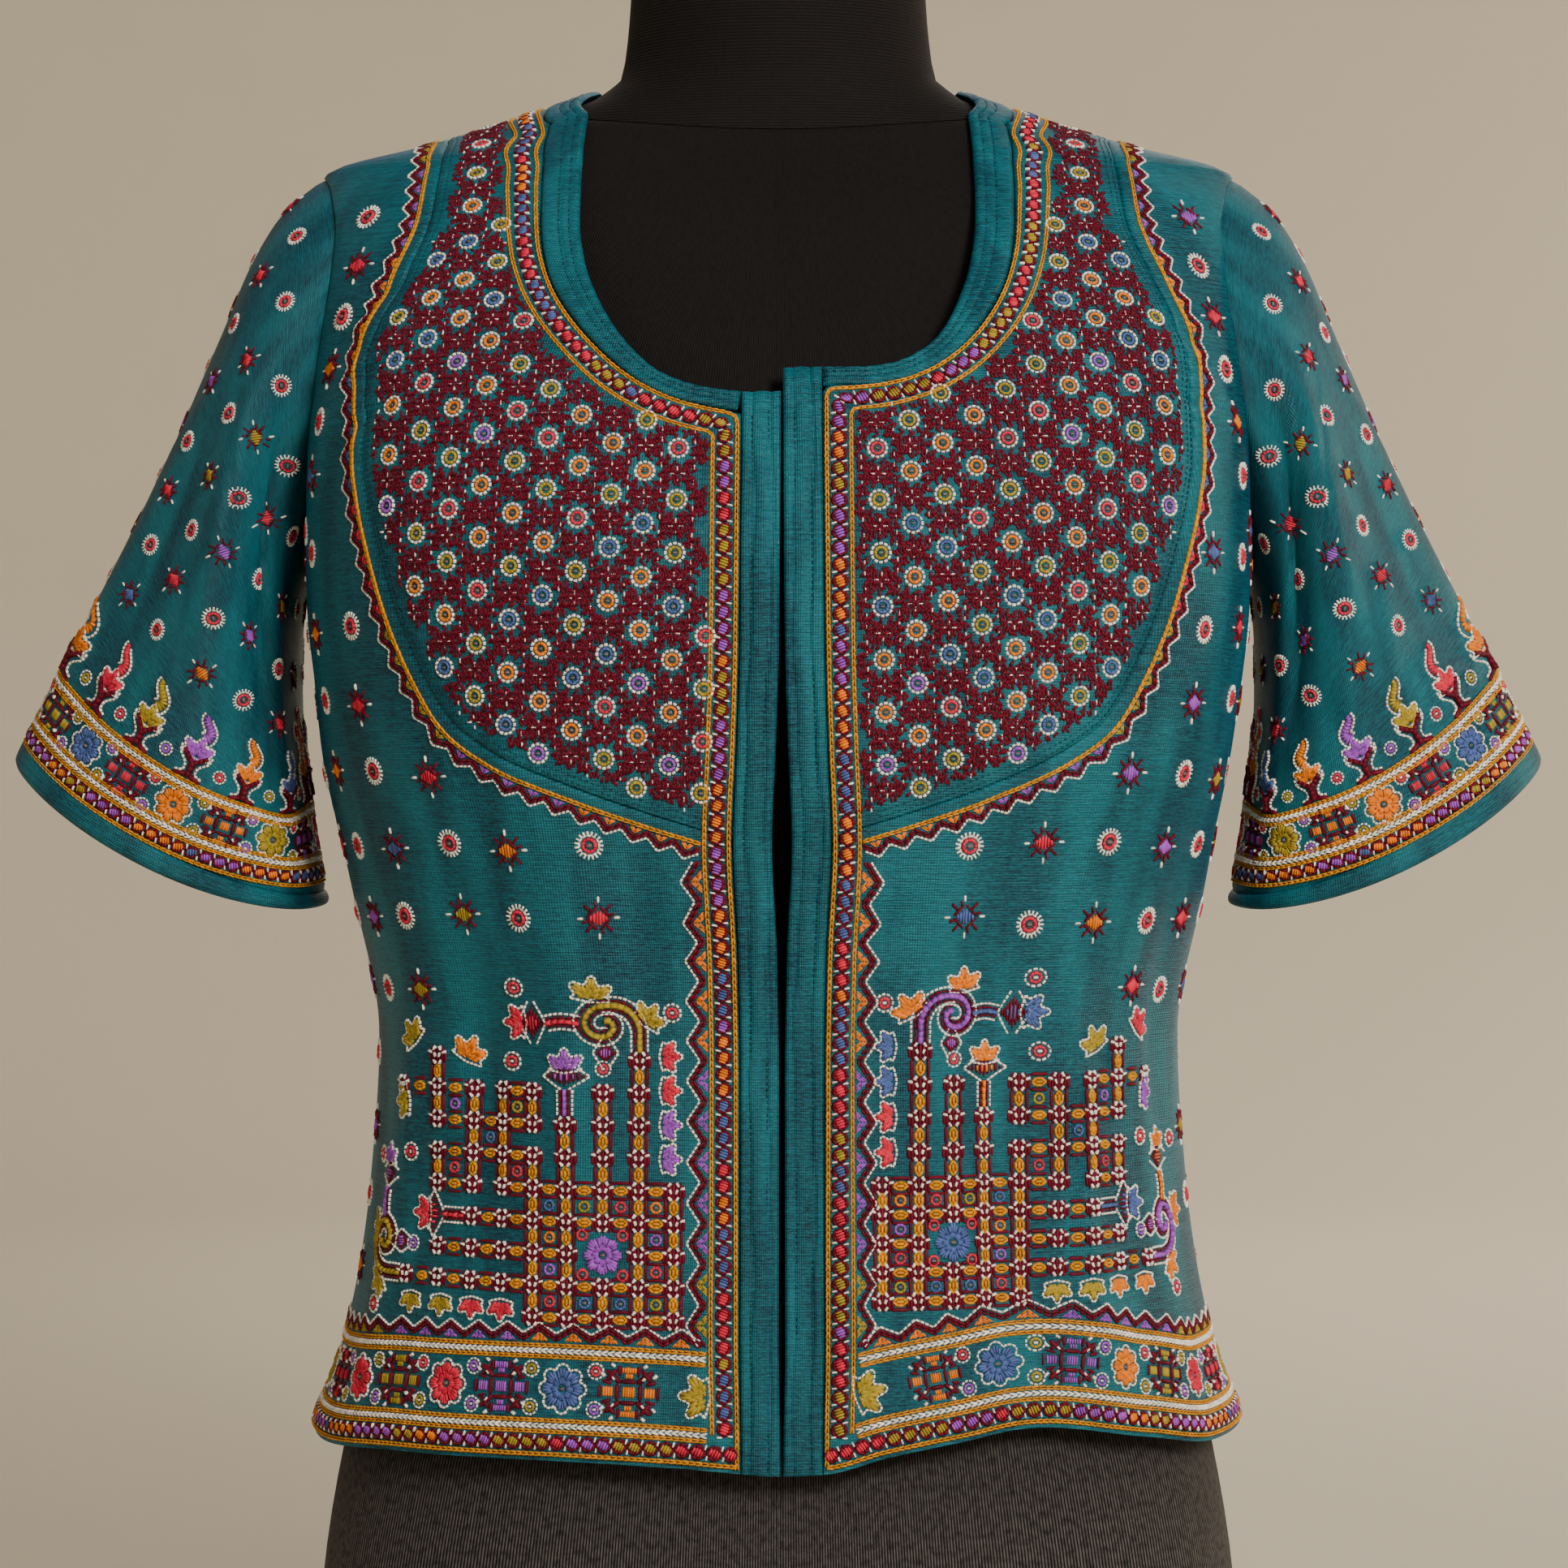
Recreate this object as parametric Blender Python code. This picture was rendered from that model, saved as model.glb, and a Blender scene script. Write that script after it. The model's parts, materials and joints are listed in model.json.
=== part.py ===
"""A short-sleeved choli blouse with an open front, worn by a limbless dress form.

Metres, +Z up, the front faces -Y, the origin is under the form on the floor.
Right and left are the wearer's: the right side is at -X.

The body of the blouse is one wrapped surface: a closed section at each height,
met at an angle theta round the body (0 at the centre front, 90 degrees at the
wearer's left side, 180 at the centre back). Each cut piece is an outline on that
surface, filled with a net of points and given its cloth's thickness outwards.
"""

import math
from collections import namedtuple

import bpy
import numpy as np
from mathutils.geometry import delaunay_2d_cdt

# Cloth thickness, and the gap that parts neighbouring pieces at a seam.
PANEL_WALL = 0.0014
BAND_WALL = 0.0022
SEAM_GAP = 0.0003

# Spacing of the net of points on the body pieces, round the body and up it.
NET_ROUND = 0.0150
NET_UP = 0.0200
# Metres of the flat net for each radian round the body.
NET_RADIUS = 0.150

# Main heights.
HEM_HEIGHT = 0.203
SLIT_TOP = 0.272
ARMPIT_HEIGHT = 0.565
SHOULDER_TIP_HEIGHT = 0.706
NECK_POINT_HEIGHT = 0.742
NECK_FRONT_HEIGHT = {-1: 0.6067, 1: 0.6165}
NECK_BACK_HEIGHT = 0.7385
FORM_TOP_HEIGHT = 0.805

# Main widths.
CENTRE_FRONT_X = 0.0015
PLACKET_WIDTH = 0.0150
NECK_BAND_SIDE = 0.0145
NECK_BAND_FRONT = 0.0085
NECK_BAND_WIDENS_OVER = 0.050
CUFF_WIDTH = 0.0090
ARMHOLE_FRONT_DEPTH = 0.052
ARMHOLE_BACK_DEPTH = 0.050

# How far the form's shoulders lie under the cloth, and its front and back inside it.
SHOULDER_CLEARANCE = 0.0020
CHEST_CLEARANCE = 0.0014
NECK_CLEARANCE = 0.0010

# Below the side slits the hem's sides stand out, and the slits open to a narrow V.
SLIT_FLARE = 0.0070
SLIT_HALF_ANGLE = 0.022
SLIT_FLARE_ANGLE = 1.75
SLIT_FLARE_REACH = 0.30

Section = namedtuple("Section", "height half_width front back middle squareness")

# Inner face of the cloth. front and back are depths from middle, which is a Y.
SHOULDER_SECTIONS = (
    Section(0.6900, 0.1865, 0.074, 0.084, 0.006, 2.6),
    Section(SHOULDER_TIP_HEIGHT, 0.1840, 0.063, 0.077, 0.008, 2.2),
    Section(0.7180, 0.1440, 0.056, 0.071, 0.008, 2.0),
    Section(0.7295, 0.1050, 0.052, 0.064, 0.008, 2.0),
    Section(NECK_POINT_HEIGHT, 0.0725, 0.049, 0.055, 0.008, 2.0),
    Section(0.7600, 0.0600, 0.046, 0.050, 0.008, 2.0),
)
CLOTH_SECTIONS = (
    Section(0.1900, 0.1855, 0.129, 0.120, 0.000, 2.2),
    Section(HEM_HEIGHT, 0.1825, 0.127, 0.118, 0.000, 2.2),
    Section(0.2400, 0.1728, 0.122, 0.111, 0.000, 2.2),
    Section(0.3000, 0.1637, 0.117, 0.103, 0.000, 2.2),
    Section(0.3600, 0.1600, 0.115, 0.096, 0.000, 2.3),
    Section(0.4200, 0.1710, 0.122, 0.095, 0.000, 2.4),
    Section(0.4800, 0.1820, 0.133, 0.098, 0.000, 2.6),
    Section(0.5400, 0.1880, 0.139, 0.101, 0.000, 2.7),
    Section(0.5900, 0.1880, 0.131, 0.102, 0.000, 2.8),
    Section(0.6300, 0.1875, 0.115, 0.100, 0.002, 2.8),
    Section(0.6600, 0.1870, 0.095, 0.094, 0.004, 2.8),
) + SHOULDER_SECTIONS

FORM_SECTIONS = (
    (
        Section(0.0000, 0.1740, 0.110, 0.116, 0.000, 2.3),
        Section(0.0080, 0.1810, 0.117, 0.123, 0.000, 2.3),
        Section(0.0800, 0.1880, 0.123, 0.130, 0.000, 2.3),
        Section(0.1400, 0.1840, 0.121, 0.124, 0.000, 2.3),
        Section(0.2000, 0.1745, 0.114, 0.108, 0.000, 2.2),
        Section(0.2600, 0.1550, 0.103, 0.093, 0.000, 2.1),
        Section(0.3200, 0.1370, 0.095, 0.084, 0.000, 2.1),
        Section(0.3550, 0.1330, 0.094, 0.082, 0.000, 2.1),
        Section(0.4000, 0.1430, 0.101, 0.084, 0.000, 2.2),
        Section(0.4600, 0.1610, 0.117, 0.088, 0.000, 2.3),
        Section(0.5300, 0.1760, 0.132, 0.095, 0.000, 2.4),
        Section(0.5800, 0.1760, 0.124, 0.097, 0.000, 2.4),
        Section(0.6200, 0.1750, 0.110, 0.095, 0.001, 2.4),
        Section(0.6550, 0.1740, 0.090, 0.090, 0.004, 2.5),
    )
    + tuple(
        row._replace(
            height=row.height - SHOULDER_CLEARANCE,
            half_width=min(row.half_width, 0.1765) - NECK_CLEARANCE,
            front=row.front - CHEST_CLEARANCE,
            back=row.back - CHEST_CLEARANCE,
        )
        for row in SHOULDER_SECTIONS[:5]
    )
    + (
        Section(0.7450, 0.0650, 0.0470, 0.0490, 0.007, 2.0),
        Section(0.7560, 0.0622, 0.0470, 0.0480, 0.005, 2.0),
        Section(0.7790, 0.0600, 0.0485, 0.0490, 0.003, 2.0),
        Section(0.8010, 0.0590, 0.0490, 0.0485, 0.002, 2.0),
        Section(FORM_TOP_HEIGHT, 0.0560, 0.0460, 0.0455, 0.002, 2.0),
    )
)

# Large soft folds of the body: place, lean from upright, reach along and across,
# and how far the cloth stands out (a ridge) or in (a trough).
Fold = namedtuple("Fold", "theta_deg height lean_deg along across out")
BODY_FOLDS = (
    Fold(-38.0, 0.385, -4.0, 0.085, 0.011, 0.0030),
    Fold(-52.0, 0.360, -2.0, 0.075, 0.010, -0.0035),
    Fold(-24.0, 0.400, 3.0, 0.060, 0.010, -0.0020),
    Fold(-68.0, 0.300, 6.0, 0.070, 0.012, 0.0035),
    Fold(27.0, 0.395, 5.0, 0.080, 0.011, 0.0032),
    Fold(39.0, 0.330, 2.0, 0.100, 0.012, -0.0036),
    Fold(52.0, 0.300, -3.0, 0.095, 0.012, 0.0038),
    Fold(70.0, 0.370, -6.0, 0.075, 0.011, -0.0030),
    Fold(150.0, 0.300, 4.0, 0.110, 0.014, 0.0040),
    Fold(172.0, 0.330, -2.0, 0.100, 0.013, -0.0036),
    Fold(196.0, 0.300, 2.0, 0.110, 0.014, 0.0038),
    Fold(222.0, 0.320, -5.0, 0.095, 0.013, -0.0034),
    Fold(122.0, 0.420, -20.0, 0.060, 0.011, 0.0030),
    Fold(238.0, 0.420, 20.0, 0.060, 0.011, 0.0030),
    Fold(12.0, 0.255, 0.0, 0.050, 0.010, 0.0022),
    Fold(-12.0, 0.240, 0.0, 0.045, 0.010, 0.0020),
)

# The right edge of the left placket and the left edge of the right one part in
# the middle of the opening: half of the gap at each height.
OPENING_ROWS = (
    (0.190, 0.0004),
    (0.215, 0.0006),
    (0.250, 0.0012),
    (0.300, 0.0011),
    (0.350, 0.0011),
    (0.395, 0.0018),
    (0.437, 0.0037),
    (0.475, 0.0022),
    (0.510, 0.0011),
    (0.560, 0.0006),
    (0.590, 0.0004),
    (0.640, 0.0004),
)

# Front neckline, from the placket to the shoulder: distance from the centre, height.
# The left front stands a little higher at its corner than the right one.
NECKLINE_ROWS = {
    -1: (
        (0.0160, 0.6072),
        (0.0290, 0.6090),
        (0.0436, 0.6143),
        (0.0540, 0.6230),
        (0.0623, 0.6336),
        (0.0695, 0.6470),
        (0.0741, 0.6600),
        (0.0768, 0.6780),
        (0.0770, 0.6940),
        (0.0768, 0.7110),
        (0.0755, 0.7270),
    ),
    1: (
        (0.0170, 0.6165),
        (0.0323, 0.6167),
        (0.0430, 0.6182),
        (0.0555, 0.6245),
        (0.0625, 0.6320),
        (0.0690, 0.6450),
        (0.0738, 0.6600),
        (0.0764, 0.6780),
        (0.0768, 0.6940),
        (0.0766, 0.7110),
        (0.0755, 0.7270),
    ),
}

# Seam of the rounded chest piece, from the shoulder down to the placket.
CHEST_SEAM_ROWS = (
    (0.1322, 0.7165),
    (0.1335, 0.7055),
    (0.1355, 0.6820),
    (0.1465, 0.6525),
    (0.1570, 0.6270),
    (0.1585, 0.6050),
    (0.1588, 0.5860),
    (0.1565, 0.5685),
    (0.1510, 0.5460),
    (0.1440, 0.5235),
    (0.1330, 0.4990),
    (0.1230, 0.4835),
    (0.1045, 0.4705),
    (0.0795, 0.4600),
    (0.0530, 0.4505),
    (0.0285, 0.4430),
)
CHEST_SEAM_SHOULDER_HEIGHT = 0.7214
CHEST_SEAM_PLACKET_HEIGHT = 0.4395

# Lower edge of the blouse: angle round the body, height above HEM_HEIGHT.
HEM_ROWS = (
    (-180.0, 0.0020),
    (-120.0, 0.0020),
    (-90.0, -0.0030),
    (-80.0, -0.0040),
    (-60.0, 0.0000),
    (-35.0, 0.0016),
    (-15.0, 0.0003),
    (0.0, -0.0022),
    (7.0, -0.0018),
    (18.0, 0.0040),
    (30.0, 0.0090),
    (42.0, 0.0130),
    (59.0, 0.0057),
    (73.0, -0.0008),
    (90.0, 0.0000),
    (120.0, 0.0020),
    (180.0, 0.0020),
)

# Sleeve rails seen from the front, from the armhole (0) to the sleeve's end (1).
SleeveRow = namedtuple("SleeveRow", "along outer_x outer_z inner_x inner_z half_depth")
SLEEVE_ROWS = (
    SleeveRow(0.00, 0.1840, 0.7060, 0.1880, 0.5650, 0.0510),
    SleeveRow(0.08, 0.2000, 0.6925, 0.1930, 0.5480, 0.0550),
    SleeveRow(0.16, 0.2105, 0.6760, 0.1960, 0.5330, 0.0580),
    SleeveRow(0.28, 0.2230, 0.6470, 0.1975, 0.5120, 0.0590),
    SleeveRow(0.42, 0.2385, 0.6120, 0.1970, 0.4890, 0.0570),
    SleeveRow(0.58, 0.2560, 0.5740, 0.1945, 0.4660, 0.0530),
    SleeveRow(0.75, 0.2760, 0.5340, 0.1915, 0.4440, 0.0490),
    SleeveRow(0.90, 0.2970, 0.4950, 0.1880, 0.4240, 0.0460),
    SleeveRow(1.00, 0.3100, 0.4690, 0.1855, 0.4110, 0.0440),
)
SLEEVE_FRONT_DROP = 0.0150
SLEEVE_BLEND = 0.22
SLEEVE_LEAVES = 0.06
SLEEVE_LIFT = 0.0007
SLEEVE_SIDES = 30
SLEEVE_RINGS = 18

# Sleeve folds: turn is 0 on the outer line, 90 at the front, 180 on the inner line.
SleeveFold = namedtuple("SleeveFold", "turn_deg along slant along_reach turn_reach out")
SLEEVE_FOLDS = (
    SleeveFold(118.0, 0.34, 22.0, 0.34, 13.0, -0.0065),
    SleeveFold(88.0, 0.52, 10.0, 0.34, 14.0, 0.0035),
    SleeveFold(142.0, 0.62, 4.0, 0.30, 13.0, 0.0045),
    SleeveFold(52.0, 0.50, -14.0, 0.36, 14.0, -0.0030),
    SleeveFold(28.0, 0.66, -8.0, 0.26, 13.0, 0.0030),
    SleeveFold(245.0, 0.36, -20.0, 0.32, 14.0, -0.0055),
    SleeveFold(285.0, 0.58, -6.0, 0.32, 15.0, 0.0040),
    SleeveFold(215.0, 0.62, 0.0, 0.26, 13.0, 0.0030),
)

FORM_SIDES = 40
# The form's neck seam: its height at the sides, its tilt, and how far it dips there.
NECK_SEAM_HEIGHT = 0.7360
NECK_SEAM_TILT = 0.0200
NECK_SEAM_DIP = 0.0030


def smooth(at, xs, ys):
    """Monotone cubic through the rows (xs, ys), read at the values in at."""
    xs = np.asarray(xs, float)
    ys = np.asarray(ys, float)
    step = np.diff(xs)
    slope = np.diff(ys) / step
    inner = np.where(
        slope[:-1] * slope[1:] > 0,
        2 * slope[:-1] * slope[1:] / np.where(slope[:-1] + slope[1:] == 0, 1, slope[:-1] + slope[1:]),
        0.0,
    )
    tangent = np.concatenate([[slope[0]], inner, [slope[-1]]])
    at = np.clip(np.asarray(at, float), xs[0], xs[-1])
    i = np.clip(np.searchsorted(xs, at, side="right") - 1, 0, len(xs) - 2)
    h = step[i]
    t = (at - xs[i]) / h
    return (
        (1 + 2 * t) * (1 - t) ** 2 * ys[i]
        + t * (1 - t) ** 2 * h * tangent[i]
        + t * t * (3 - 2 * t) * ys[i + 1]
        + t * t * (t - 1) * h * tangent[i + 1]
    )


def ease(share):
    """The smooth step 3t^2 - 2t^3, with t held between 0 and 1."""
    t = np.clip(share, 0, 1)
    return t * t * (3 - 2 * t)


def section_at(rows, height):
    """Half width, front depth, back depth, middle and squareness at a height."""
    heights = [row.height for row in rows]
    return [smooth(height, heights, [row[c] for row in rows]) for c in range(1, 6)]


def fold_height(theta, height):
    """How far the body's folds push the cloth out at each point."""
    total = np.zeros(np.broadcast(theta, height).shape)
    for fold in BODY_FOLDS:
        turn = theta - math.radians(fold.theta_deg)
        turn = (turn + math.pi) % (2 * math.pi) - math.pi
        across = turn * NET_RADIUS
        up = height - fold.height
        lean = math.radians(fold.lean_deg)
        along = up * math.cos(lean) + across * math.sin(lean)
        aside = across * math.cos(lean) - up * math.sin(lean)
        total = total + fold.out * np.exp(-((along / fold.along) ** 2) - (aside / fold.across) ** 2)
    return total


def slit_share(height):
    """How far down a side slit each height lies: 0 at its top, 1 at the hem."""
    return np.clip((SLIT_TOP - height) / (SLIT_TOP - HEM_HEIGHT), 0, 1)


def slit_flare(theta, height):
    """The hem stands out beside the side slits, most at the back's edge."""
    turn = np.abs((theta + math.pi) % (2 * math.pi) - math.pi)
    near = ((turn - SLIT_FLARE_ANGLE) / SLIT_FLARE_REACH) ** 2
    return SLIT_FLARE * np.exp(-near) * slit_share(height) ** 2


def wrapped(rows, theta, height, with_folds):
    """Points of a wrapped body at angle theta and height, from its section rows.

    The radius is that of a rounded rectangle, (|sin|/half_width)^n + (|cos|/depth)^n = r^-n.
    """
    theta, height = np.broadcast_arrays(np.asarray(theta, float), np.asarray(height, float))
    half_width, front, back, middle, square = section_at(rows, height)
    sine, cosine = np.sin(theta), np.cos(theta)
    depth = np.where(cosine > 0, front, back)
    radius = ((np.abs(sine) / half_width) ** square + (np.abs(cosine) / depth) ** square) ** (-1 / square)
    if with_folds:
        radius = radius + fold_height(theta, height) + slit_flare(theta, height)
    return np.stack([radius * sine, middle - radius * cosine, height], axis=-1)


def cloth(theta, height):
    """The inner face of the body's cloth."""
    return wrapped(CLOTH_SECTIONS, theta, height, True)


def slopes(theta, height):
    """How the cloth's point moves for each radian of theta and each metre of height."""
    turn, rise = 1e-4, 5e-5
    by_theta = (cloth(theta + turn, height) - cloth(theta - turn, height)) / (2 * turn)
    by_height = (cloth(theta, height + rise) - cloth(theta, height - rise)) / (2 * rise)
    return by_theta, by_height


def outwards(theta, height):
    """Unit normal of the cloth, away from the body."""
    by_theta, by_height = slopes(theta, height)
    normal = np.cross(by_theta, by_height)
    return normal / np.linalg.norm(normal, axis=-1, keepdims=True)


def theta_of(x, height):
    """The angle of the front point that lies this far from the centre at this height."""
    half_width, front, _, _, square = section_at(CLOTH_SECTIONS, height)
    share = np.clip(np.abs(x) / half_width, 0, 1)
    return np.arctan2(x, front * (1 - share**square) ** (1 / square))


def table_curve(rows, count):
    """A smooth curve of count points through a table's rows, spread evenly by length."""
    points = np.array(rows, float)
    along = np.concatenate([[0], np.cumsum(np.linalg.norm(np.diff(points, axis=0), axis=1))])
    at = np.linspace(0, along[-1], count)
    return np.stack([smooth(at, along, points[:, c]) for c in (0, 1)], axis=1)


def front_curve(rows, side, count):
    """A table of distances and heights as angles and heights, on one side of the front."""
    points = table_curve(rows, count)
    return np.stack([theta_of(side * points[:, 0], points[:, 1]), points[:, 1]], axis=1)


def stretch_table():
    """Heights, and the length of cloth up to each: the shoulders slope, so it runs ahead."""
    heights = np.linspace(CLOTH_SECTIONS[0].height, CLOTH_SECTIONS[-1].height, 600)
    half_width = section_at(CLOTH_SECTIONS, heights)[0]
    rise = np.hypot(np.diff(heights), np.diff(half_width))
    return heights, heights[0] + np.concatenate([[0], np.cumsum(rise)])


STRETCH_HEIGHTS, STRETCH_LENGTHS = stretch_table()


def to_net(points):
    """Angles and heights as places on the flat net, in metres."""
    return np.stack(
        [points[:, 0] * NET_RADIUS, np.interp(points[:, 1], STRETCH_HEIGHTS, STRETCH_LENGTHS)], axis=1
    )


def from_net(places):
    """Places on the flat net as angles and heights."""
    return np.stack(
        [places[:, 0] / NET_RADIUS, np.interp(places[:, 1], STRETCH_LENGTHS, STRETCH_HEIGHTS)], axis=1
    )


def signed_area(places):
    """The outline's area, positive where it runs anticlockwise."""
    x, y = places[:, 0], places[:, 1]
    return 0.5 * float(np.sum(x * np.roll(y, -1) - np.roll(x, -1) * y))


def moved_along(points, directions, distance):
    """Angles and heights moved by a real distance along directions of the angle-height plane."""
    by_theta, by_height = slopes(points[:, 0], points[:, 1])
    step = by_theta * directions[:, :1] + by_height * directions[:, 1:]
    return points + directions * (distance / np.linalg.norm(step, axis=1))[:, None]


def side_directions(points, closed):
    """Directions to the left of a curve of angles and heights, square to it on the cloth."""
    if closed:
        ahead = np.roll(points, -1, axis=0) - np.roll(points, 1, axis=0)
    else:
        ahead = np.gradient(points, axis=0)
    by_theta, by_height = slopes(points[:, 0], points[:, 1])
    tangent = by_theta * ahead[:, :1] + by_height * ahead[:, 1:]
    sideways = np.cross(outwards(points[:, 0], points[:, 1]), tangent)
    sideways = sideways / np.linalg.norm(sideways, axis=1, keepdims=True)
    found = []
    for frame_theta, frame_height, aim in zip(by_theta, by_height, sideways):
        frame = np.stack([frame_theta, frame_height], axis=1)
        found.append(np.linalg.lstsq(frame, aim, rcond=None)[0])
    return np.array(found)


def inset(outline, distance):
    """The outline of a piece drawn in by half a seam gap, corners included."""
    before = outline - np.roll(outline, 1, axis=0)
    after = np.roll(outline, -1, axis=0) - outline
    by_theta, by_height = slopes(outline[:, 0], outline[:, 1])
    normal = outwards(outline[:, 0], outline[:, 1])
    result = []
    for i in range(len(outline)):
        frame = np.stack([by_theta[i], by_height[i]], axis=1)
        sides = []
        for step in (before[i], after[i]):
            side = np.cross(normal[i], frame @ step)
            sides.append(side / np.linalg.norm(side))
        bisector = sides[0] + sides[1]
        bisector = bisector / max(np.linalg.norm(bisector), 0.2)
        reach = min(distance / max(float(bisector @ sides[0]), 0.35), 2.5 * distance)
        shift = np.linalg.lstsq(frame, bisector * reach, rcond=None)[0]
        result.append(outline[i] + shift)
    return np.array(result)


def joined(*curves):
    """Curves end to end as one closed outline, without doubled points."""
    points = np.concatenate(curves)
    places = to_net(points)
    keep = np.linalg.norm(places - np.roll(places, 1, axis=0), axis=1) > 5e-4
    return points[keep]


def inside(places, outline):
    """Which places lie inside the outline."""
    result = np.zeros(len(places), bool)
    x, y = places[:, 0], places[:, 1]
    for a, b in zip(outline, np.roll(outline, -1, axis=0)):
        crosses = (a[1] > y) != (b[1] > y)
        where = a[0] + (y - a[1]) / np.where(b[1] == a[1], 1e-12, b[1] - a[1]) * (b[0] - a[0])
        result ^= crosses & (x < where)
    return result


def distance_to(places, outline):
    """How far each place is from the outline."""
    nearest = np.full(len(places), np.inf)
    for a, b in zip(outline, np.roll(outline, -1, axis=0)):
        edge = b - a
        t = np.clip(((places - a) @ edge) / max(float(edge @ edge), 1e-15), 0, 1)
        nearest = np.minimum(nearest, np.linalg.norm(places - a - t[:, None] * edge, axis=1))
    return nearest


def net_of(outline, spacing_round, spacing_up):
    """A triangle net over an outline on the flat net: places and anticlockwise triangles."""
    low, high = outline.min(axis=0), outline.max(axis=0)
    across = np.arange(low[0], high[0], spacing_round)
    up = np.arange(low[1], high[1], spacing_up)
    grid = np.array([(x + 0.5 * spacing_round * (j % 2), y) for j, y in enumerate(up) for x in across])
    keep = inside(grid, outline) & (distance_to(grid, outline) > 0.42 * min(spacing_round, spacing_up))
    places = np.concatenate([outline, grid[keep]])
    ring = list(range(len(outline)))
    edges = [(i, (i + 1) % len(outline)) for i in ring]
    made = delaunay_2d_cdt([tuple(p) for p in places], edges, [ring], 1, 1e-7)
    places = np.array([tuple(v) for v in made[0]])
    triangles = []
    for face in made[2]:
        a, b, c = (places[i] for i in face)
        turned = (b[0] - a[0]) * (c[1] - a[1]) - (b[1] - a[1]) * (c[0] - a[0])
        triangles.append(tuple(face) if turned > 0 else tuple(reversed(face)))
    return places, triangles


def rim_of(triangles):
    """The directed edges that only one triangle uses."""
    used = {(t[i], t[(i + 1) % 3]) for t in triangles for i in range(3)}
    return [edge for edge in used if (edge[1], edge[0]) not in used]


def add_object(name, points, faces, material, smooth_angle=50.0):
    """A named object from points and faces, shaded smooth up to the given angle."""
    mesh = bpy.data.meshes.new(name)
    mesh.from_pydata([tuple(map(float, p)) for p in points], [], faces)
    mesh.materials.append(material)
    mesh.shade_smooth()
    mesh.set_sharp_from_angle(angle=math.radians(smooth_angle))
    made = bpy.data.objects.new(name, mesh)
    bpy.context.scene.collection.objects.link(made)
    return made


def add_cut_piece(name, outline, wall, material, spacing_round=NET_ROUND, spacing_up=NET_UP):
    """A piece of cloth on the body: its outline drawn in for the seams, filled and thickened."""
    if signed_area(to_net(outline)) < 0:
        outline = outline[::-1]
    drawn_in = to_net(inset(outline, SEAM_GAP / 2))
    places, triangles = net_of(drawn_in, spacing_round, spacing_up)
    points = from_net(places)
    inner = cloth(points[:, 0], points[:, 1])
    outer = inner + wall * outwards(points[:, 0], points[:, 1])
    count = len(inner)
    faces = [tuple(i + count for i in t) for t in triangles]
    faces += [tuple(reversed(t)) for t in triangles]
    faces += [(a, b, b + count, a + count) for a, b in rim_of(triangles)]
    return add_object(name, np.concatenate([inner, outer]), faces, material)


def opening_half(height):
    """Half of the gap between the plackets at a height."""
    return smooth(height, [r[0] for r in OPENING_ROWS], [r[1] for r in OPENING_ROWS])


def placket_line(side, width, low, high, count):
    """A line down the front, this far out from the placket's inner edge."""
    heights = np.linspace(low, high, count)
    x = CENTRE_FRONT_X + side * (opening_half(heights) + width)
    return np.stack([theta_of(x, heights), heights], axis=1)


def hem_height(theta):
    """Height of the lower edge at an angle."""
    degrees = (np.degrees(theta) + 180) % 360 - 180
    return HEM_HEIGHT + smooth(degrees, [r[0] for r in HEM_ROWS], [r[1] for r in HEM_ROWS])


def hem_line(start, end, count):
    """The lower edge from one angle to another."""
    theta = np.linspace(start, end, count)
    return np.stack([theta, hem_height(theta)], axis=1)


def upright_line(theta, low, high, count):
    """A line up the body at one angle."""
    return np.stack([np.full(count, theta), np.linspace(low, high, count)], axis=1)


def side_edge(side, to_back, count):
    """One edge of the side seam from armpit to hem, opening to the slit at its foot."""
    line = upright_line(side * math.pi / 2, ARMPIT_HEIGHT, hem_height(side * math.pi / 2), count)
    line[:, 0] += side * (1 if to_back else -1) * SLIT_HALF_ANGLE * slit_share(line[:, 1]) ** 1.5
    return line


def neck_edge(side):
    """The neckline from the placket's outer edge over the shoulder to the centre back."""
    corner_x = CENTRE_FRONT_X * side + opening_half(NECK_FRONT_HEIGHT[side]) + PLACKET_WIDTH
    front = front_curve(((corner_x, NECK_FRONT_HEIGHT[side]),) + NECKLINE_ROWS[side][1:], side, 17)
    turn = np.linspace(0, 1, 13)
    over = np.stack(
        [
            side * np.radians(90 + 90 * turn),
            NECK_POINT_HEIGHT + (NECK_BACK_HEIGHT - NECK_POINT_HEIGHT) * ease(turn),
        ],
        axis=1,
    )
    last = front[-1]
    between = [(0.5 * (last[0] + over[0][0]) - side * 0.03, 0.5 * (last[1] + over[0][1]) + 0.0015)]
    return np.concatenate([front, between, over])


def band_edge(side):
    """The outer edge of the neck band: narrow at the front, wider round the neck."""
    edge = neck_edge(side)
    share = (edge[:, 1] - NECK_FRONT_HEIGHT[side]) / NECK_BAND_WIDENS_OVER
    width = NECK_BAND_FRONT + (NECK_BAND_SIDE - NECK_BAND_FRONT) * ease(share)
    outer = moved_along(edge, -side * side_directions(edge, False), width)
    corner = placket_line(side, PLACKET_WIDTH, outer[0][1], outer[0][1], 1)[0]
    return np.concatenate([[corner], outer[1:]])


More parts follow.
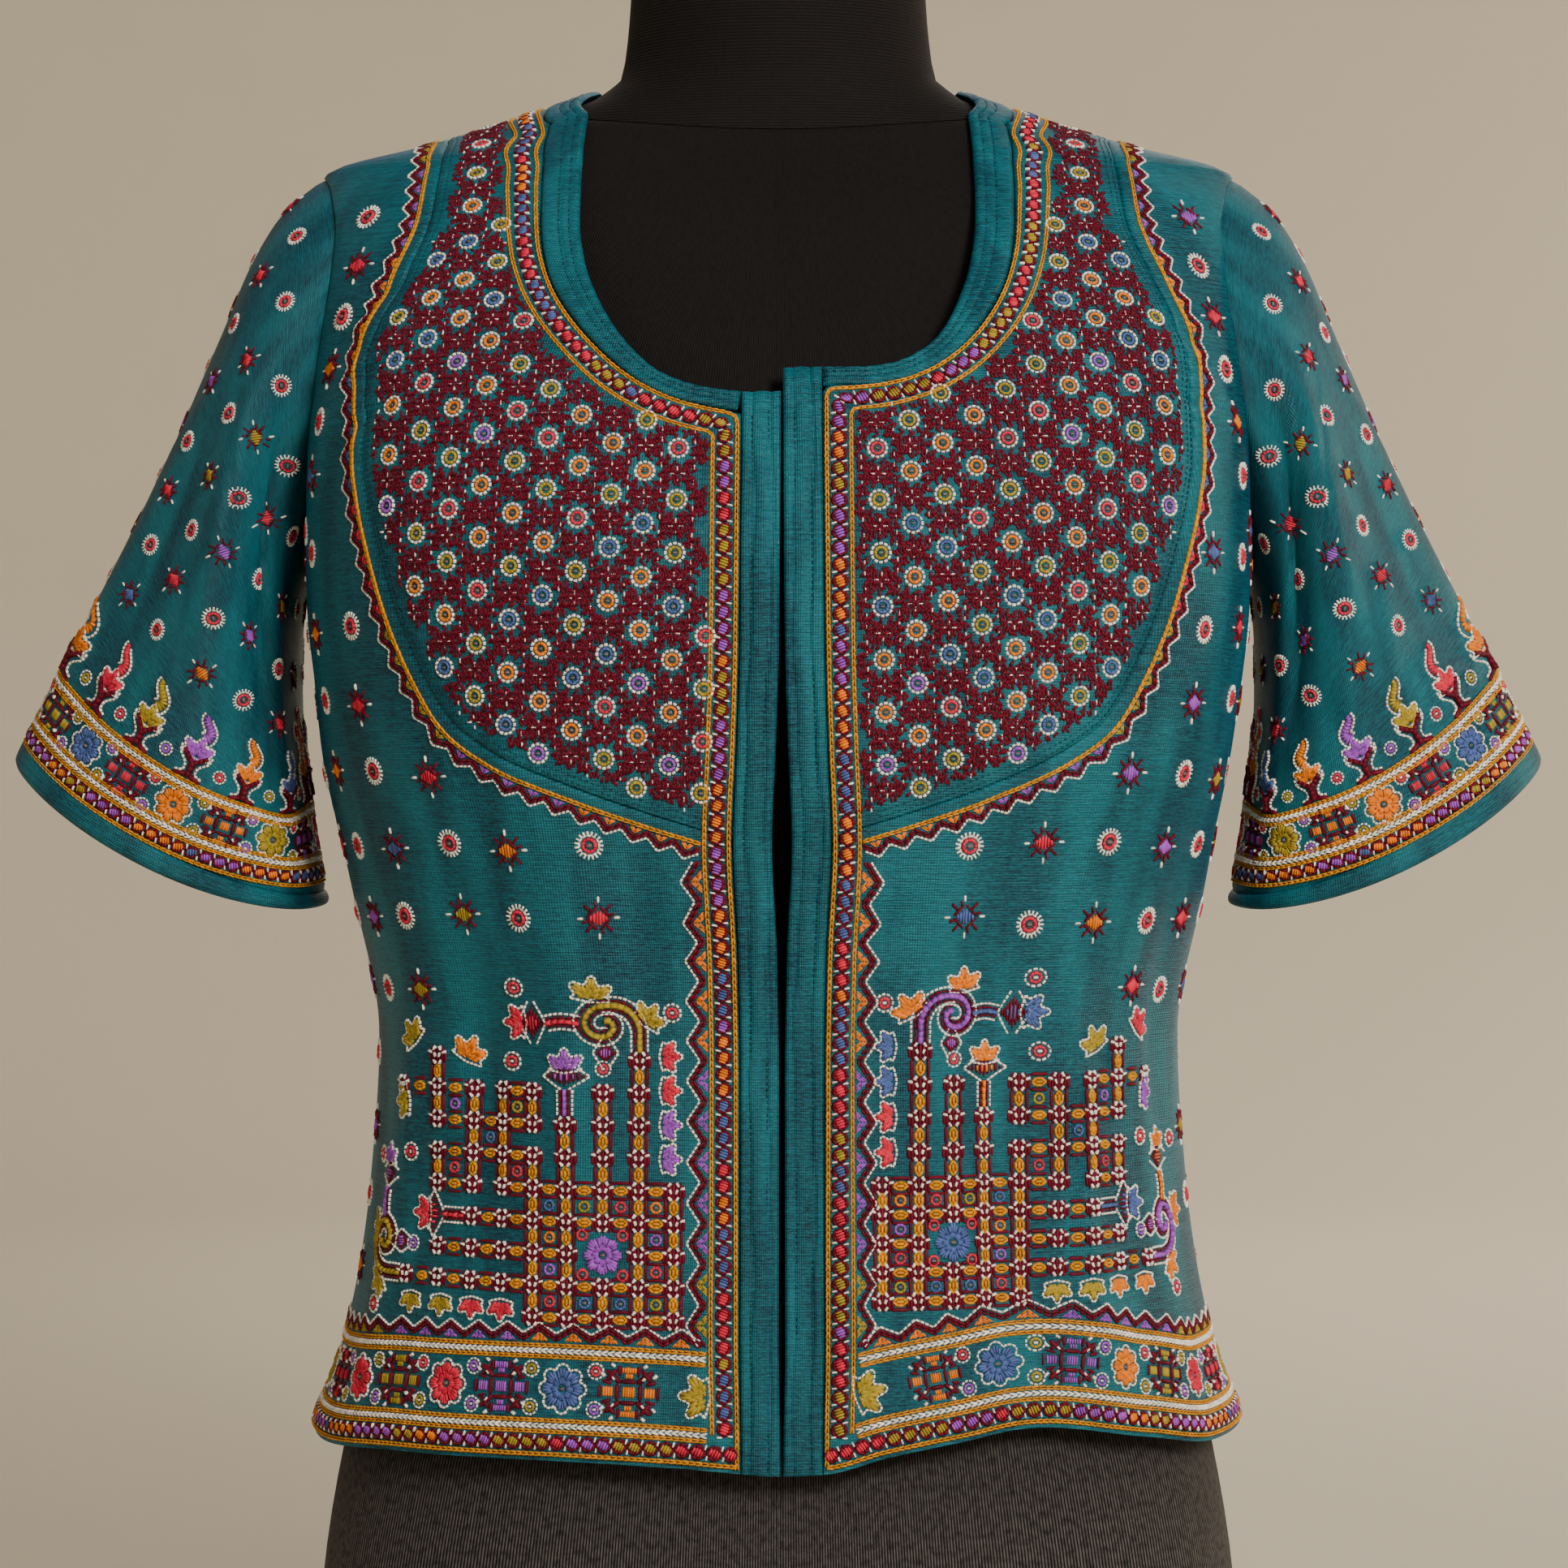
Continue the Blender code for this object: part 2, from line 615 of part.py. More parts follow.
def split_at_side(curve):
    """The parts of a neck curve before and after the top of the shoulder."""
    turn = np.abs(curve[:, 0])
    i = int(np.argmax(turn > math.pi / 2 - 1e-9))
    a, b = curve[i - 1], curve[i]
    share = (math.pi / 2 - abs(a[0])) / max(abs(b[0]) - abs(a[0]), 1e-9)
    top = a + share * (b - a)
    top[0] = math.copysign(math.pi / 2, b[0])
    beyond = curve[turn > math.pi / 2 + 1e-9]
    return np.concatenate([curve[:i], [top]]), np.concatenate([[top], beyond])


def armhole(turn, side):
    """Angle and height of the armhole seam: turn 0 at the shoulder, half a turn at the armpit.

    It is an oval seen from the side, laid on the body; the front half has turn under pi.
    """
    turn = np.asarray(turn, float)
    middle = (SHOULDER_TIP_HEIGHT + ARMPIT_HEIGHT) / 2
    height = middle + (SHOULDER_TIP_HEIGHT - ARMPIT_HEIGHT) / 2 * np.cos(turn)
    to_front = np.sin(turn) >= 0
    offset = np.abs(np.sin(turn)) * np.where(to_front, ARMHOLE_FRONT_DEPTH, ARMHOLE_BACK_DEPTH)
    half_width, front, back, _, square = section_at(CLOTH_SECTIONS, height)
    depth = np.where(to_front, front, back)
    x = half_width * (1 - np.minimum(offset / depth, 0.999) ** square) ** (1 / square)
    theta = np.arctan2(x, np.where(to_front, offset, -offset))
    return np.stack([side * theta, height], axis=-1)


def chest_seam(side):
    """The rounded seam from the shoulder to the placket's outer edge."""
    curve = front_curve(CHEST_SEAM_ROWS, side, 30)
    top = np.array([[side * math.pi / 2, CHEST_SEAM_SHOULDER_HEIGHT]])
    near_top = np.array([[0.5 * (top[0][0] + curve[0][0]), 0.76 * top[0][1] + 0.24 * curve[0][1]]])
    end = placket_line(side, PLACKET_WIDTH, CHEST_SEAM_PLACKET_HEIGHT, CHEST_SEAM_PLACKET_HEIGHT, 1)
    return np.concatenate([top, near_top, curve, end])


def add_fronts(side, names, material, trim):
    """The placket, chest piece and front panel of one side."""
    hem_start = placket_line(side, PLACKET_WIDTH, HEM_HEIGHT, HEM_HEIGHT, 1)[0][0]
    hem_inner = placket_line(side, 0.0, HEM_HEIGHT, HEM_HEIGHT, 1)[0][0]
    neck = neck_edge(side)
    band_front, _ = split_at_side(band_edge(side))
    seam = chest_seam(side)

    inner_edge = placket_line(side, 0.0, hem_height(hem_inner), neck[0][1] + 0.0005, 30)
    outer_edge = placket_line(side, PLACKET_WIDTH, hem_height(hem_start), neck[0][1], 30)
    add_cut_piece(names["placket"], joined(inner_edge, outer_edge[::-1]), BAND_WALL, trim, 0.02, 0.03)

    shoulder = upright_line(side * math.pi / 2, band_front[-1][1], seam[0][1], 5)
    down = placket_line(side, PLACKET_WIDTH, seam[-1][1], band_front[0][1], 11)
    outline = joined(shoulder, seam[1:], down[1:], band_front[1:-1])
    add_cut_piece(names["chest"], outline, PANEL_WALL, material)

    turn = np.linspace(0, math.pi, SLEEVE_SIDES // 2 + 1)
    tip = upright_line(side * math.pi / 2, seam[0][1], SHOULDER_TIP_HEIGHT, 4)
    side_seam = side_edge(side, False, 19)
    lower_edge = hem_line(side_seam[-1][0], hem_start, 17)
    up = placket_line(side, PLACKET_WIDTH, hem_height(hem_start), seam[-1][1], 12)
    outline = joined(tip, armhole(turn, side)[1:], side_seam[1:], lower_edge[1:], up[1:], seam[-2:0:-1])
    add_cut_piece(names["front"], outline, PANEL_WALL, material)


def carried_on(curve):
    """A curve of the right side, its angles a full turn on, so that it joins the left side's."""
    return np.stack([curve[:, 0] + 2 * math.pi, curve[:, 1]], axis=1)


def add_back(material):
    """The back panel, from side seam to side seam."""
    turn = np.linspace(math.pi, 2 * math.pi, SLEEVE_SIDES // 2 + 1)
    halves = []
    for side in (1, -1):
        _, band_back = split_at_side(band_edge(side))
        side_seam = side_edge(side, True, 19)[::-1]
        shoulder = upright_line(side * math.pi / 2, SHOULDER_TIP_HEIGHT, band_back[0][1], 8)
        halves.append(np.concatenate([side_seam, armhole(turn, side)[1:], shoulder[1:], band_back[1:]]))
    left, right = halves[0], carried_on(halves[1])
    lower_edge = hem_line(right[0][0], left[0][0], 33)
    add_cut_piece("back_panel", joined(left, right[::-1][1:], lower_edge[1:]), PANEL_WALL, material)


def add_neck_band(material):
    """The plain band from one placket round the back of the neck to the other."""
    inner = np.concatenate([neck_edge(1), carried_on(neck_edge(-1))[::-1][1:]])
    outer = np.concatenate([band_edge(1), carried_on(band_edge(-1))[::-1][1:]])
    add_cut_piece("neck_band", joined(inner, outer[::-1]), BAND_WALL, material, 0.012, 0.012)


def sleeve_fold_height(turn, along):
    """How far the sleeve's folds push the cloth out at each point."""
    total = np.zeros(np.broadcast(turn, along).shape)
    for fold in SLEEVE_FOLDS:
        centre = fold.turn_deg + fold.slant * (along - fold.along) / fold.along_reach
        aside = (np.degrees(turn) - centre + 180) % 360 - 180
        total = total + fold.out * np.exp(
            -((aside / fold.turn_reach) ** 2) - ((along - fold.along) / fold.along_reach) ** 2
        )
    return total * np.clip(along / 0.15, 0, 1) * np.clip((1.08 - along) / 0.25, 0, 1)


def sleeve_point(turn, along):
    """Inner face of the wearer's left sleeve, before the armhole is blended in.

    Each ring is an oval between the outer and the inner rail, with the given half depth.
    """
    turn, along = np.broadcast_arrays(np.asarray(turn, float), np.asarray(along, float))
    at = [row.along for row in SLEEVE_ROWS]
    columns = [smooth(along, at, [row[c] for row in SLEEVE_ROWS]) for c in range(1, 6)]
    outer_x, outer_z, inner_x, inner_z, half_depth = columns
    middle_x, middle_z = (outer_x + inner_x) / 2, (outer_z + inner_z) / 2
    half = np.hypot(outer_x - inner_x, outer_z - inner_z) / 2
    across_x, across_z = (outer_x - inner_x) / (2 * half), (outer_z - inner_z) / (2 * half)
    out = sleeve_fold_height(turn, along)
    cosine, sine = np.cos(turn), np.sin(turn)
    reach, depth = (half + out) * cosine, (half_depth + out) * sine
    lower = SLEEVE_FRONT_DROP * along**3 * np.clip(sine, 0, 1) ** 1.5
    middle_y = section_at(CLOTH_SECTIONS, SHOULDER_TIP_HEIGHT)[3]
    return np.stack(
        [middle_x + reach * across_x, middle_y - depth, middle_z + reach * across_z - lower], axis=-1
    )


def sleeve_surface(turn, along, side):
    """The sleeve's inner face: its armhole end lies on the body's armhole seam."""
    turn, along = np.broadcast_arrays(np.asarray(turn, float), np.asarray(along, float))
    tube = sleeve_point(turn, along)
    seam = armhole(turn, 1)
    start = cloth(seam[..., 0], seam[..., 1])
    offset = (start - sleeve_point(turn, np.zeros_like(along))) * (1 - ease(along / SLEEVE_BLEND))[..., None]
    point = tube + offset
    point[..., 0] *= side
    return point


def sleeve_normal(turn, along, side):
    """Unit normal of the sleeve, away from its hollow."""
    small = 1e-3
    by_turn = sleeve_surface(turn + small, along, side) - sleeve_surface(turn - small, along, side)
    ahead, behind = np.minimum(along + small, 1.0), np.maximum(along - small, 0.0)
    by_along = sleeve_surface(turn, ahead, side) - sleeve_surface(turn, behind, side)
    normal = np.cross(by_turn, by_along) * side
    return normal / np.linalg.norm(normal, axis=-1, keepdims=True)


def armhole_rings(turn, side, wall):
    """The sleeve's first two rings, inner and outer, in the armhole and just out of it.

    The wall leaves the hole at the slope of the sleeve there: flat on the shoulder,
    square to the body under the arm. Its outer face keeps a seam gap from the panels' edge.
    """
    seam = armhole(turn, side)
    edge = cloth(seam[:, 0], seam[:, 1])
    normal = outwards(seam[:, 0], seam[:, 1])
    tangent = np.roll(edge, -1, axis=0) - np.roll(edge, 1, axis=0)
    inwards = np.cross(normal, tangent)
    inwards = inwards / np.linalg.norm(inwards, axis=1, keepdims=True)
    inwards = inwards * np.sign(np.sum(inwards * (edge.mean(axis=0) - edge), axis=1, keepdims=True))
    leaving = sleeve_surface(turn, np.full_like(turn, SLEEVE_LEAVES), side) - edge
    slope = np.arctan2(np.sum(leaving * normal, axis=1), np.sum(leaving * inwards, axis=1))
    slope = np.clip(slope, 0, math.pi / 2)[:, None]
    first_outer = edge + inwards * SEAM_GAP / 2 + normal * wall * np.cos(slope)
    through = normal * np.cos(slope) - inwards * np.sin(slope)
    onwards = normal * np.sin(slope) + inwards * np.cos(slope)
    second_outer = first_outer + onwards * (wall + SLEEVE_LIFT)
    return [(outer - wall * through, outer) for outer in (first_outer, second_outer)]


def add_tube(name, inner, outer, material):
    """A closed wall round a hollow, from rings of inner and outer points."""
    rings, sides = inner.shape[:2]
    count = rings * sides
    faces = []
    for i in range(rings):
        for j in range(sides):
            a, b = i * sides + j, i * sides + (j + 1) % sides
            if i < rings - 1:
                faces.append((a + sides, b + sides, b, a))
                faces.append((count + a, count + b, count + b + sides, count + a + sides))
            if i == 0:
                faces.append((a, b, b + count, a + count))
            if i == rings - 1:
                faces.append((b, a, a + count, b + count))
    points = np.concatenate([inner.reshape(-1, 3), outer.reshape(-1, 3)])
    made = add_object(name, points, faces, material)
    if tube_volume(points, faces) < 0:
        made.data.flip_normals()
    return made


def tube_volume(points, faces):
    """Six times the volume that the faces enclose, negative where they point inwards."""
    total = 0.0
    for face in faces:
        for i in range(1, len(face) - 1):
            total += float(np.dot(points[face[0]], np.cross(points[face[i]], points[face[i + 1]])))
    return total


def sleeve_length(side):
    """Length of the sleeve's front line from the armhole to its end."""
    line = sleeve_surface(np.full(40, math.pi / 2), np.linspace(0, 1, 40), side)
    return float(np.linalg.norm(np.diff(line, axis=0), axis=1).sum())


def add_sleeve(side, sleeve_name, cuff_name, material, trim):
    """A set-in sleeve and the plain band at its end."""
    turn = np.linspace(0, 2 * math.pi, SLEEVE_SIDES, endpoint=False)
    length = sleeve_length(side)
    cuff_start = 1 - CUFF_WIDTH / length
    along = cuff_start - SEAM_GAP / length
    grid_turn, grid_along = np.meshgrid(turn, np.linspace(SLEEVE_LEAVES, along, SLEEVE_RINGS - 2))
    inner = sleeve_surface(grid_turn, grid_along, side)
    outer = inner + PANEL_WALL * sleeve_normal(grid_turn, grid_along, side)
    first, second = armhole_rings(turn, side, PANEL_WALL)
    inner = np.concatenate([[first[0]], [second[0]], inner])
    outer = np.concatenate([[first[1]], [second[1]], outer])
    add_tube(sleeve_name, inner, outer, material)

    grid_turn, grid_along = np.meshgrid(turn, np.linspace(cuff_start, 1, 2))
    inner = sleeve_surface(grid_turn, grid_along, side)
    outer = inner + BAND_WALL * sleeve_normal(grid_turn, grid_along, side)
    add_tube(cuff_name, inner, outer, trim)


def neck_seam_height(theta):
    """Height of the form's neck seam: low at the front, high at the back."""
    return NECK_SEAM_HEIGHT - NECK_SEAM_TILT * np.cos(theta) + NECK_SEAM_DIP * np.cos(2 * theta)


def add_stack(name, rings, material):
    """A closed solid from rings of points, bottom to top, its ends filled from their middles."""
    count, sides = rings.shape[:2]
    last = count * sides
    points = np.concatenate([rings.reshape(-1, 3), [rings[0].mean(axis=0)], [rings[-1].mean(axis=0)]])
    faces = []
    for j in range(sides):
        k = (j + 1) % sides
        faces.append((k, j, last))
        faces.append((last - sides + j, last - sides + k, last + 1))
        for i in range(0, last - sides, sides):
            faces.append((i + j, i + k, i + k + sides, i + j + sides))
    return add_object(name, points, faces, material, 40.0)


def add_form(material):
    """The dress form: a torso on its flat underside, and its neck above a seam."""
    theta = np.linspace(0, 2 * math.pi, FORM_SIDES, endpoint=False)
    seam = neck_seam_height(theta)
    low = np.concatenate([[0.0, 0.003, 0.008], np.linspace(0.035, 0.665, 19)])
    share = np.linspace(0, 1, 15)[1:] ** 0.85
    rings = [wrapped(FORM_SECTIONS, theta, np.full_like(theta, z), False) for z in low]
    rings += [wrapped(FORM_SECTIONS, theta, low[-1] + (seam - SEAM_GAP - low[-1]) * s, False) for s in share]
    add_stack("form_body", np.array(rings), material)
    rings = [
        wrapped(FORM_SECTIONS, theta, seam + (FORM_TOP_HEIGHT - seam) * s, False)
        for s in (0.0, 0.15, 0.35, 0.6, 0.85, 0.95, 1.0)
    ]
    add_stack("form_neck", np.array(rings), material)


def add_material(name, colour, roughness):
    """A plain Principled material."""
    made = bpy.data.materials.new(name)
    made.use_nodes = True
    made.diffuse_color = (*colour, 1.0)
    shader = made.node_tree.nodes["Principled BSDF"]
    shader.inputs["Base Color"].default_value = (*colour, 1.0)
    shader.inputs["Roughness"].default_value = roughness
    return made


def main():
    """Clears the scene and builds the blouse and its form."""
    for old in list(bpy.data.objects):
        bpy.data.objects.remove(old)
    silk = add_material("teal_silk", (0.006, 0.105, 0.125), 0.45)
    trim = add_material("teal_silk_bands", (0.007, 0.115, 0.125), 0.50)
    jersey = add_material("black_jersey", (0.012, 0.010, 0.011), 0.80)
    for side, word in ((1, "left"), (-1, "right")):
        names = {piece: f"{piece}_{word}" for piece in ("placket", "chest", "front")}
        add_fronts(side, names, silk, trim)
        add_sleeve(side, f"sleeve_{word}", f"cuff_{word}", silk, trim)
    add_back(silk)
    add_neck_band(trim)
    add_form(jersey)


main()
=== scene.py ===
"""Looks of a hand-embroidered choli blouse of teal shot silk, worn by a black jersey dress form.

Metres, +Z up, the front faces -Y. Right and left are the wearer's: the right side is at -X.
The blouse is a wrapped surface, and everything sewn on it is placed in that surface's own
two parameters, so that cloth, creases, bands and stitches all follow one form.
"""

import json
import logging
import math
from abc import ABC, abstractmethod
from dataclasses import dataclass, field
from enum import Enum
from typing import Callable, Iterable, Sequence

import bmesh
import bpy
import numpy as np
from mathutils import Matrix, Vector

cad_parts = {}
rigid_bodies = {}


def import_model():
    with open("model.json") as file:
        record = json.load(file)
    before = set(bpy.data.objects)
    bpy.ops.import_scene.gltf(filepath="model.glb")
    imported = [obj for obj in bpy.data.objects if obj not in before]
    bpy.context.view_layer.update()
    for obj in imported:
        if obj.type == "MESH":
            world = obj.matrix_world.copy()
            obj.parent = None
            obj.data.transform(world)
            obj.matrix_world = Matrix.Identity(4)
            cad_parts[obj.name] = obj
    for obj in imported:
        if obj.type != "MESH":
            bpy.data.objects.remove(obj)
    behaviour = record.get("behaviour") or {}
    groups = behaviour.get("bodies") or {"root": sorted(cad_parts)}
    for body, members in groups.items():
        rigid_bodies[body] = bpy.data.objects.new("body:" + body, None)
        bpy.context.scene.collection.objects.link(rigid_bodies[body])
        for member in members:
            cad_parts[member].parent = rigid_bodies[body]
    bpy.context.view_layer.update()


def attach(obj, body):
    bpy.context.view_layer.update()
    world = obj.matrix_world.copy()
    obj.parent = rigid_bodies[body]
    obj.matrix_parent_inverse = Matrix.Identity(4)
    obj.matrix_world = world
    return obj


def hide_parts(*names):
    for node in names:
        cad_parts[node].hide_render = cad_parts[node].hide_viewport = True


for leftover in list(bpy.data.objects):
    bpy.data.objects.remove(leftover)
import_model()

Array = np.ndarray
Edge = Callable[[Array], Array]
log = logging.getLogger("choli")

# Cloth thickness of the body pieces and of the bands.
PANEL_WALL = 0.0014
BAND_WALL = 0.0022
SEAM_HALF_GAP = 0.00015

# Main heights and widths of the blouse.
HEM_HEIGHT = 0.203
SLIT_TOP = 0.272
ARMPIT_HEIGHT = 0.565
SHOULDER_TIP_HEIGHT = 0.706
NECK_POINT_HEIGHT = 0.742
NECK_FRONT_HEIGHT = {-1: 0.6067, 1: 0.6165}
NECK_BACK_HEIGHT = 0.7385
CENTRE_FRONT_X = 0.0015
PLACKET_WIDTH = 0.015
NECK_BAND_SIDE = 0.0145
NECK_BAND_FRONT = 0.0085
CUFF_WIDTH = 0.009
ARMHOLE_FRONT_DEPTH = 0.052
ARMHOLE_BACK_DEPTH = 0.05
SLIT_FLARE = 0.007
SLIT_HALF_ANGLE = 0.022
SLIT_FLARE_ANGLE = 1.75
SLIT_FLARE_REACH = 0.3
CHEST_SEAM_SHOULDER_HEIGHT = 0.7214
CHEST_SEAM_PLACKET_HEIGHT = 0.4395
FORM_TOP_HEIGHT = 0.805

# Metres of cloth for each radian round the body and round a sleeve, for the weave's UV map.
BODY_RADIUS = 0.15
SLEEVE_RADIUS = 0.065
SLEEVE_LENGTH = 0.27


@dataclass(frozen=True)
class Section:
    """One horizontal section: depths are measured from middle, which is a Y."""

    height: float
    half_width: float
    front: float
    back: float
    middle: float
    squareness: float


@dataclass(frozen=True)
class Fold:
    """A soft ridge (out > 0) or trough of the body's cloth."""

    theta_deg: float
    height: float
    lean_deg: float
    along: float
    across: float
    out: float


@dataclass(frozen=True)
class SleeveRow:
    """The sleeve's outer and inner rails seen from the front, at a share of its length."""

    along: float
    outer_x: float
    outer_z: float
    inner_x: float
    inner_z: float
    half_depth: float


@dataclass(frozen=True)
class SleeveFold:
    """A soft ridge or trough of a sleeve; turn is 0 on the outer line and 90 at the front."""

    turn_deg: float
    along: float
    slant: float
    along_reach: float
    turn_reach: float
    out: float


def table(kind: type, *rows: tuple) -> tuple:
    """The rows of a table, each made one of a kind."""
    return tuple(kind(*row) for row in rows)


SHOULDER_SECTIONS = table(
    Section,
    (0.69, 0.1865, 0.074, 0.084, 0.006, 2.6), (SHOULDER_TIP_HEIGHT, 0.184, 0.063, 0.077, 0.008, 2.2),
    (0.718, 0.144, 0.056, 0.071, 0.008, 2.0), (0.7295, 0.105, 0.052, 0.064, 0.008, 2.0),
    (NECK_POINT_HEIGHT, 0.0725, 0.049, 0.055, 0.008, 2.0), (0.76, 0.06, 0.046, 0.05, 0.008, 2.0),
)
CLOTH_SECTIONS = table(
    Section,
    (0.19, 0.1855, 0.129, 0.12, 0.0, 2.2), (HEM_HEIGHT, 0.1825, 0.127, 0.118, 0.0, 2.2),
    (0.24, 0.1728, 0.122, 0.111, 0.0, 2.2), (0.3, 0.1637, 0.117, 0.103, 0.0, 2.2),
    (0.36, 0.16, 0.115, 0.096, 0.0, 2.3), (0.42, 0.171, 0.122, 0.095, 0.0, 2.4),
    (0.48, 0.182, 0.133, 0.098, 0.0, 2.6), (0.54, 0.188, 0.139, 0.101, 0.0, 2.7),
    (0.59, 0.188, 0.131, 0.102, 0.0, 2.8), (0.63, 0.1875, 0.115, 0.1, 0.002, 2.8),
    (0.66, 0.187, 0.095, 0.094, 0.004, 2.8),
) + SHOULDER_SECTIONS

# The form's shoulders lie this far under the cloth, and its front, back and sides inside it.
SHOULDER_CLEARANCE = 0.002
CHEST_CLEARANCE = 0.0014
NECK_CLEARANCE = 0.001
FORM_SECTIONS = (
    table(
        Section,
        (0.0, 0.174, 0.11, 0.116, 0.0, 2.3), (0.008, 0.181, 0.117, 0.123, 0.0, 2.3),
        (0.08, 0.188, 0.123, 0.13, 0.0, 2.3), (0.14, 0.184, 0.121, 0.124, 0.0, 2.3),
        (0.2, 0.1745, 0.114, 0.108, 0.0, 2.2), (0.26, 0.155, 0.103, 0.093, 0.0, 2.1),
        (0.32, 0.137, 0.095, 0.084, 0.0, 2.1), (0.355, 0.133, 0.094, 0.082, 0.0, 2.1),
        (0.4, 0.143, 0.101, 0.084, 0.0, 2.2), (0.46, 0.161, 0.117, 0.088, 0.0, 2.3),
        (0.53, 0.176, 0.132, 0.095, 0.0, 2.4), (0.58, 0.176, 0.124, 0.097, 0.0, 2.4),
        (0.62, 0.175, 0.11, 0.095, 0.001, 2.4), (0.655, 0.174, 0.09, 0.09, 0.004, 2.5),
    )
    + tuple(
        Section(
            row.height - SHOULDER_CLEARANCE,
            min(row.half_width, 0.1765) - NECK_CLEARANCE,
            row.front - CHEST_CLEARANCE,
            row.back - CHEST_CLEARANCE,
            row.middle,
            row.squareness,
        )
        for row in SHOULDER_SECTIONS[:5]
    )
    + table(
        Section,
        (0.745, 0.065, 0.047, 0.049, 0.007, 2.0), (0.756, 0.0622, 0.047, 0.048, 0.005, 2.0),
        (0.779, 0.06, 0.0485, 0.049, 0.003, 2.0), (0.801, 0.059, 0.049, 0.0485, 0.002, 2.0),
        (FORM_TOP_HEIGHT, 0.056, 0.046, 0.0455, 0.002, 2.0),
    )
)

# Large folds of the body, the same as the solids have.
BODY_FOLDS = table(
    Fold,
    (-38.0, 0.385, -4.0, 0.085, 0.011, 0.003), (-52.0, 0.36, -2.0, 0.075, 0.01, -0.0035),
    (-24.0, 0.4, 3.0, 0.06, 0.01, -0.002), (-68.0, 0.3, 6.0, 0.07, 0.012, 0.0035),
    (27.0, 0.395, 5.0, 0.08, 0.011, 0.0032), (39.0, 0.33, 2.0, 0.1, 0.012, -0.0036),
    (52.0, 0.3, -3.0, 0.095, 0.012, 0.0038), (70.0, 0.37, -6.0, 0.075, 0.011, -0.003),
    (150.0, 0.3, 4.0, 0.11, 0.014, 0.004), (172.0, 0.33, -2.0, 0.1, 0.013, -0.0036),
    (196.0, 0.3, 2.0, 0.11, 0.014, 0.0038), (222.0, 0.32, -5.0, 0.095, 0.013, -0.0034),
    (122.0, 0.42, -20.0, 0.06, 0.011, 0.003), (238.0, 0.42, 20.0, 0.06, 0.011, 0.003),
    (12.0, 0.255, 0.0, 0.05, 0.01, 0.0022), (-12.0, 0.24, 0.0, 0.045, 0.01, 0.002),
)
# Finer creases that only the thin cloth shows.
BODY_CREASES = table(
    Fold,
    (-66.0, 0.64, 38.0, 0.03, 0.0035, -0.0016), (-62.0, 0.622, 42.0, 0.032, 0.004, 0.0014),
    (-60.0, 0.6, 46.0, 0.03, 0.0035, -0.0015), (-70.0, 0.585, 30.0, 0.026, 0.004, 0.0014),
    (-58.0, 0.655, 30.0, 0.024, 0.003, 0.001), (64.0, 0.628, -40.0, 0.03, 0.0036, -0.0013),
    (69.0, 0.6, -34.0, 0.028, 0.0038, 0.0012), (60.0, 0.61, -46.0, 0.022, 0.003, -0.001),
    (-16.0, 0.415, -70.0, 0.018, 0.004, 0.001), (-19.0, 0.398, -76.0, 0.02, 0.0036, -0.0009),
    (17.0, 0.42, 72.0, 0.018, 0.0038, 0.001), (20.0, 0.405, 66.0, 0.022, 0.004, -0.001),
    (-33.0, 0.425, -8.0, 0.03, 0.0046, 0.0011), (-46.0, 0.44, 12.0, 0.032, 0.0044, -0.0011),
    (34.0, 0.43, 10.0, 0.03, 0.0044, 0.0012), (47.0, 0.438, -8.0, 0.034, 0.0048, -0.0012),
    (-80.0, 0.47, 18.0, 0.04, 0.0055, 0.0013), (80.0, 0.47, -16.0, 0.04, 0.0055, -0.0014),
    (136.0, 0.56, 24.0, 0.045, 0.006, 0.0014), (144.0, 0.53, 18.0, 0.04, 0.005, -0.0012),
    (224.0, 0.555, -22.0, 0.045, 0.0056, -0.0014), (214.0, 0.535, -26.0, 0.04, 0.005, 0.0012),
    (165.0, 0.44, 4.0, 0.05, 0.006, 0.0013), (188.0, 0.42, -3.0, 0.06, 0.0056, -0.0014),
    (204.0, 0.45, 6.0, 0.045, 0.005, 0.0012),
)
OPENING_ROWS = (
    (0.19, 0.0004), (0.215, 0.0006), (0.25, 0.0012), (0.3, 0.0011), (0.35, 0.0011), (0.395, 0.0018),
    (0.437, 0.0037), (0.475, 0.0022), (0.51, 0.0011), (0.56, 0.0006), (0.59, 0.0004), (0.64, 0.0004),
)
NECKLINE_ROWS = {
    -1: (
        (0.029, 0.609), (0.0436, 0.6143), (0.054, 0.623), (0.0623, 0.6336), (0.0695, 0.647), (0.0741, 0.66),
        (0.0768, 0.678), (0.077, 0.694), (0.0768, 0.711), (0.0755, 0.727),
    ),
    1: (
        (0.0323, 0.6167), (0.043, 0.6182), (0.0555, 0.6245), (0.0625, 0.632), (0.069, 0.645), (0.0738, 0.66),
        (0.0764, 0.678), (0.0768, 0.694), (0.0766, 0.711), (0.0755, 0.727),
    ),
}
CHEST_SEAM_ROWS = (
    (0.1322, 0.7165), (0.1335, 0.7055), (0.1355, 0.682), (0.1465, 0.6525), (0.157, 0.627), (0.1585, 0.605),
    (0.1588, 0.586), (0.1565, 0.5685), (0.151, 0.546), (0.144, 0.5235), (0.133, 0.499), (0.123, 0.4835),
    (0.1045, 0.4705), (0.0795, 0.46), (0.053, 0.4505), (0.0285, 0.443),
)
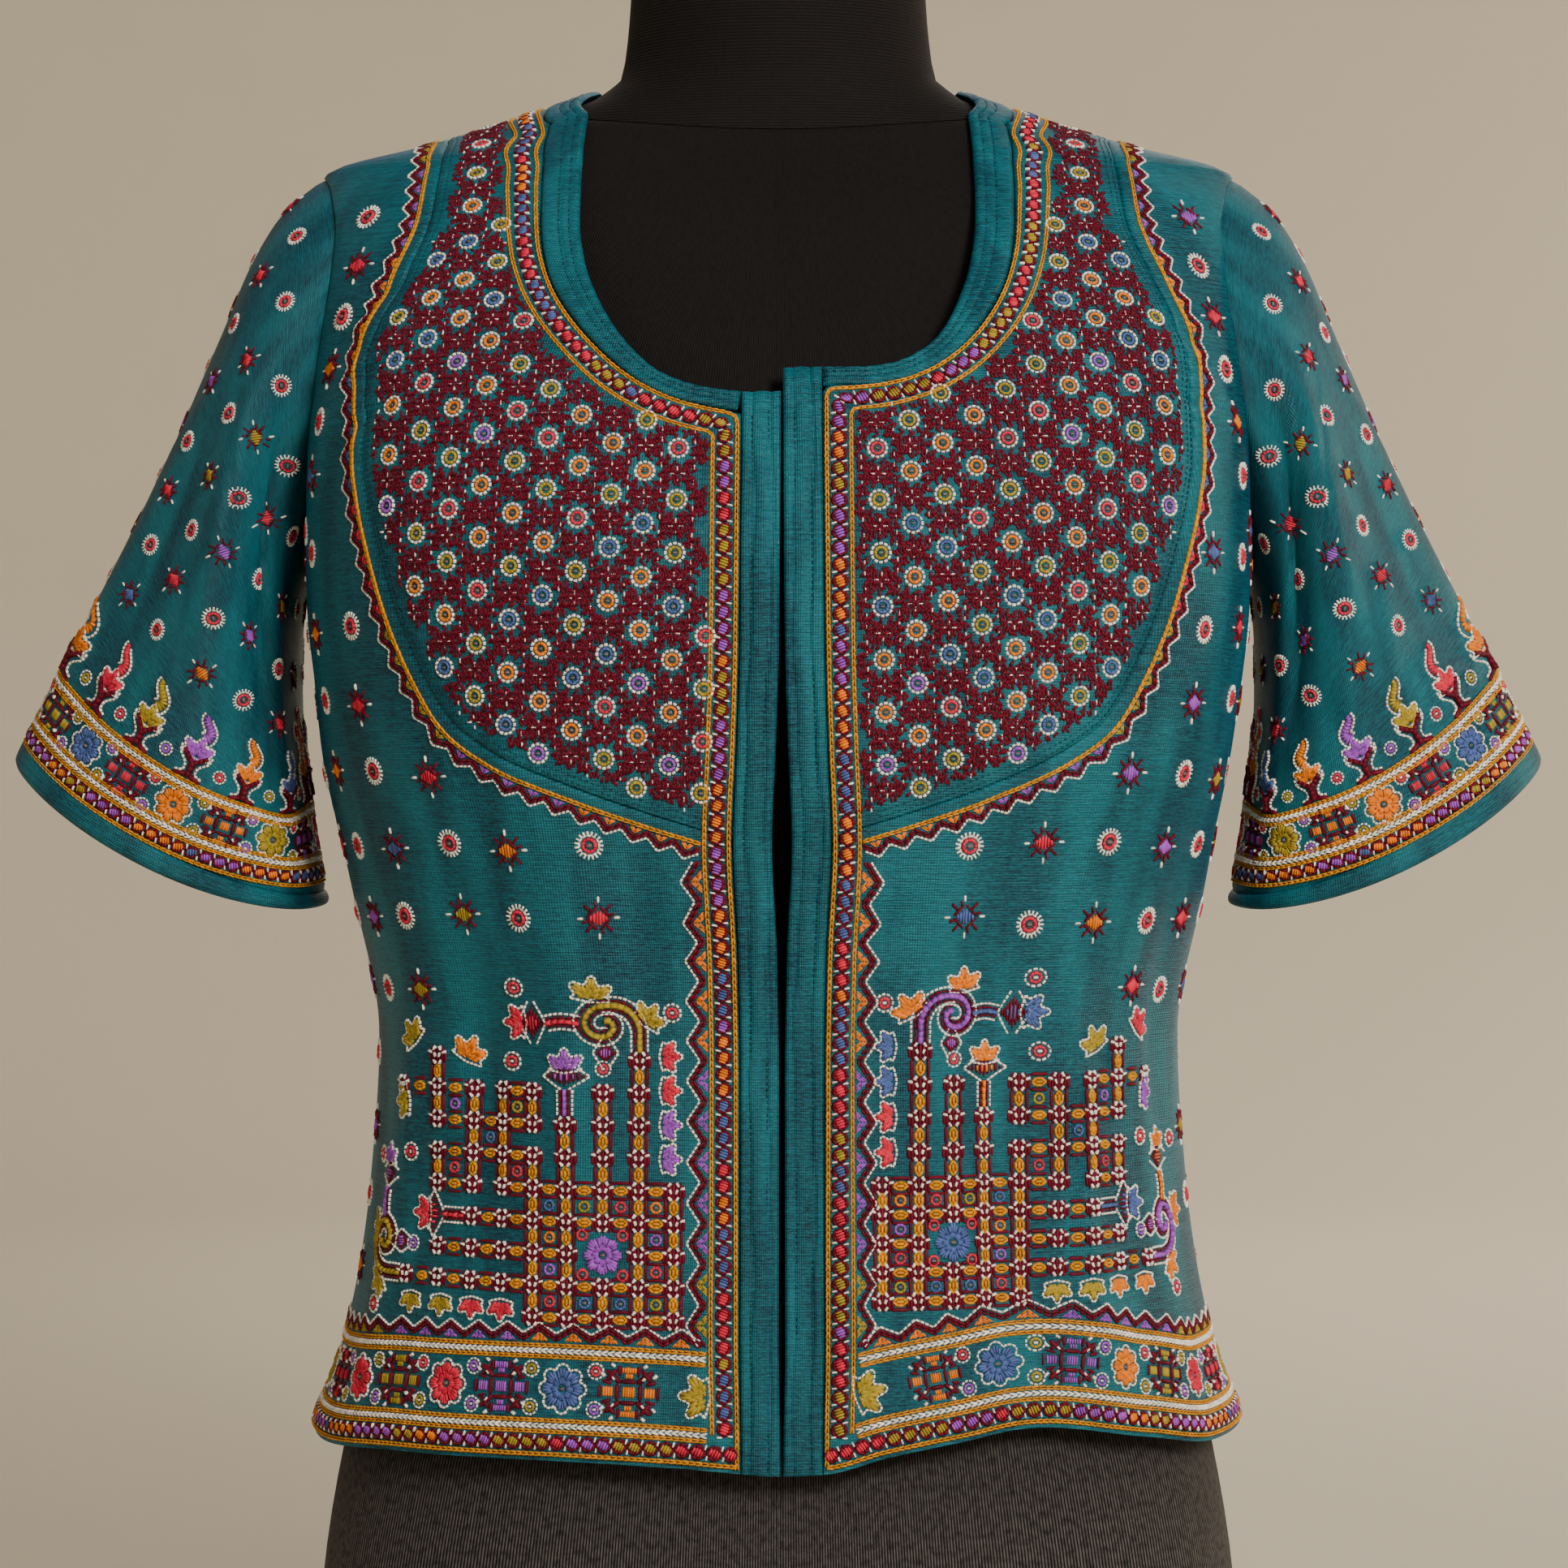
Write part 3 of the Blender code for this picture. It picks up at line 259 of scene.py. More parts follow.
HEM_ROWS = (
    (-180.0, 0.002), (-120.0, 0.002), (-90.0, -0.003), (-80.0, -0.004), (-60.0, 0.0), (-35.0, 0.0016),
    (-15.0, 0.0003), (0.0, -0.0022), (7.0, -0.0018), (18.0, 0.004), (30.0, 0.009), (42.0, 0.013),
    (59.0, 0.0057), (73.0, -0.0008), (90.0, 0.0), (120.0, 0.002), (180.0, 0.002),
)
SLEEVE_ROWS = table(
    SleeveRow,
    (0.0, 0.184, 0.706, 0.188, 0.565, 0.051), (0.08, 0.2, 0.6925, 0.193, 0.548, 0.055),
    (0.16, 0.2105, 0.676, 0.196, 0.533, 0.058), (0.28, 0.223, 0.647, 0.1975, 0.512, 0.059),
    (0.42, 0.2385, 0.612, 0.197, 0.489, 0.057), (0.58, 0.256, 0.574, 0.1945, 0.466, 0.053),
    (0.75, 0.276, 0.534, 0.1915, 0.444, 0.049), (0.9, 0.297, 0.495, 0.188, 0.424, 0.046),
    (1.0, 0.31, 0.469, 0.1855, 0.411, 0.044),
)
SLEEVE_FRONT_DROP = 0.015
SLEEVE_FOLDS = table(
    SleeveFold,
    (118.0, 0.34, 22.0, 0.34, 13.0, -0.0065), (88.0, 0.52, 10.0, 0.34, 14.0, 0.0035),
    (142.0, 0.62, 4.0, 0.3, 13.0, 0.0045), (52.0, 0.5, -14.0, 0.36, 14.0, -0.003),
    (28.0, 0.66, -8.0, 0.26, 13.0, 0.003), (245.0, 0.36, -20.0, 0.32, 14.0, -0.0055),
    (285.0, 0.58, -6.0, 0.32, 15.0, 0.004), (215.0, 0.62, 0.0, 0.26, 13.0, 0.003),
)
SLEEVE_CREASES = table(
    SleeveFold,
    (100.0, 0.2, 26.0, 0.1, 5.0, 0.0014), (76.0, 0.3, 22.0, 0.12, 5.0, -0.0013),
    (128.0, 0.46, 16.0, 0.12, 5.0, 0.0014), (66.0, 0.62, 10.0, 0.12, 6.0, 0.0013),
    (104.0, 0.7, -8.0, 0.12, 5.0, -0.0012), (40.0, 0.36, -18.0, 0.12, 5.0, 0.001),
    (12.0, 0.48, -12.0, 0.12, 6.0, -0.001), (260.0, 0.52, -12.0, 0.14, 6.0, -0.0014),
    (230.0, 0.28, -20.0, 0.12, 5.0, 0.0014), (300.0, 0.4, 10.0, 0.14, 6.0, 0.0012),
)


def smooth(at: Array, xs: Sequence[float], ys: Sequence[float]) -> Array:
    """Monotone cubic through the rows (xs, ys).

    Between two rows the value is the Hermite cubic whose end slopes are the harmonic means
    of the neighbouring chord slopes, and 0 where those change sign.

    Args:
        at: where to read the curve.
        xs: the rows' places, rising.
        ys: the rows' values.

    Returns:
        The curve's values at those places.
    """
    xs, ys = np.asarray(xs, float), np.asarray(ys, float)
    step = np.diff(xs)
    slope = np.diff(ys) / step
    both = slope[:-1] + slope[1:]
    inner = np.where(slope[:-1] * slope[1:] > 0, 2 * slope[:-1] * slope[1:] / np.where(both == 0, 1, both), 0)
    tangent = np.concatenate([[slope[0]], inner, [slope[-1]]])
    at = np.clip(np.asarray(at, float), xs[0], xs[-1])
    i = np.clip(np.searchsorted(xs, at, side="right") - 1, 0, len(xs) - 2)
    h = step[i]
    t = (at - xs[i]) / h
    return (
        (1 + 2 * t) * (1 - t) ** 2 * ys[i]
        + t * (1 - t) ** 2 * h * tangent[i]
        + t * t * (3 - 2 * t) * ys[i + 1]
        + t * t * (t - 1) * h * tangent[i + 1]
    )


def ease(share: Array) -> Array:
    """The smooth step 3t^2 - 2t^3, with t held between 0 and 1."""
    t = np.clip(share, 0, 1)
    return t * t * (3 - 2 * t)


def run_length(points: Array) -> Array:
    """How far along a run of points each of them lies, from 0."""
    return np.concatenate([[0], np.cumsum(np.linalg.norm(np.diff(points, axis=0), axis=1))])


def unit(vectors: Array) -> Array:
    """The vectors, made one long."""
    return vectors / np.maximum(np.linalg.norm(vectors, axis=-1, keepdims=True), 1e-12)


def blurred(values: Array, reach: int) -> Array:
    """The running mean over this many values to each side, the ends held."""
    return np.convolve(
        np.pad(values, reach, mode="edge"), np.ones(2 * reach + 1) / (2 * reach + 1), mode="valid"
    )


def columns_at(rows: Sequence, names: Sequence[str], key: str, at: Array) -> list[Array]:
    """Reads several columns of a table of rows as smooth curves of its key column."""
    keys = [getattr(row, key) for row in rows]
    return [smooth(at, keys, [getattr(row, name) for row in rows]) for name in names]


class Surface(ABC):
    """A cloth's inner face as a function of two parameters."""

    orientation: float = 1.0
    step_u: float = 1e-4
    step_v: float = 1e-4

    @abstractmethod
    def point(self, u: Array, v: Array) -> Array:
        """Points of the inner face at the parameters."""

    @abstractmethod
    def cut(self, u: Array, v: Array) -> Array:
        """Places on the flat cut piece, in metres, for the weave's UV map."""

    def tangents(self, u: Array, v: Array) -> tuple[Array, Array]:
        """How the point moves for each unit of u and of v, by central differences."""
        du, dv = self.step_u, self.step_v
        along_u = (self.point(u + du, v) - self.point(u - du, v)) / (2 * du)
        along_v = (self.point(u, v + dv) - self.point(u, v - dv)) / (2 * dv)
        return along_u, along_v

    def normal(self, u: Array, v: Array) -> Array:
        """Unit normal away from the wearer: the tangents' cross product."""
        along_u, along_v = self.tangents(u, v)
        return unit(np.cross(along_u, along_v)) * self.orientation


def wrapped(rows: Sequence[Section], theta: Array, height: Array, out: Array) -> Array:
    """Points of a wrapped body.

    Each section is a rounded rectangle, (|sin|/half_width)^n + (|cos|/depth)^n = r^-n,
    with the radius r grown by out.

    Args:
        rows: the body's sections.
        theta: angle round the body, 0 at the front.
        height: height above the floor.
        out: how much the radius grows.

    Returns:
        The points, in metres.
    """
    names = ("half_width", "front", "back", "middle", "squareness")
    half_width, front, back, middle, square = columns_at(rows, names, "height", height)
    sine, cosine = np.sin(theta), np.cos(theta)
    depth = np.where(cosine > 0, front, back)
    radius = ((np.abs(sine) / half_width) ** square + (np.abs(cosine) / depth) ** square) ** (-1 / square)
    radius = radius + out
    return np.stack([radius * sine, middle - radius * cosine, height], axis=-1)


class BodyCloth(Surface):
    """The body of the blouse: u is the angle round it, v the height."""

    def folds(self, theta: Array, height: Array) -> Array:
        """The sum of the folds: each is a Gaussian hump along and across its own leaning line."""
        total = np.zeros(np.broadcast(theta, height).shape)
        for fold in BODY_FOLDS + BODY_CREASES:
            turn = (theta - math.radians(fold.theta_deg) + math.pi) % (2 * math.pi) - math.pi
            across, up = turn * BODY_RADIUS, height - fold.height
            lean = math.radians(fold.lean_deg)
            along = up * math.cos(lean) + across * math.sin(lean)
            aside = across * math.cos(lean) - up * math.sin(lean)
            total = total + fold.out * np.exp(-((along / fold.along) ** 2) - (aside / fold.across) ** 2)
        return total

    def flare(self, theta: Array, height: Array) -> Array:
        """The hem stands out beside the side slits, most at the back's edge."""
        turn = np.abs((theta + math.pi) % (2 * math.pi) - math.pi)
        near = ((turn - SLIT_FLARE_ANGLE) / SLIT_FLARE_REACH) ** 2
        return SLIT_FLARE * np.exp(-near) * slit_share(height) ** 2

    def point(self, u: Array, v: Array) -> Array:
        """Points of the wrapped body, grown by its folds and its hem's flare."""
        u, v = np.broadcast_arrays(np.asarray(u, float), np.asarray(v, float))
        return wrapped(CLOTH_SECTIONS, u, v, self.folds(u, v) + self.flare(u, v))

    def cut(self, u: Array, v: Array) -> Array:
        """Round the body and up it."""
        return np.stack([u * BODY_RADIUS, v], axis=-1)


class SleeveCloth(Surface):
    """A sleeve: u is the turn round it, v the share of its length from the armhole."""

    step_u = 1e-3
    step_v = 1e-3

    def __init__(self, side: int, body: BodyCloth):
        """Keeps the side, 1 for the left, and the body that carries the armhole."""
        self.side = side
        self.body = body
        self.orientation = float(side)

    def folds(self, turn: Array, along: Array) -> Array:
        """The sum of the folds: Gaussian humps whose lines drift round the sleeve."""
        total = np.zeros(np.broadcast(turn, along).shape)
        for fold in SLEEVE_FOLDS + SLEEVE_CREASES:
            centre = fold.turn_deg + fold.slant * (along - fold.along) / fold.along_reach
            aside = (np.degrees(turn) - centre + 180) % 360 - 180
            reach = ((along - fold.along) / fold.along_reach) ** 2
            total = total + fold.out * np.exp(-((aside / fold.turn_reach) ** 2) - reach)
        return total * np.clip(along / 0.15, 0, 1) * np.clip((1.08 - along) / 0.25, 0, 1)

    def tube(self, turn: Array, along: Array) -> Array:
        """Left sleeve: ovals between the outer and the inner rail, their fronts a little lower."""
        names = ("outer_x", "outer_z", "inner_x", "inner_z", "half_depth")
        outer_x, outer_z, inner_x, inner_z, half_depth = columns_at(SLEEVE_ROWS, names, "along", along)
        half = np.hypot(outer_x - inner_x, outer_z - inner_z) / 2
        across_x, across_z = (outer_x - inner_x) / (2 * half), (outer_z - inner_z) / (2 * half)
        out = self.folds(turn, along)
        cosine, sine = np.cos(turn), np.sin(turn)
        reach, depth = (half + out) * cosine, (half_depth + out) * sine
        drop = SLEEVE_FRONT_DROP * along**3 * np.clip(sine, 0, 1) ** 1.5
        middle_y = columns_at(CLOTH_SECTIONS, ("middle",), "height", np.array(SHOULDER_TIP_HEIGHT))[0]
        x = (outer_x + inner_x) / 2 + reach * across_x
        z = (outer_z + inner_z) / 2 + reach * across_z - drop
        return np.stack([x, middle_y - depth, z], axis=-1)

    def point(self, u: Array, v: Array) -> Array:
        """The tube, with its first stretch eased onto the body's armhole."""
        u, v = np.broadcast_arrays(np.asarray(u, float), np.clip(np.asarray(v, float), 0, 1.05))
        start = self.body.point(*armhole(u, 1))
        left = self.tube(u, v) + (start - self.tube(u, np.zeros_like(v))) * (1 - ease(v / 0.22))[..., None]
        left[..., 0] *= self.side
        return left

    def cut(self, u: Array, v: Array) -> Array:
        """Round the sleeve and down it."""
        return np.stack([u * SLEEVE_RADIUS, v * SLEEVE_LENGTH], axis=-1)


def slit_share(height: Array) -> Array:
    """How far down a side slit a height lies: 0 at its top, 1 at the hem."""
    return np.clip((SLIT_TOP - height) / (SLIT_TOP - HEM_HEIGHT), 0, 1)


def theta_of(x: Array, height: Array) -> Array:
    """The angle of the front point that lies this far from the centre at this height."""
    half_width, front, square = columns_at(
        CLOTH_SECTIONS, ("half_width", "front", "squareness"), "height", height
    )
    share = np.clip(np.abs(x) / half_width, 0, 1)
    return np.arctan2(x, front * (1 - share**square) ** (1 / square))


def opening_half(height: Array) -> Array:
    """Half of the gap between the plackets at a height."""
    return smooth(height, [row[0] for row in OPENING_ROWS], [row[1] for row in OPENING_ROWS])


def placket_theta(side: int, width: Array, height: Array) -> Array:
    """The angle of a line down the front, this far out from the placket's inner edge."""
    return theta_of(CENTRE_FRONT_X + side * (opening_half(height) + width), height)


def hem_height(theta: Array) -> Array:
    """Height of the lower edge at an angle."""
    degrees = (np.degrees(theta) + 180) % 360 - 180
    return HEM_HEIGHT + smooth(degrees, [row[0] for row in HEM_ROWS], [row[1] for row in HEM_ROWS])


def armhole(turn: Array, side: int) -> tuple[Array, Array]:
    """Angle and height of the armhole seam, an oval seen from the side; turn is 0 at the shoulder."""
    turn = np.asarray(turn, float)
    middle = (SHOULDER_TIP_HEIGHT + ARMPIT_HEIGHT) / 2
    height = middle + (SHOULDER_TIP_HEIGHT - ARMPIT_HEIGHT) / 2 * np.cos(turn)
    to_front = np.sin(turn) >= 0
    offset = np.abs(np.sin(turn)) * np.where(to_front, ARMHOLE_FRONT_DEPTH, ARMHOLE_BACK_DEPTH)
    names = ("half_width", "front", "back", "squareness")
    half_width, front, back, square = columns_at(CLOTH_SECTIONS, names, "height", height)
    depth = np.where(to_front, front, back)
    x = half_width * (1 - np.minimum(offset / depth, 0.999) ** square) ** (1 / square)
    return side * np.arctan2(x, np.where(to_front, offset, -offset)), height


def side_theta(side: int, to_back: bool, height: Array) -> Array:
    """The angle of one edge of the side seam, which opens to the slit at its foot."""
    return side * (math.pi / 2 + (1 if to_back else -1) * SLIT_HALF_ANGLE * slit_share(height) ** 1.5)


def table_curve(rows: Sequence[tuple[float, float]], count: int) -> Array:
    """A smooth curve of count points through a table's rows, spread evenly by length."""
    points = np.array(rows, float)
    along = run_length(points)
    at = np.linspace(0, along[-1], count)
    return np.stack([smooth(at, along, points[:, c]) for c in (0, 1)], axis=1)


def neck_edge(side: int) -> Array:
    """The neckline from the placket over the shoulder to the centre back: angles and heights."""
    corner_x = CENTRE_FRONT_X * side + float(opening_half(np.array(NECK_FRONT_HEIGHT[side]))) + PLACKET_WIDTH
    points = table_curve(((corner_x, NECK_FRONT_HEIGHT[side]),) + NECKLINE_ROWS[side], 60)
    front = np.stack([theta_of(side * points[:, 0], points[:, 1]), points[:, 1]], axis=1)
    turn = np.linspace(0, 1, 60)
    rise = NECK_POINT_HEIGHT + (NECK_BACK_HEIGHT - NECK_POINT_HEIGHT) * ease(turn)
    over = np.stack([side * np.radians(90 + 90 * turn), rise], axis=1)
    last = front[-1]
    between = [(0.5 * (last[0] + over[0][0]) - side * 0.03, 0.5 * (last[1] + over[0][1]) + 0.0015)]
    rough = np.concatenate([front, between, over])
    along = np.arange(len(rough), dtype=float)
    return np.stack(
        [np.interp(np.linspace(0, len(rough) - 1, 241), along, rough[:, c]) for c in (0, 1)], axis=1
    )


def chest_seam(side: int) -> Array:
    """The rounded seam from the shoulder to the placket's outer edge: angles and heights."""
    points = table_curve(CHEST_SEAM_ROWS, 120)
    curve = np.stack([theta_of(side * points[:, 0], points[:, 1]), points[:, 1]], axis=1)
    top = np.array([[side * math.pi / 2, CHEST_SEAM_SHOULDER_HEIGHT]])
    near_top = np.array([[0.5 * (top[0][0] + curve[0][0]), 0.76 * top[0][1] + 0.24 * curve[0][1]]])
    end_height = np.array(CHEST_SEAM_PLACKET_HEIGHT)
    end = np.array([[float(placket_theta(side, PLACKET_WIDTH, end_height)), CHEST_SEAM_PLACKET_HEIGHT]])
    return np.concatenate([top, near_top, curve, end])


class Line:
    """A curve on a surface, with the direction on the cloth that runs square to it."""

    def __init__(self, surface: Surface, u: Array, v: Array, towards: tuple[float, float]):
        """Measures the curve and finds its sideways direction.

        Args:
            surface: the cloth that it lies on.
            u: its first parameters.
            v: its second parameters.
            towards: a rough direction in the two parameters for its positive side.
        """
        self.surface = surface
        points = surface.point(u, v)
        length = run_length(points)
        self.length = float(length[-1])
        count = max(int(self.length / 0.0015), 8)
        self.d = np.linspace(0, self.length, count)
        self.u = np.interp(self.d, length, u)
        self.v = np.interp(self.d, length, v)
        along_u, along_v = surface.tangents(self.u, self.v)
        step = unit(np.gradient(surface.point(self.u, self.v), axis=0))
        aside = unit(np.cross(unit(np.cross(along_u, along_v)), step))
        uu, uv, vv = (
            np.sum(a * b, axis=1) for a, b in ((along_u, along_u), (along_u, along_v), (along_v, along_v))
        )
        pu, pv = np.sum(along_u * aside, axis=1), np.sum(along_v * aside, axis=1)
        det = uu * vv - uv * uv
        side_u, side_v = (vv * pu - uv * pv) / det, (uu * pv - uv * pu) / det
        sign = np.sign(np.sum(side_u * towards[0] * np.sqrt(uu) + side_v * towards[1] * np.sqrt(vv)))
        self.side_u, self.side_v = (blurred(part * sign, 4) for part in (side_u, side_v))

    def at(self, d: Array, out: Array) -> tuple[Array, Array]:
        """Parameters of the points at distances along the line and out from it."""
        d = np.clip(d, 0, self.length)
        u = np.interp(d, self.d, self.u) + out * np.interp(d, self.d, self.side_u)
        v = np.interp(d, self.d, self.v) + out * np.interp(d, self.d, self.side_v)
        return u, v


class Places(ABC):
    """Where copies of a motif go: each has its own small sideways and upward axes."""

    count: int

    @abstractmethod
    def at(self, a: Array, b: Array) -> tuple[Array, Array]:
        """Parameters of offsets (a, b), one row for each place."""


class OnLine(Places):
    """Places along a line: a runs along it, b out from it."""

    def __init__(self, line: Line, d: Array, out: float):
        """Keeps the distances along the line and the one distance out."""
        self.line, self.d, self.out = line, np.atleast_1d(d), out
        self.count = len(self.d)

    def at(self, a: Array, b: Array) -> tuple[Array, Array]:
        """Offsets added to the line's own distances."""
        return self.line.at(self.d[:, None] + a, self.out + b)


class OnCloth(Places):
    """Places anywhere on a surface: a runs level, b square to it, both in real metres."""

    def __init__(self, surface: Surface, u: Array, v: Array):
        """Works out each place's small axes from the surface's tangents."""
        self.u, self.v = np.atleast_1d(u), np.atleast_1d(v)
        self.count = len(self.u)
        along_u, along_v = surface.tangents(self.u, self.v)
        self.len_u = np.linalg.norm(along_u, axis=1)
        level = along_u / self.len_u[:, None]
        self.skew = np.sum(along_v * level, axis=1)
        self.len_v = np.linalg.norm(along_v - self.skew[:, None] * level, axis=1)

    def at(self, a: Array, b: Array) -> tuple[Array, Array]:
        """Solves the two offsets for steps of the two parameters."""
        dv = b / self.len_v[:, None]
        du = (a - dv * self.skew[:, None]) / self.len_u[:, None]
        return self.u[:, None] + du, self.v[:, None] + dv


class Floss(Enum):
    """The embroidery threads, by colour. MAIN stands for a colour chosen at each place."""

    GOLD = "#d48f0e"
    WHITE = "#f8f2e6"
    MAROON = "#62031e"
    CORAL = "#d62c46"
    ORANGE = "#ea7f10"
    OLIVE = "#a8902a"
    PURPLE = "#9c50bc"
    SLATE = "#4f639c"
    GREY = "#6a6664"
    TEAL = "#063e48"
    MAIN = "#000000"


FLOSSES = list(Floss)
GOLD, WHITE, MAROON, CORAL, ORANGE, OLIVE, PURPLE, SLATE, GREY, TEAL, MAIN = FLOSSES
BRIGHT = (ORANGE, OLIVE, SLATE, PURPLE, CORAL)


def linear(hex_colour: str) -> tuple[float, float, float]:
    """Turns an sRGB hex colour to linear red, green and blue."""
    parts = [int(hex_colour[i : i + 2], 16) / 255 for i in (1, 3, 5)]
    return tuple(c / 12.92 if c <= 0.04045 else ((c + 0.055) / 1.055) ** 2.4 for c in parts)


FLOSS_COLOURS = np.array([linear(floss.value) for floss in FLOSSES])


def beside(x: Array, z: Array, out: Array) -> tuple[Array, Array]:
    """A curve moved sideways: each point goes out along the curve's own normal."""
    dx, dz = np.gradient(x), np.gradient(z)
    size = np.maximum(np.hypot(dx, dz), 1e-9)
    return x - dz / size * out, z + dx / size * out


@dataclass
class Chart:
    """Stitches of one motif: starts, ends, widths and heights in metres, and threads."""

    rows: list[Array] = field(default_factory=list)

    def add(self, a0, b0, a1, b1, width, height, floss: Floss) -> "Chart":
        """Adds stitches; each value is one number or an array of the same length."""
        parts = np.broadcast_arrays(a0, b0, a1, b1, width, height, float(FLOSSES.index(floss)))
        self.rows.append(np.stack([np.atleast_1d(np.asarray(part, float)) for part in parts], axis=1))
        return self

    def run(self, x: Array, z: Array, pitch: float, width: float, floss: Floss, fill: float = 1.1) -> "Chart":
        """Adds stitches one after another along a curve.

        Args:
            x: the curve's sideways places.
            z: its upward places.
            pitch: the distance from one stitch to the next.
            width: the thread's width.
            floss: the thread.
            fill: the share of the pitch that each stitch takes, under 1 for a dotted line.

        Returns:
            This chart.
        """
        length = np.concatenate([[0], np.cumsum(np.hypot(np.diff(x), np.diff(z)))])
        count = max(round(float(length[-1]) / pitch), 1)
        at = np.linspace(0, length[-1], count + 1)
        px, pz = np.interp(at, length, x), np.interp(at, length, z)
        mx, mz = (px[:-1] + px[1:]) / 2, (pz[:-1] + pz[1:]) / 2
        hx, hz = np.diff(px) * fill / 2, np.diff(pz) * fill / 2
        return self.add(mx - hx, mz - hz, mx + hx, mz + hz, width, 0.6 * width, floss)

    def dotted(self, x: Array, z: Array) -> "Chart":
        """Adds a line of white grains along a curve."""
        return self.run(x, z, 0.00175, 0.00115, WHITE, 0.8)

    def ring(self, radius: float, count: int, length: float, width: float, floss: Floss) -> "Chart":
        """Adds stitches laid end to end round a circle."""
        turn = np.arange(count) * 2 * math.pi / count
        x, z = radius * np.cos(turn), radius * np.sin(turn)
        dx, dz = -np.sin(turn) * length / 2, np.cos(turn) * length / 2
        return self.add(x - dx, z - dz, x + dx, z + dz, width, 0.6 * width, floss)

    def rays(
        self, inner: float, outer: float, count: int, width: float, floss: Floss, phase: float = 0.0
    ) -> "Chart":
        """Adds stitches that point away from the middle."""
        turn = math.radians(phase) + np.arange(count) * 2 * math.pi / count
        c, s = np.cos(turn), np.sin(turn)
        return self.add(inner * c, inner * s, outer * c, outer * s, width, 0.6 * width, floss)

    def knot(self, a: float, b: float, size: float, floss: Floss) -> "Chart":
        """Adds one round knot."""
        return self.add(a - 0.55 * size, b, a + 0.55 * size, b, size, 0.55 * size, floss)

    def moved(self, a: float, b: float, turn_deg: float = 0.0, scale: float = 1.0) -> "Chart":
        """A copy, scaled, turned and then shifted."""
        rows = self.all().copy()
        c, s = math.cos(math.radians(turn_deg)) * scale, math.sin(math.radians(turn_deg)) * scale
        for i in (0, 2):
            x, z = rows[:, i].copy(), rows[:, i + 1].copy()
            rows[:, i], rows[:, i + 1] = c * x - s * z + a, s * x + c * z + b
        rows[:, 4:6] *= scale
        return Chart([rows])

    def flipped(self, swap: bool, side: int) -> "Chart":
        """A copy with its two axes exchanged if swap, and mirrored for the right side."""
        rows = self.all().copy()
        for i in (0, 2):
            x, z = rows[:, i].copy(), rows[:, i + 1].copy()
            rows[:, i], rows[:, i + 1] = (z, x) if swap else (x, z)
            rows[:, i] *= side
        return Chart([rows])

    def recoloured(self, floss: Floss) -> "Chart":
        """A copy with its main thread replaced."""
        rows = self.all().copy()
        rows[rows[:, 6] == FLOSSES.index(MAIN), 6] = FLOSSES.index(floss)
        return Chart([rows])

    def with_chart(self, other: "Chart") -> "Chart":
        """Adds another chart's stitches."""
        self.rows.extend(other.rows)
        return self

    def all(self) -> Array:
        """Every stitch as one array."""
        return np.concatenate(self.rows)


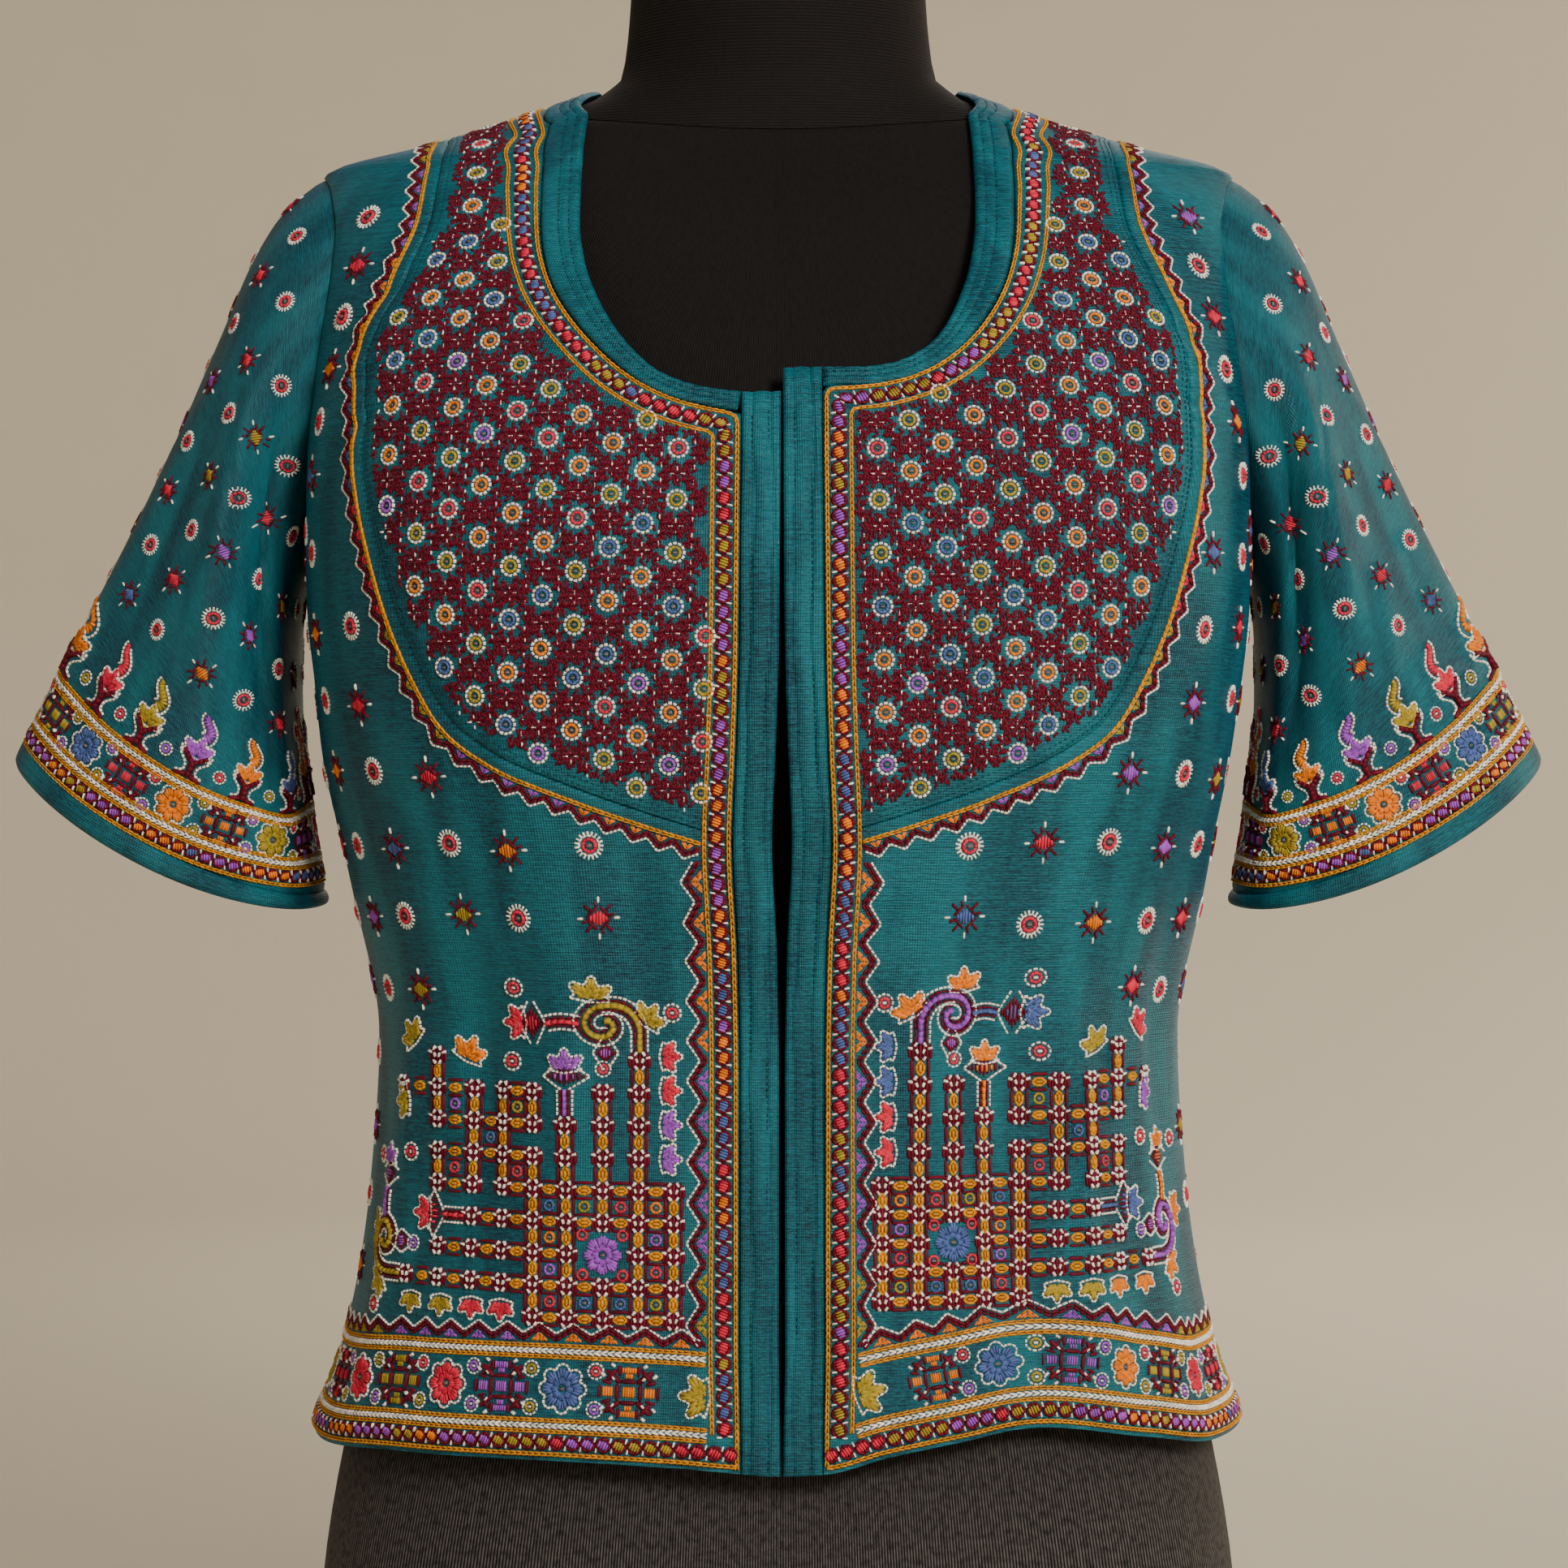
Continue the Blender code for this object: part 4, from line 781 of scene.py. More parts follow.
class Needlework:
    """Raised stitches on one surface, gathered and then made into one mesh."""

    # A stitch has two three-pointed sections (left, upper, right), the upper point off the
    # cloth. A short stitch is closed flat at both ends, and a long one runs out to two tips.
    SHORT_FACES = np.array(
        [[0, 1, 4], [0, 4, 3], [1, 2, 5], [1, 5, 4], [2, 0, 3], [2, 3, 5], [1, 0, 2], [3, 4, 5]]
    )
    LONG_FACES = np.array(
        [[0, 3, 2], [0, 4, 3], [0, 2, 4], [2, 3, 6], [2, 6, 5], [3, 4, 7], [3, 7, 6], [4, 2, 5], [4, 5, 7]]
        + [[1, 5, 6], [1, 6, 7], [1, 7, 5]]
    )
    ROOT = 0.00012
    LONG_FROM = 2.1

    def __init__(self, name: str, surface: Surface, wall: float = PANEL_WALL, seed: int = 1):
        """Starts an empty piece of needlework.

        Args:
            name: the piece's name.
            surface: the cloth that it lies on.
            wall: that cloth's thickness.
            seed: seeds the small differences between stitches.
        """
        self.name, self.surface, self.wall = name, surface, wall
        self.random = np.random.default_rng(seed)
        self.parts: list[Array] = []

    def sew(self, u0, v0, u1, v1, width, height, floss) -> None:
        """Adds stitches by their ends' parameters; floss is an index array or a Floss."""
        index = float(FLOSSES.index(floss)) if isinstance(floss, Floss) else floss
        parts = np.broadcast_arrays(u0, v0, u1, v1, width, height, index)
        self.parts.append(np.stack([np.ravel(np.asarray(part, float)) for part in parts], axis=1))

    def stamp(self, chart: Chart, places: Places, hues: Sequence[Floss] = (CORAL,)) -> None:
        """Repeats a chart at each place, its main thread taken from hues in turn."""
        rows = chart.all()
        cells = (places.count, len(rows))
        a0, b0, a1, b1, width, height, floss = (np.broadcast_to(rows[:, i], cells) for i in range(7))
        main = np.array([FLOSSES.index(hue) for hue in hues], float)[np.arange(places.count) % len(hues)]
        floss = np.where(floss == FLOSSES.index(MAIN), main[:, None], floss)
        u0, v0 = places.at(a0, b0)
        u1, v1 = places.at(a1, b1)
        self.sew(u0, v0, u1, v1, width, height, floss)

    def on_line(self, line: Line, d0, o0, d1, o1, width, height, floss) -> None:
        """Adds stitches by distances along and out from a line."""
        d0, o0, d1, o1 = np.broadcast_arrays(d0, o0, d1, o1)
        u0, v0 = line.at(d0, o0)
        u1, v1 = line.at(d1, o1)
        self.sew(u0, v0, u1, v1, width, height, floss)

    def build(self) -> bpy.types.Object:
        """Makes the mesh: all short stitches and all long ones, each with its thread's colour."""
        rows = np.concatenate(self.parts)
        wobble = self.random.uniform(-1, 1, (len(rows), 4))
        rows[:, 4] *= 1 + 0.12 * wobble[:, 0]
        rows[:, 5] *= 1 + 0.15 * wobble[:, 1]
        start, end = self.surface.point(rows[:, 0], rows[:, 1]), self.surface.point(rows[:, 2], rows[:, 3])
        long = np.linalg.norm(end - start, axis=1) > self.LONG_FROM * rows[:, 4]
        shade = FLOSS_COLOURS[rows[:, 6].astype(int)] * (1 + 0.22 * wobble[:, 2:3])
        points, triangles, colours, count = [], [], [], 0
        for chosen, at, faces in (
            (~long, (0.03, 0.97), self.SHORT_FACES), (long, (0.2, 0.8), self.LONG_FACES)
        ):
            if not chosen.any():
                continue
            body = self._bodies(rows[chosen], at, faces is self.LONG_FACES)
            size = body.shape[1]
            triangles.append(
                (faces[None] + (np.arange(len(body)) * size)[:, None, None]).reshape(-1, 3) + count
            )
            points.append(body.reshape(-1, 3))
            colours.append(np.repeat(shade[chosen], size, axis=0))
            count += len(body) * size
        all_triangles = np.concatenate(triangles)
        piece = add_mesh(self.name, np.concatenate(points), all_triangles, EmbroideryFloss().material())
        attribute = piece.data.attributes.new("thread", "FLOAT_COLOR", "POINT")
        rgba = np.concatenate([np.concatenate(colours), np.ones((count, 1))], axis=1)
        attribute.data.foreach_set("color", rgba.astype(np.float32).ravel())
        log.info("%s: %d stitches, %d triangles", self.name, len(rows), len(all_triangles))
        return piece

    def _bodies(self, rows: Array, at: tuple[float, float], tips: bool) -> Array:
        """The points of stitches with sections at two shares of their length."""
        u0, v0, u1, v1, width, height = rows[:, :6].T
        sunk = self.wall - self.ROOT
        normal = self.surface.normal((u0 + u1) / 2, (v0 + v1) / 2)
        start = self.surface.point(u0, v0) + sunk * normal
        end = self.surface.point(u1, v1) + sunk * normal
        left = unit(np.cross(normal, unit(end - start))) * (width / 2)[:, None]
        corners = [start, end] if tips else []
        for share in at:
            base = self.surface.point(u0 + (u1 - u0) * share, v0 + (v1 - v0) * share) + sunk * normal
            corners += [base + left, base + normal * (height + self.ROOT)[:, None], base - left]
        return np.stack(corners, axis=1)


def add_mesh(
    name: str, points: Array, faces: Array, material: bpy.types.Material, smooth_to: float = 180.0
) -> bpy.types.Object:
    """Puts arrays into a new mesh object.

    Args:
        name: the piece's name.
        points: its points, in metres.
        faces: its triangles or quads, all of one kind.
        material: its finish.
        smooth_to: the largest angle in degrees that is shaded smooth.

    Returns:
        The new object, riding on the root body.
    """
    mesh = bpy.data.meshes.new(name)
    size = faces.shape[1]
    mesh.vertices.add(len(points))
    mesh.vertices.foreach_set("co", points.astype(np.float32).ravel())
    mesh.loops.add(faces.size)
    mesh.loops.foreach_set("vertex_index", faces.astype(np.int32).ravel())
    mesh.polygons.add(len(faces))
    mesh.polygons.foreach_set("loop_start", np.arange(0, faces.size, size, dtype=np.int32))
    mesh.update(calc_edges=True)
    mesh.validate()
    mesh.materials.append(material)
    mesh.shade_smooth()
    if smooth_to < 180:
        mesh.set_sharp_from_angle(angle=math.radians(smooth_to))
    piece = bpy.data.objects.new(name, mesh)
    bpy.context.scene.collection.objects.link(piece)
    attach(piece, "root")
    return piece


def add_node(tree: bpy.types.NodeTree, kind: str, settings: dict | None = None, links: dict | None = None):
    """Adds a shader node.

    Args:
        tree: the material's node tree.
        kind: the node's type name, after ShaderNode.
        settings: its properties by name, and its sockets' values by name or number.
        links: what feeds its sockets, by name or number.

    Returns:
        The new node.
    """
    made = tree.nodes.new("ShaderNode" + kind)
    for name, value in (settings or {}).items():
        if isinstance(name, str) and hasattr(made, name):
            setattr(made, name, value)
        else:
            made.inputs[name].default_value = value
    for name, source in (links or {}).items():
        tree.links.new(source, made.inputs[name])
    return made


def new_material(name: str, constants: dict) -> tuple[bpy.types.Material, bpy.types.NodeTree, bpy.types.Node]:
    """A new material, its node tree and its Principled shader with these sockets set."""
    material = bpy.data.materials.new(name)
    material.use_nodes = True
    shader = material.node_tree.nodes["Principled BSDF"]
    for socket, value in constants.items():
        shader.inputs[socket].default_value = value
    return material, material.node_tree, shader


def cut_in_mm(tree: bpy.types.NodeTree) -> bpy.types.NodeSocket:
    """Places on the flat cut piece, in millimetres, from its own UV map."""
    place = add_node(tree, "UVMap", {"uv_map": "cut"}).outputs["UV"]
    return add_node(tree, "Mapping", {"Scale": (1000, 1000, 1000)}, {"Vector": place}).outputs["Vector"]


def blend(tree: bpy.types.NodeTree, share, low, high) -> bpy.types.NodeSocket:
    """Mixes two colours, each a hex string or a socket, by a socket."""
    made = add_node(tree, "Mix", {"data_type": "RGBA"}, {0: share})
    for socket, colour in ((6, low), (7, high)):
        if isinstance(colour, str):
            made.inputs[socket].default_value = (*linear(colour), 1)
        else:
            tree.links.new(colour, made.inputs[socket])
    return made.outputs[2]


def reach(tree: bpy.types.NodeTree, value, low: float, high: float) -> bpy.types.NodeSocket:
    """Stretches the values between low and high to 0 and 1."""
    return add_node(tree, "MapRange", {"From Min": low, "From Max": high}, {"Value": value}).outputs["Result"]


@dataclass(frozen=True)
class ShotSilk:
    """Handwoven shot silk, dyed teal: uneven weft threads show as short level slubs."""

    name: str = "teal_shot_silk"
    ground: str = "#01394a"
    deep: str = "#00212e"
    bright: str = "#096b77"
    sheen_tint: str = "#4a6fd0"
    thread_mm: float = 1.0
    slub_mm: tuple[float, float] = (11.0, 0.9)
    grain_mm: tuple[float, float] = (2.6, 0.8)

    @staticmethod
    def streaks(
        tree: bpy.types.NodeTree, in_mm, size: tuple[float, float], detail: float
    ) -> bpy.types.NodeSocket:
        """Noise drawn out along the weft, of a length and a height in millimetres."""
        scale = {"Scale": (1 / size[0], 1 / size[1], 1)}
        at = add_node(tree, "Mapping", scale, {"Vector": in_mm}).outputs["Vector"]
        return add_node(tree, "TexNoise", {"Scale": 1.0, "Detail": detail}, {"Vector": at}).outputs["Fac"]

    def material(self) -> bpy.types.Material:
        """Builds the finish once and then returns the same one."""
        if self.name in bpy.data.materials:
            return bpy.data.materials[self.name]
        constants = {
            "Roughness": 0.5,
            "Specular IOR Level": 0.26,
            "Sheen Weight": 0.1,
            "Sheen Roughness": 0.32,
            "Sheen Tint": (*linear(self.sheen_tint), 1),
        }
        material, tree, shader = new_material(self.name, constants)
        in_mm = cut_in_mm(tree)
        slubs = self.streaks(tree, in_mm, self.slub_mm, 3.0)
        grain = self.streaks(tree, in_mm, self.grain_mm, 2.0)
        # Large soft patches drawn out upright, lighter or darker teal: partly tone that differs at random,
        # partly painted sheen, the light streaks that the silk shows along its folds.
        tone_and_sheen_patches = self.streaks(tree, in_mm, (22.0, 90.0), 2.0)
        # A wave of scale 1 repeats every pi / 10 units. The real threads are a quarter of
        # this size and would not show, so they are drawn coarser.
        settings = {"Scale": 0.314 / self.thread_mm, "Distortion": 1.2, "Detail": 1.0, "Detail Scale": 0.4}
        weft = add_node(
            tree, "TexWave", settings | {"bands_direction": "Y"}, {"Vector": in_mm}
        ).outputs["Fac"]
        warp = add_node(
            tree, "TexWave", settings | {"bands_direction": "X"}, {"Vector": in_mm}
        ).outputs["Fac"]
        both = add_node(tree, "Math", {"operation": "ADD"}, {0: slubs, 1: grain}).outputs[0]
        cloth = blend(tree, reach(tree, both, 0.78, 1.22), self.deep, self.bright)
        # Painted sheen in part: the large patches lighten the cloth towards the bright teal.
        shade = blend(tree, reach(tree, tone_and_sheen_patches, 0.4, 0.6), self.ground, self.bright)
        base = blend(tree, reach(tree, tone_and_sheen_patches, -0.5, 1.5), cloth, shade)
        tree.links.new(base, shader.inputs["Base Color"])
        woven = add_node(tree, "Math", {"operation": "ADD"}, {0: weft, 1: warp}).outputs[0]
        relief = add_node(tree, "Math", {"operation": "MULTIPLY_ADD", 1: 2.6}, {0: both, 2: woven}).outputs[0]
        bump = add_node(tree, "Bump", {"Strength": 0.55, "Distance": 0.00028}, {"Height": relief})
        tree.links.new(bump.outputs["Normal"], shader.inputs["Normal"])
        return material


@dataclass(frozen=True)
class RibbedJersey:
    """Black cotton jersey knitted in fine ribs, paler towards the hips: partly painted light, the chest kept
    darker as painted shade, and partly the knit pulled open over the hips.
    """

    name: str
    axis: str
    rib_mm: float = 1.25
    dark: str = "#0b0909"
    light: str = "#1b1716"
    hip_light_and_stretch: str = "#5f5b58"

    def material(self) -> bpy.types.Material:
        """Builds the finish: ribs from a wave in millimetres on the piece's own UV map."""
        if self.name in bpy.data.materials:
            return bpy.data.materials[self.name]
        constants = {
            "Roughness": 0.82,
            "Specular IOR Level": 0.18,
            "Sheen Weight": 0.1,
            "Sheen Roughness": 0.45,
            "Sheen Tint": (*linear("#8a7f7a"), 1),
        }
        material, tree, shader = new_material(self.name, constants)
        in_mm = cut_in_mm(tree)
        settings = {"bands_direction": self.axis, "Scale": 0.314 / self.rib_mm, "Distortion": 0.25}
        ribs = add_node(tree, "TexWave", settings, {"Vector": in_mm}).outputs["Fac"]
        lint = add_node(tree, "TexNoise", {"Scale": 1 / 3, "Detail": 4.0}, {"Vector": in_mm}).outputs["Fac"]
        worn = reach(tree, lint, 0.2, 0.6)
        ribbed = reach(tree, ribs, 0.2, 0.8)
        both = add_node(tree, "Math", {"operation": "MULTIPLY"}, {0: ribbed, 1: worn}).outputs[0]
        # Painted light in part: the light ribs turn paler from 0.3 m down to 0.14 m above the floor, so that
        # the chest reads as shaded and the hips as lit; the knit pulled open over the hips is paler too.
        place = add_node(tree, "TexCoord").outputs["Object"]
        height = add_node(tree, "SeparateXYZ", links={"Vector": place}).outputs["Z"]
        rib = blend(tree, reach(tree, height, 0.3, 0.14), self.light, self.hip_light_and_stretch)
        tree.links.new(blend(tree, both, self.dark, rib), shader.inputs["Base Color"])
        bump = add_node(tree, "Bump", {"Strength": 0.5, "Distance": 0.0003}, {"Height": ribs})
        tree.links.new(bump.outputs["Normal"], shader.inputs["Normal"])
        return material


@dataclass(frozen=True)
class EmbroideryFloss:
    """Loosely twisted embroidery floss: a soft gloss along each raised stitch."""

    name: str = "embroidery_floss"

    def material(self) -> bpy.types.Material:
        """Builds the finish once: each stitch's colour is in the thread attribute."""
        if self.name in bpy.data.materials:
            return bpy.data.materials[self.name]
        constants = {
            "Roughness": 0.56,
            "Specular IOR Level": 0.2,
            "Sheen Weight": 0.02,
        }
        material, tree, shader = new_material(self.name, constants)
        thread = add_node(tree, "Attribute", {"attribute_name": "thread"}).outputs["Color"]
        tree.links.new(thread, shader.inputs["Base Color"])
        return material


@dataclass
class ClothPiece:
    """A cut piece of cloth: a grid on a surface, thickened outwards, its edges rolled."""

    name: str
    surface: Surface
    u: Array
    v: Array
    wall: float
    round_trip: bool = False
    roll: float = 0.0022
    out: Array | None = None

    def edge_distance(self, points: Array) -> Array:
        """Rough distance from the piece's edges, counted along its rows and columns."""
        rows, columns = points.shape[:2]
        down = np.linalg.norm(np.diff(points, axis=0), axis=-1)
        down = np.concatenate([np.zeros((1, columns)), np.cumsum(down, axis=0)])
        nearest = np.minimum(down, down[-1] - down)
        if not self.round_trip:
            level = np.linalg.norm(np.diff(points, axis=1), axis=-1)
            level = np.concatenate([np.zeros((rows, 1)), np.cumsum(level, axis=1)], axis=1)
            nearest = np.minimum(nearest, np.minimum(level, level[:, -1:] - level))
        return nearest

    def build(self, finish: ShotSilk, slot: str, *nodes: str) -> bpy.types.Object:
        """Makes the piece.

        The outer face is the surface moved out by the wall, less near the edges, where it
        falls off as a quarter circle; out adds small reliefs such as folded hems.

        Args:
            finish: the cloth's finish.
            slot: not used.
            nodes: the solids that the piece stands for.

        Returns:
            The new object.
        """
        inner = self.surface.point(self.u, self.v)
        normal = self.surface.normal(self.u, self.v)
        share = np.clip(self.edge_distance(inner) / self.roll, 0, 1)
        lift = self.wall * (0.35 + 0.65 * np.sqrt(1 - (1 - share) ** 2))
        if self.out is not None:
            lift = lift + self.out
        outer = inner + lift[..., None] * normal
        inner = inner + 0.0001 * normal
        rows, columns = inner.shape[:2]
        index = np.arange(rows * columns).reshape(rows, columns)
        if self.round_trip:
            index = np.concatenate([index, index[:, :1]], axis=1)
        a, b, c, d = index[:-1, :-1], index[:-1, 1:], index[1:, 1:], index[1:, :-1]
        quads = np.stack([a, b, c, d], axis=-1).reshape(-1, 4)
        count = rows * columns
        rim = [(index[0, :-1], index[0, 1:]), (index[-1, 1:], index[-1, :-1])]
        if not self.round_trip:
            rim += [(index[1:, 0], index[:-1, 0]), (index[:-1, -1], index[1:, -1])]
        walls = np.concatenate([np.stack([p, q, q + count, p + count], axis=-1) for p, q in rim])
        if self.surface.orientation < 0:
            quads, walls = quads[:, ::-1], walls[:, ::-1]
        faces = np.concatenate([quads + count, quads[:, ::-1], walls])
        points = np.concatenate([inner.reshape(-1, 3), outer.reshape(-1, 3)])
        piece = add_mesh(self.name, points, faces, finish.material(), 60.0)
        self._lay_weave(piece)
        close_poles(piece)
        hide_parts(*nodes)
        return piece

    def _lay_weave(self, piece: bpy.types.Object) -> None:
        """Writes the flat cut's places into the UV map, in metres."""
        places = self.surface.cut(self.u, self.v).reshape(-1, 2)
        if self.round_trip:
            width = float(places[:, 0].max() - places[:, 0].min())
        mesh = piece.data
        layer = mesh.uv_layers.new(name="cut")
        vertex = np.empty(len(mesh.loops), np.int32)
        mesh.loops.foreach_get("vertex_index", vertex)
        uv = places[vertex % len(places)].copy()
        if self.round_trip:
            first = np.repeat(uv.reshape(-1, 4, 2)[:, :, 0].max(axis=1), 4)
            uv[:, 0] = np.where(first - uv[:, 0] > width / 2, uv[:, 0] + width * 1.02, uv[:, 0])
        layer.data.foreach_set("uv", uv.astype(np.float32).ravel())


def close_poles(piece: bpy.types.Object) -> None:
    """Merges points that lie on each other, such as those of a row that ends in a point."""
    work = bmesh.new()
    work.from_mesh(piece.data)
    bmesh.ops.remove_doubles(work, verts=work.verts, dist=0.00002)
    bmesh.ops.dissolve_degenerate(work, edges=work.edges, dist=0.00001)
    work.to_mesh(piece.data)
    work.free()


def spaced_heights(surface: Surface, low: float, high: float, step: float, edges: Iterable) -> Array:
    """Heights for a grid's rows, closer together where an edge runs nearly level.

    Args:
        surface: the cloth that the grid lies on.
        low: the first height.
        high: the last height.
        step: the largest distance between two rows, along either edge.
        edges: functions of height that give an edge's angle.

    Returns:
        The heights, rising.
    """
    fine = np.linspace(low, high, 3000)
    lengths = [np.linalg.norm(np.diff(surface.point(edge(fine), fine), axis=0), axis=1) for edge in edges]
    total = np.concatenate([[0], np.cumsum(np.max(lengths, axis=0) / step)])
    return np.interp(np.linspace(0, total[-1], int(total[-1]) + 2), total, fine)


def row_grid(heights: Array, left: Array, right: Array, columns: int) -> tuple[Array, Array]:
    """Angles and heights of a grid whose rows run between two edges."""
    share = np.linspace(0, 1, columns)[None]
    theta = left[:, None] + (right - left)[:, None] * share
    return theta, np.repeat(heights[:, None], columns, axis=1)


def hang_on_hem(theta: Array, height: Array) -> Array:
    """Heights of a grid whose lowest rows follow the uneven lower edge."""
    fade = 1 - ease((height - HEM_HEIGHT) / 0.045)
    return height + (hem_height(theta) - HEM_HEIGHT) * fade


@dataclass
class Blouse:
    """The blouse's cut pieces, laid out on the body's surface."""

    body: BodyCloth
    silk: ShotSilk = ShotSilk()
    step: float = 0.0053
    yoke_height: float = 0.66

    def seam_edge(self, side: int) -> Edge:
        """The chest seam's angle as a function of height, and 90 degrees above its end."""
        curve = chest_seam(side)
        order = np.argsort(curve[:, 1])
        heights, angles = curve[order, 1], curve[order, 0]
        return lambda z: np.where(z > heights[-1], side * math.pi / 2, np.interp(z, heights, angles))

    def band_line(self) -> Line:
        """The neckline from the left placket round the back to the right placket."""
        left, right = neck_edge(1), neck_edge(-1)
        right = np.stack([right[:, 0] + 2 * math.pi, right[:, 1]], axis=1)
        path = np.concatenate([left, right[::-1][1:]])
        return Line(self.body, path[:, 0], path[:, 1], (0.0, -1.0))

    def band_width(self, line: Line, d: Array) -> Array:
        """The neck band's width: narrow at the front, wider round the neck."""
        _, height = line.at(d, 0.0)
        return NECK_BAND_FRONT + (NECK_BAND_SIDE - NECK_BAND_FRONT) * ease((height - 0.6115) / 0.05)

    def band_edge(self) -> tuple[Array, Array]:
        """Angles and heights of the neck band's outer edge, from the left to the right placket."""
        line = self.band_line()
        d = np.linspace(0, line.length, 900)
        return line.at(d, self.band_width(line, d))

    def front_band_edge(self, side: int) -> tuple[Edge, float]:
        """The band's outer edge at the front as a function of height, and its top."""
        theta, height = self.band_edge()
        if side < 0:
            theta, height = theta[::-1] - 2 * math.pi, height[::-1]
        front = np.abs(theta) <= math.pi / 2
        rising = np.maximum.accumulate(height[front]) + np.arange(front.sum()) * 1e-9
        angles = theta[front]
        return (lambda z: np.interp(z, rising, angles)), float(rising[-1])

    def outer_edge(self, side: int, to_back: bool) -> Edge:
        """Side seam, armhole and shoulder as one function of height."""
        turn = np.linspace(0, math.pi, 400) if not to_back else np.linspace(2 * math.pi, math.pi, 400)
        theta, height = armhole(turn, side)

        def edge(z: Array) -> Array:
            """The edge's angle at a height."""
            at_armhole = np.interp(z, height[::-1], theta[::-1])
            below = side_theta(side, to_back, z)
            return np.where(
                z < ARMPIT_HEIGHT, below, np.where(z > SHOULDER_TIP_HEIGHT, side * math.pi / 2, at_armhole)
            )

        return edge

    def front(self, side: int, word: str) -> None:
        """The outer front: placket to side seam below, chest seam to armhole above."""
        seam, outer = self.seam_edge(side), self.outer_edge(side, False)

        def inner(z: Array) -> Array:
            """The placket's outer edge, and the chest seam above it."""
            return np.where(z < CHEST_SEAM_PLACKET_HEIGHT, placket_theta(side, PLACKET_WIDTH, z), seam(z))

        heights = spaced_heights(self.body, HEM_HEIGHT, CHEST_SEAM_SHOULDER_HEIGHT, self.step, (inner, outer))
        theta, height = row_grid(heights, inner(heights), outer(heights), 43)
        self._place(f"front_{word}", side, theta, hang_on_hem(theta, height), PANEL_WALL, "teal_silk")

    def chest(self, side: int, word: str) -> None:
        """The rounded chest piece between the placket, the neck band and its seam."""
        on_band, top = self.front_band_edge(side)
        seam = self.seam_edge(side)
        corner = NECK_FRONT_HEIGHT[side] - NECK_BAND_FRONT

        def inner(z: Array) -> Array:
            """The placket's outer edge, and the neck band's above it."""
            return np.where(z < corner, placket_theta(side, PLACKET_WIDTH, z), on_band(z))

        heights = spaced_heights(self.body, CHEST_SEAM_PLACKET_HEIGHT, top, self.step, (inner, seam))
        theta, height = row_grid(heights, inner(heights), seam(heights), 38)
        self._place(f"chest_{word}", side, theta, height, PANEL_WALL, "teal_silk")

    def placket(self, side: int, word: str) -> None:
        """The plain strip down the front edge, folded and stitched, with long soft tucks."""
        heights = np.linspace(HEM_HEIGHT, NECK_FRONT_HEIGHT[side], 140)
        inner = placket_theta(side, 0.0, heights)
        outer = placket_theta(side, PLACKET_WIDTH - 2 * SEAM_HALF_GAP, heights)
        theta, height = row_grid(heights, inner, outer, 25)
        across = np.linspace(0, 1, 25)[None]
        drift = 0.05 * np.sin(height * 44 + side) + 0.03 * np.sin(height * 131)
        tucks = sum(
            deep * np.exp(-(((across - at - drift) / 0.045) ** 2))
            for at, deep in ((0.24, 0.0006), (0.72, 0.0007))
        )
        welts = 0.00045 * np.exp(-(((across - 0.48 - drift) / 0.1) ** 2))
        ripple = 0.0006 * np.sin(height * 420 + 3 * np.sin(height * 90)) * (1 - across) ** 2
        height = hang_on_hem(theta, height)
        self._place(
            f"placket_{word}", side, theta, height, BAND_WALL, "teal_silk_bands", ripple + welts - tucks
        )

    def _place(
        self, name: str, side: int, theta: Array, height: Array, wall: float, slot: str, out=None
    ) -> None:
        """Builds one body piece from its grid of angles and heights."""
        if side < 0:
            theta, height = theta[:, ::-1], height[:, ::-1]
            out = None if out is None else out[:, ::-1]
        ClothPiece(f"silk_{name}", self.body, theta, height, wall, out=out).build(self.silk, slot, name)

    def back(self) -> None:
        """The back in one piece: its rows bend down in the middle, to meet the neck band."""
        left, right = self.outer_edge(1, True), self.outer_edge(-1, True)
        band_theta, band_height = self.band_edge()
        top = float(np.interp(math.pi / 2, band_theta, band_height))
        heights = spaced_heights(self.body, HEM_HEIGHT, top, 0.0066, (left, right))
        columns = 82
        theta, height = row_grid(heights, left(heights), right(heights) + 2 * math.pi, columns)
        at_top = np.interp(np.linspace(math.pi / 2, 1.5 * math.pi, columns), band_theta, band_height)
        bend = ease((height - self.yoke_height) / (top - self.yoke_height))
        height = hang_on_hem(theta, height) + (at_top - top)[None] * bend
        self._place("back_panel", 1, theta, height, PANEL_WALL, "teal_silk")

    def neck_band(self) -> None:
        """The plain band round the neck, with its gathers and two rows of stitching pressed in."""
        line = self.band_line()
        d = np.linspace(0, line.length, 300)
        share = np.linspace(0, 1, 14)
        width = self.band_width(line, d) - 2 * SEAM_HALF_GAP
        theta, height = line.at(np.repeat(d[:, None], 14, axis=1), width[:, None] * share[None])
        pressed = sum(0.0005 * np.exp(-(((share - at) / 0.06) ** 2)) for at in (0.28, 0.55))
        gathers = 0.0003 * np.sin(2 * math.pi * d / 0.0061 + 2 * np.sin(d * 70))
        out = (gathers[:, None] * (1 - share[None]) - pressed[None]).T[::-1]
        piece = ClothPiece("silk_neck_band", self.body, theta.T[::-1], height.T[::-1], BAND_WALL, out=out)
        piece.build(self.silk, "teal_silk_bands", "neck_band")

